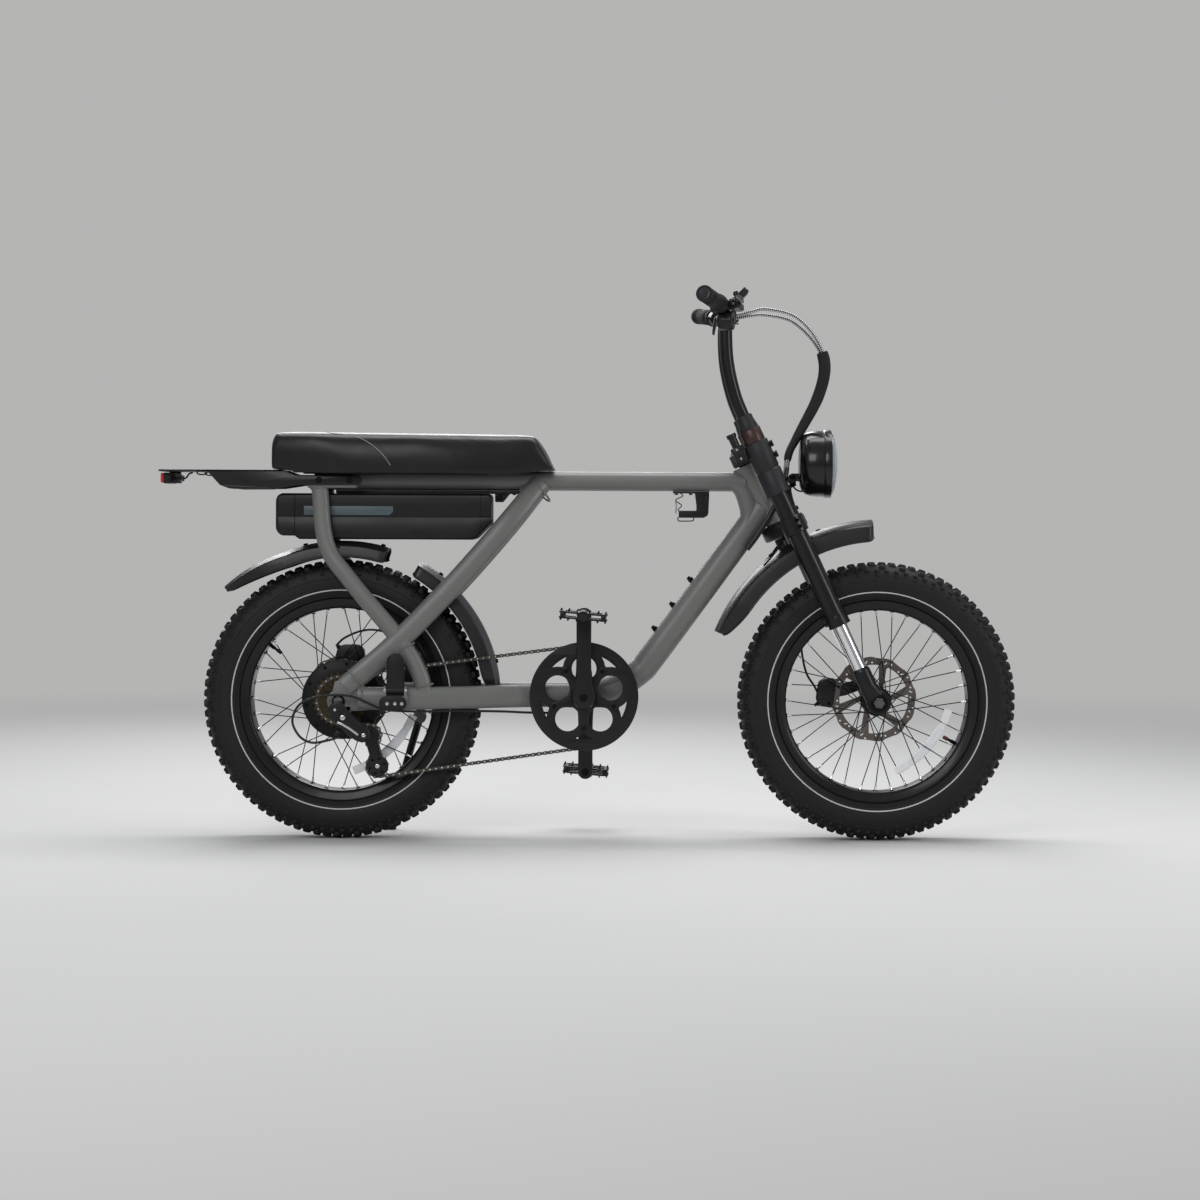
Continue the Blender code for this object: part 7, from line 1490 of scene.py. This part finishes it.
seat_cover = covered(
    "seat_cover", leather, {"Color": (0.0075, 0.0075, 0.0082, 1), "Roughness": 0.36}, 0.2, 0.0004,
    {"Sheen Weight": 0.02, "Specular IOR Level": 0.3},
)
even.materials.clear()
even.materials.append(seat_cover)

# Piping: a thin welt laid on the cover down either side, and over the top between them.
thread_grey = finish("thread_grey", (0.2, 0.2, 0.205), 0.55, grain=2200, relief=0.15, tint=0.05)
view = bpy.context.evaluated_depsgraph_get()
surface = BVHTree.FromObject(seat, view)
drawn = flowing([(-0.0205, 0.842), (0.01, 0.839), (0.04, 0.8325), (0.062, 0.8215), (0.08, 0.808),
    (0.093, 0.7945), (0.106, 0.776)], 8)
welts = []
for side in (-1, 1):
    hits = [surface.ray_cast(Vector((x + REAR_AXLE[0], side * 0.3, z)), Vector((0, -side, 0)))[0]
        for x, z in drawn]
    line = np.array([hit for hit in hits if hit]) - REAR_AXLE + (0, side * 0.0001, 0)
    welts.append(carried(line, oval(0.0017, 0.0017, 8)))
over = [(REAR_AXLE[0] - 0.0205 - 0.02 * (1 - (y / 0.088) ** 2), y, 1.2) for y in np.linspace(-0.088, 0.088, 45)]
hits = [surface.ray_cast(Vector(start), Vector((0, 0, -1)))[0] for start in over]
line = np.array([hit for hit in hits if hit]) - REAR_AXLE + (0, 0, 0.0001)
welts.append(carried(line, oval(0.0017, 0.0017, 8), (1, 0, 0)))
piece("seat_piping", welts, thread_grey, "frame", None)

pan_x = np.concatenate([-0.118 + ends * 0.5, np.linspace(-0.105, 0.372, 40), 0.385 - ends[::-1] * 0.5])
pan = np.concatenate([np.stack([pan_x, pan_half(pan_x)], axis=1),
    np.stack([pan_x, -pan_half(pan_x)], axis=1)[::-1]])
pan_parts = [sheet_cut([pan], 0.0079, 0.0012, "XY", 0.7703)]
pan_parts += [bolt(0.004, 0.0016, (x, y, 0.7664), (0, 0, -1), mark=0) for x in (0.04, 0.16, 0.28)
    for y in (0.032, -0.032)]
piece("seat_pan", pan_parts, case_black, "frame")


# The handlebar: one welded steel bar on two curved risers, with a soft grip at either
# end, the right one turning as the throttle, and clamped levers, meter and switches.
BAR_SPOT = np.array((0.798, 0, 1.088))
HALF_BAR = 0.35
BAR = 0.0222


def bar_line(y):
    """The bar's centre for each y: level in the middle, an eased bend, straight ends."""
    y = np.asarray(y, float)
    share = (np.maximum(np.abs(y), 0.188) - 0.225) / 0.125
    x, z = 0.778 - 0.033 * share, 1.103 + 0.012 * share
    ease = np.clip((np.abs(y) - 0.13) / 0.058, 0, 1)
    ease = 0.5 * ease**2 * (3 - 2 * ease) + 0.5 * ease**2
    return np.stack([BAR_SPOT[0] + (x - BAR_SPOT[0]) * ease, y, BAR_SPOT[2] + (z - BAR_SPOT[2]) * ease],
        axis=-1)


def on_grip(parts, side):
    """Surfaces drawn with Z out along the grip and X forward, placed on that grip."""
    inner, outer = bar_line([side * 0.225, side * HALF_BAR])
    along = (outer - inner) / np.linalg.norm(outer - inner)
    forward = np.array((1.0, 0, 0)) - along[0] * along
    forward /= np.linalg.norm(forward)
    turn = np.stack([forward, np.cross(along, forward), along])
    return [(part[0] @ turn + inner, *part[1:]) for part in parts]


def smooth_rod(points, width, height, steps=8, square=2.0, count=20, across=(0, 1, 0)):
    """A rod whose width and height pass smoothly through a value at each point."""
    whole = np.column_stack([points, np.broadcast_to(width, len(points)), np.broadcast_to(height, len(points))])
    whole = flowing(whole, steps)
    return carried(whole[:, :3], oval(1, 1, count, square), across, whole[:, 3:].T)


control_black = finish("control_black", (0.012, 0.012, 0.013), 0.36, grain=1500, relief=0.08, coat=0.12)
span = np.concatenate([np.linspace(-HALF_BAR, -0.125, 40), np.linspace(-0.12, 0.12, 12),
    np.linspace(0.125, HALF_BAR, 40)])
bar = [carried(bar_line(span), oval(BAR, BAR, 32), (1, 0, 0))]
for side in (-1, 1):
    y = side * 0.08
    riser = np.vstack([steered([(0.035, y, 0.565), (0.035, y, 0.659)]),
        [(0.812, y, 0.932), (0.7985, y, 0.994), (0.795, y, 1.055), BAR_SPOT + (0, y, 0)]])
    bar.append(carried(flowing(riser, 10), oval(0.027, 0.027, 36)))
    collar = ring_of(0.02, 8, start=22.5, end=382.5)
    bar.append((*shifted(sheet_cut([collar], 0.026, 0.002, at=y, steps=3), BAR_SPOT), 1))
    for x in (-0.0125, 0.0125):
        bar.append(bolt(0.0034, 0.003, BAR_SPOT + (x, y, 0.0152), (0, 0, 1), mark=2))
    bar.append(standing([(0.0108, 0), (0.0108, 0.001), (0.009, 0.0022), (0.004, 0.0024)], 28,
        bar_line([side * HALF_BAR])[0], (0, side, 0)))
piece("handlebar", bar, [fork_black, clamp_black, steel_black], "steering_assembly")

RIDGED = (0.0205, 0.118)


def ridges(angle, along):
    """Fine lines along the grip: a cosine wave round it, only between its plain ends."""
    return 0.00035 * np.cos(angle * 24) * ((along > RIDGED[0]) & (along < RIDGED[1]))


grip_rubber = finish("grip_rubber", (0.011, 0.011, 0.012), 0.68, grain=1500, relief=0.35, depth=0.0003,
    gloss=0.05)
flats = np.linspace(*RIDGED, 60)
waves = 0.0165 - 0.0009 * (0.5 + 0.5 * np.cos(2 * math.pi * (flats - RIDGED[0]) / 0.00325)) ** 3
grip_profile = np.array([(0.0113, 0.0022), (0.018, 0.0022), (0.0189, 0.003), (0.0189, 0.0064), (0.018, 0.0072),
    (0.0172, 0.0085), (0.0168, 0.018)] + list(zip(waves, flats)) + [(0.0168, 0.1205), (0.0172, 0.124),
    (0.0172, 0.1275), (0.016, 0.1288), (0.0113, 0.1288)])
for side, name, body in ((1, "left_grip", "steering_assembly"), (-1, "twist_throttle", "throttle")):
    parts = [turned(grip_profile, 96, "Z", hollow=True, wave=ridges)]
    if side < 0:
        parts.append((*turned(shaft(0.0186, 0.0078, 0.0158, 0.0012, 0.0008), 48, "Z"), 1))
    piece(name, on_grip(parts, side), [grip_rubber, control_black], body)

for side, word in ((-1, "right"), (1, "left")):
    perch = [turned([(0.0112, -0.03), (0.0164, -0.03), (0.017, -0.0294), (0.017, -0.0066), (0.0164, -0.006),
        (0.0112, -0.006)], 48, "Z", hollow=True), smooth_rod([(0.027, 0, -0.0068), (0.027, 0, -0.009),
        (0.027, 0, -0.028), (0.028, 0, -0.044), (0.0288, 0, -0.058), (0.029, 0, -0.06)],
        (0.016, 0.019, 0.019, 0.0185, 0.0165, 0.014), (0.018, 0.021, 0.021, 0.0205, 0.0185, 0.016), 6, 3.0, 28),
        slab((0.008, -0.008, -0.029), (0.027, 0.008, -0.007))]
    for low in (-0.008, 0.0048):
        cheek = np.vstack([ring_of(0.0062, 10, (0.04, 0.005), -60, 120),
            ring_of(0.008, 10, (0.027, -0.014), 120, 300)])
        perch.append(sheet_cut([cheek], 0.0032, 0.0007, at=low + 0.0016))
    perch.append(slab((0.017, 0.009, -0.056), (0.039, 0.0118, -0.012), 0.0012))
    for z in (-0.052, -0.016):
        perch += [bolt(0.0022, 0.0012, (0.028, 0.0117, z), (0, 1, 0)),
            bolt(0.003, 0.0026, (-0.0165, 0, z * 0.4 - 0.004), (-1, 0, 0))]
    perch.append(standing([(0.0046, -0.0002), (0.0046, 0.0006), (0.004, 0.0014), (0.0018, 0.0014)], 20,
        (0.04, -0.008, 0.005), (0, -1, 0)))
    if side < 0:
        pod = turned([(0.008, -0.013), (0.0185, -0.0128), (0.0192, -0.0118), (0.0198, 0.0), (0.02, 0.012),
            (0.0188, 0.016), (0.016, 0.017), (0.006, 0.0172)], 48, "X", (0.006, -0.03, -0.029))
        perch += [pod, slab((0.001, -0.034, -0.052), (0.015, -0.02, -0.033), 0.003),
            standing([(0.007, 0), (0.0066, 0.0012), (0.0052, 0.0014)], 24, (0.0231, -0.03, -0.029), (1, 0, 0))]
    else:
        perch.append(slab((-0.012, -0.029, -0.029), (0.012, -0.012, -0.008), 0.0035))
        for z in (-0.024, -0.014):
            perch.append((*slab((-0.0136, -0.0255, z - 0.0034), (-0.011, -0.0165, z + 0.0034), 0.001), 1))
    piece(word + "_lever_perch", on_grip(perch, side), [control_black, steel_black], "steering_assembly")

    pivot = np.array((0.04, 0, 0.005))
    blade = smooth_rod(pivot + [(0, 0, 0), (0.011, 0, 0.02), (0.015, 0, 0.045), (0.016, 0, 0.08),
        (0.018, 0, 0.102), (0.022, 0, 0.112)], (0.0085, 0.0086, 0.0082, 0.0076, 0.007, 0.0064),
        (0.007, 0.0098, 0.0104, 0.0098, 0.009, 0.0084), 8, 2.6)
    hub = turned(shaft(0.0069, -0.0044, 0.0044, 0.0005, 0.0006), 28, "Y", pivot)
    knob = turned([(0.0016, -0.005), (0.004, -0.004), (0.005, -0.002), (0.005, 0.002), (0.004, 0.004),
        (0.0016, 0.005)], 24, "Y", pivot + (0.0215, 0, 0.1125))
    piece(word + "_brake_lever", on_grip([blade, hub, knob], side), fork_black, word + "_lever")

pad = np.vstack([ring_of(0.008, 10, (0.0, 0.0), -120, 60), ring_of(0.006, 10, (-0.0255, 0.0155), 60, 240)])
shift = [shifted(sheet_cut([pad], 0.0032, 0.0008, "YZ", -0.0151), (0, -0.03, -0.029))]
for k in range(4):
    spot = np.array((-0.0166, -0.044 - 0.0035 * k, -0.0205 + 0.0021 * k))
    shift.append(slab(spot - (0.0006, 0.0006, 0.0045), spot + (0.0008, 0.0006, 0.0045), 0.0004))
piece("shift_lever", on_grip(shift, -1), control_black, "shifter")

# The meter, drawn facing +X and then tipped back on its clamp
glass_dark = finish("glass_dark", (0.006, 0.007, 0.009), 0.06, grain=700, relief=0.01, tint=0.2, gloss=0.03,
    coat=0.8)
tipped = turn_y(math.radians(-135)).T
face = np.array((0.822, 0, 1.128))
well = ring_of(0.0064, 24, (-0.03, 0.012))
shell = [slab((-0.0058, -0.045, -0.026), (0.004, 0.045, 0.026), 0.003)]
corners = ((1, 1, 0), (-1, 1, 90), (-1, -1, 180), (1, -1, 270))
rim_edge = np.vstack([ring_of(0.005, 6, (y * 0.0398, z * 0.0208), a, a + 90) for y, z, a in corners])
opening = np.vstack([ring_of(0.003, 6, (0.009 + y * 0.029, z * 0.018), a, a + 90) for y, z, a in corners])
shell += [sheet_cut([rim_edge, opening, well], 0.0048, 0.001, "YZ", 0.0056),
    (*slab((0.003, -0.0225, -0.0205), (0.0068, 0.0405, 0.0205), 0.0006), 1),
    smooth_rod([(0.0, 0, 0.018), (-0.004, 0, 0.026), (-0.012, 0, 0.044)], 0.026, 0.01, 5, 3.0, 24)]
meter = [(part[0] @ tipped + face, *part[1:]) for part in shell]
meter += [turned([(0.0112, -0.013), (0.0172, -0.013), (0.018, -0.0122), (0.018, 0.0122), (0.0172, 0.013),
    (0.0112, 0.013)], 40, "Y", BAR_SPOT, hollow=True),
    bolt(0.003, 0.0026, BAR_SPOT - (0, 0, 0.0178), (0, 0, -1), mark=2)]
piece("display", meter, [control_black, glass_dark, steel_black], "steering_assembly")
push = turned([(0.0058, -0.0028), (0.0059, 0.0085), (0.0054, 0.0096), (0.0036, 0.01), (0.003, 0.0096)], 32, "X",
    (0, -0.03, 0.012))
piece("display_button", [(push[0] @ tipped + face, push[1])], rubber, "button")
lock = [slab((-0.018, -0.092, 0.57), (0.0085, -0.07, 0.604), 0.0035),
    turned([(0.0085, 0.603), (0.0085, 0.6235), (0.0102, 0.624), (0.0105, 0.6246), (0.0105, 0.6312),
    (0.0098, 0.632), (0.004, 0.632)], 40, "Z", (-0.0045, -0.081, 0)),
    (*slab((-0.0052, -0.085, 0.6316), (-0.0038, -0.077, 0.6326), 0.0003), 1)]
for z in (0.577, 0.597):
    lock.append(bolt(0.0026, 0.0018, (-0.006, -0.0919, z), (0, -1, 0)))
piece("key_switch", in_steering(lock), [control_black, bright_bolt], "steering_assembly")


# The headlight: a deep round lamp with a bright reflector behind a bulged clear lens.
# Its ear pivots between two ears of a flat steel stay that stands on the lower crown.
PIVOT = (0.0785, 0.498)
ears = [smooth_rod([(0.056, 0, 0.4213), (0.056, 0, 0.4463), (0.062, 0, 0.476), (0.0725, 0, 0.486)], 0.02, 0.007,
    8, 5.0, 28), slab((0.0665, -0.011, 0.478), (0.0785, 0.011, 0.4875), 0.0012)]
for side in (-1, 1):
    ear = np.vstack([ring_of(0.0075, 12, PIVOT, -30, 150), ring_of(0.0065, 12, (0.0725, 0.484), 150, 330)])
    ears += [sheet_cut([ear], 0.003, 0.0006, at=side * 0.0095),
        bolt(0.0052, 0.0032, (PIVOT[0], side * 0.011, PIVOT[1]), (0, side, 0))]
ears.append(bolt(0.0045, 0.0034, (0.0595, 0, 0.436), (1, 0, 0)))
piece("headlight_bracket", in_steering(ears), [control_black, steel_black], "steering_assembly")

lamp_spot = np.array((0.93761, 0, 0.7573))
centre = lamp_spot + (0.08, 0, 0.0275)
lamp_black = finish("lamp_black", (0.006, 0.006, 0.0065), 0.22, grain=1500, relief=0.02, coat=0.3)
lamp_glass = finish("lamp_glass", (0.9, 0.95, 0.98), 0.05, grain=500, relief=0.02, tint=0.01, gloss=0.02,
    also={"Transmission Weight": 0.85, "IOR": 1.45})
lamp_white = finish("lamp_white", (0.75, 0.82, 0.85), 0.3, grain=700, relief=0.02, tint=0.02)
shell = [(0.065, -0.004), (0.065, 0.0), (0.07, 0.0004), (0.0711, -0.0006), (0.0713, -0.012), (0.0702, -0.015),
    (0.069, -0.016), (0.0688, -0.03), (0.0672, -0.044), (0.064, -0.053), (0.058, -0.06), (0.047, -0.0646),
    (0.03, -0.0665), (0.0006, -0.0668), (0.0006, -0.052), (0.03, -0.048), (0.054, -0.03), (0.064, -0.009)]
housing = [turned(shell, 96, "X", centre, hollow=True)]
ear = np.vstack([ring_of(0.007, 14, (0, 0), 95, 265), ring_of(0.011, 14, (0.028, -0.0025), -85, 85)])
housing.append(shifted(sheet_cut([ear], 0.0154, 0.001), lamp_spot))
for angle in (90, 210, 330):
    housing.append(bolt(0.0024, 0.0016, centre + (0.0002, *polar(0.068, angle)), (1, 0, 0)))
tail = flowing([(0.015, 0.0, -0.03), (0.006, 0.001, -0.036), (-0.006, 0.002, -0.033), (-0.016, 0.003, -0.023),
    (-0.024, 0.003, -0.015)], 8)
housing.append(rod(tail + lamp_spot + (0.015, 0, 0.006), 0.0034, 12, mark=2))
piece("headlight_housing", housing, [lamp_black, bright_bolt, hose_black], "headlight")


def facets(angle, along):
    """Eighteen waves round the bowl, only where it is 10 mm or more behind its front."""
    return 0.0004 * np.cos(angle * 18) * (along < centre[0] - 0.01)


bowl = turned([(0.0635, -0.006), (0.06, -0.012), (0.05, -0.025), (0.038, -0.035), (0.02, -0.042),
    (0.013, -0.043)], 108, "X", centre, wave=facets)
bulb = turned([(0.013, -0.043), (0.015, -0.04), (0.015, -0.022), (0.012, -0.015), (0.006, -0.012)], 48, "X",
    centre)
halo = turned([(0.056, -0.011), (0.06, -0.01), (0.06, -0.006), (0.056, -0.006)], 72, "X", centre, hollow=True)
piece("headlight_reflector", [bowl, (*bulb, 1), (*halo, 1)], [chrome, lamp_white], "headlight", None)
lens = [(0.064, -0.0038), (0.0647, -0.0032), (0.0647, 0.0015), (0.063, 0.0034), (0.056, 0.0062),
    (0.0487, 0.0082), (0.037, 0.0107), (0.0247, 0.0125), (0.012, 0.0134), (0.0006, 0.0136), (0.0006, 0.011),
    (0.0247, 0.0098), (0.0487, 0.0055), (0.06, 0.001), (0.061, -0.0038)]
piece("headlight_lens", [turned(lens, 96, "X", centre, hollow=True)], lamp_glass, "headlight")


# The cables: braided brake and signal cables that leave the bar together, loop ahead of
# it through a stretch sleeve and enter the down tube; the shift cable under the stay.

# Braid: the angle round the cable and the length along it, read from the piece's own
# attribute, make two crossing sets of strands whose colour and height alternate.
braid, ins, outs = shader_group("braid", {"Light": (0.6, 0.6, 0.6, 1), "Dark": (0.02, 0.02, 0.02, 1),
    "Strands": 6.0, "Pitch": 380.0, "Braid end": 1.0})
wrap = add(braid, "Attribute", attribute_name="wrap")
split = add(braid, "SeparateXYZ")
round_it = add(braid, "Math", operation="ARCTAN2")
one_way, other_way = add(braid, "Math", operation="ADD"), add(braid, "Math", operation="SUBTRACT")
first, second = add(braid, "Math", operation="SINE"), add(braid, "Math", operation="SINE")
turns, distance, product, raised = (add(braid, "Math", operation="MULTIPLY") for _ in range(4))
strand = add(braid, "MapRange", {"From Min": 0.05, "From Max": 0.35})
until = add(braid, "Math", operation="LESS_THAN")
pick = add(braid, "Mix", data_type="RGBA")
rougher = add(braid, "Math", {1: 0.2, 2: 0.45}, operation="MULTIPLY_ADD")
wire(braid, (wrap, "Vector", split, "Vector"), (split, "Y", round_it, 0), (split, "X", round_it, 1),
    (round_it, 0, turns, 0), (ins, "Strands", turns, 1), (split, "Z", distance, 0), (ins, "Pitch", distance, 1),
    (turns, 0, one_way, 0), (distance, 0, one_way, 1), (turns, 0, other_way, 0), (distance, 0, other_way, 1),
    (one_way, 0, first, 0), (other_way, 0, second, 0), (first, 0, product, 0), (second, 0, product, 1),
    (product, 0, strand, "Value"), (split, "Z", until, 0), (ins, "Braid end", until, 1),
    (strand, "Result", raised, 0), (until, 0, raised, 1), (raised, 0, pick, "Factor"), (raised, 0, rougher, 0),
    (ins, "Dark", pick, 6), (ins, "Light", pick, 7), (pick, 2, outs, "Color"), (rougher, 0, outs, "Roughness"),
    (raised, 0, outs, "Height"))


def cable(name, line, thick, material, body, stands_for=None, into=None):
    """A cable along a line, with the angle and the length it needs for a braid; one that
    goes back into the bike rides on no body and has its place baked into its points."""
    sides = 16
    made = piece(name, [carried(line, oval(thick, thick, sides))], material, None if into else body, stands_for,
        crease=180)
    angle = np.linspace(0, 2 * math.pi, sides, endpoint=False)
    along = np.concatenate([[0], np.cumsum(np.linalg.norm(np.diff(line, axis=0), axis=1))])
    wrapped = np.stack(np.broadcast_arrays(np.cos(angle)[None], np.sin(angle)[None], along[:, None]), axis=-1)
    made.data.attributes.new("wrap", "FLOAT_VECTOR", "POINT").data.foreach_set("vector", wrapped.ravel())
    if into:
        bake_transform(made)


loop = flowing([(0.8094, -0.03, 1.0885), (0.83, -0.029, 1.093), (0.849, -0.024, 1.0985), (0.881, -0.01, 1.104),
    (0.94, 0, 1.09), (0.985, 0, 1.044), (1.004, 0, 0.99), (0.99, 0, 0.924), (0.949, -0.006, 0.845),
    (0.929, -0.018, 0.805), (0.922, -0.034, 0.76), (0.91, -0.04, 0.72), (0.893, -0.04, 0.683),
    (0.864, -0.0375, 0.636), (0.842, -0.033, 0.606)], 10)
way = np.gradient(loop, axis=0)
way /= np.linalg.norm(way, axis=1)[:, None]
beside = np.array((0.0, 1.0, 0.0)) - way[:, 1:2] * way
above = np.cross(way, beside)
share = np.linspace(0, 1, len(loop))
braid_end = float(np.linalg.norm(np.diff(loop[:int(0.7 * len(loop))], axis=0), axis=1).sum())
spread = np.interp(share, (0, 0.1, 0.2, 0.31, 0.385, 0.55, 1),
    (0.0032, 0.0045, 0.0095, 0.0088, 0.0042, 0.0036, 0.0036))[:, None]
for name, light, strands, thick, start, node in (
    ("braided_cable_front", (0.78, 0.78, 0.79), 2.0, 0.0066, 2.6, "steering_cable_bundle"),
    # The back cable's strands are a darker grey than the front one's: painted shade, as it lies behind the
    # front cable.
    ("braided_cable_back", (0.66, 0.66, 0.67), 2.0, 0.0066, 4.6, None),
    ("signal_cable", (0.1, 0.1, 0.11), 5.0, 0.006, 0.2, None),
):
    twist = start + share[:, None] * 0.9
    line = loop + spread * (np.cos(twist) * beside + np.sin(twist) * above)
    woven = {"Light": (*light, 1), "Strands": strands, "Pitch": 760.0, "Braid end": braid_end}
    cable(name, line, thick, covered(name + "_cover", braid, woven, 0.5, 0.0003, {}), "steering_assembly", node,
        "frame")
sleeve_line = loop[int(0.395 * len(loop)):int(0.67 * len(loop))]
drop = np.linspace(0, 1, len(sleeve_line))
girth = np.interp(drop, (0, 0.02, 0.06, 0.96, 1), (0.88, 0.97, 1.0, 0.97, 0.88)) * np.stack([
    np.interp(drop, (0, 0.4, 0.8, 1), (0.018, 0.0175, 0.015, 0.0148)),
    np.interp(drop, (0, 0.4, 0.8, 1), (0.0255, 0.025, 0.0172, 0.0168)),
])
sleeve_black = finish("sleeve_black", (0.009, 0.009, 0.0095), 0.62, grain=2600, relief=0.3, depth=0.0003,
    gloss=0.05)
piece("cable_sleeve", [carried(sleeve_line, oval(1, 1, 32, 2.4), size=girth)], sleeve_black,
    "steering_assembly", None, crease=60)
under_stay = flowing([(0.445, -0.043, 0.264), (0.385, -0.048, 0.265), (0.33, -0.063, 0.268),
    (0.23, -0.087, 0.27), (0.15, -0.101, 0.2696), (0.09, -0.119, 0.276), (0.03, -0.123, 0.301),
    (-0.03, -0.125, 0.302), (-0.075, -0.125, 0.286), (-0.092, -0.125, 0.252), (-0.078, -0.125, 0.22),
    (-0.052, -0.125, 0.206), (-0.018, -0.125, 0.211), (0.005, -0.125, 0.218)], 8)
cable("chainstay_cables", under_stay, 0.005, hose_black, "frame", "chainstay_cables")


# The stand and the foot rests: a painted steel leg on a pivot head with a rubber foot,
# and folding rests whose arched plates are drawn up against their hinge brackets.
hub = turned([(0.0125, -0.008), (0.014, -0.0068), (0.014, 0.0085), (0.0128, 0.01), (0.007, 0.01)], 40, "Z")
stand = [aimed(hub, kick_spot, kick_axis), standing([(0.0064, 0.0095), (0.007, 0.0102), (0.007, 0.0138),
    (0.006, 0.0148)], 6, kick_spot, kick_axis)]
leg_start = kick_spot + kick_axis * 0.002 - (0, 0, 0.004)
leg_end = np.array((0.082, 0.166, 0.012))
stand.append(smooth_rod(leg_start + np.linspace(0, 1, 7)[:, None] * (leg_end - leg_start),
    (0.017, 0.0165, 0.016, 0.0155, 0.015, 0.015, 0.015), 0.016, 6, 2.2, 28, (1, 0, 0)))
sole, faces = smooth_rod([(0.0842, 0.166, 0.024), (0.0838, 0.166, 0.02), (0.0826, 0.166, 0.012),
    (0.0808, 0.166, 0.004), (0.0802, 0.166, 0.0002)], (0.018, 0.026, 0.029, 0.03, 0.029),
    (0.02, 0.03, 0.0345, 0.036, 0.035), 6, 2.6, 36)
stand.append((np.maximum(sole, (-9, -9, 0.0001)), faces, 2))
piece("kickstand_leg", stand, [fork_black, bright_bolt, grip_rubber], "kickstand")

for side, word in ((-1, "right"), (1, "left")):
    spot = np.array((peg_spot[0], side * peg_spot[1], peg_spot[2]))
    arch = np.vstack([[(-0.018, 0.001), (0.018, 0.001)], ring_of(0.018, 20, (0, 0.0578), 0, 180)])
    peg = [sheet_cut([arch], 0.0168, 0.0024, steps=3)]
    rim_line = np.vstack([[(-0.015, 0.016), (0.015, 0.016)], ring_of(0.015, 20, (0, 0.0575), 0, 180)])
    rim_line = flowing(np.stack([rim_line[:, 0], np.full(len(rim_line), side * 0.0082), rim_line[:, 1]],
        axis=1), 3, True)
    peg.append(carried(rim_line, oval(0.0022, 0.0022, 8), closed=True))
    for z in (0.022, 0.03, 0.038, 0.046, 0.054):
        peg.append(slab((-0.012, side * 0.007, z), (0.012, side * 0.0096, z + 0.0028), 0.0008))
    peg.append(turned(shaft(0.0085, -0.018, 0.018, 0.0009, 0.0008), 32, "X"))
    piece("foot_peg_" + word, [(part[0] + spot, part[1]) for part in peg], case_black, word + "_foot_peg")
    oval_plate = np.vstack([ring_of(0.0145, 16, (0.129, 0.288), -90, 90),
        ring_of(0.0145, 16, (0.101, 0.288), 90, 270)])
    mount = [sheet_cut([oval_plate], 0.005, 0.0016, at=side * 0.1342, steps=3)]
    for x in (0.103, 0.119, 0.133):
        mount.append(bolt(0.0036, 0.0022, (x, side * 0.1362, 0.287), (0, side, 0)))
    for x in (-0.0216, 0.0216):
        mount.append(bolt(0.003, 0.0022, (spot[0] + x, side * 0.132, spot[2]), (0, side, 0)))
    piece("peg_hinge_" + word, mount, [case_black, bright_bolt], "frame", None)
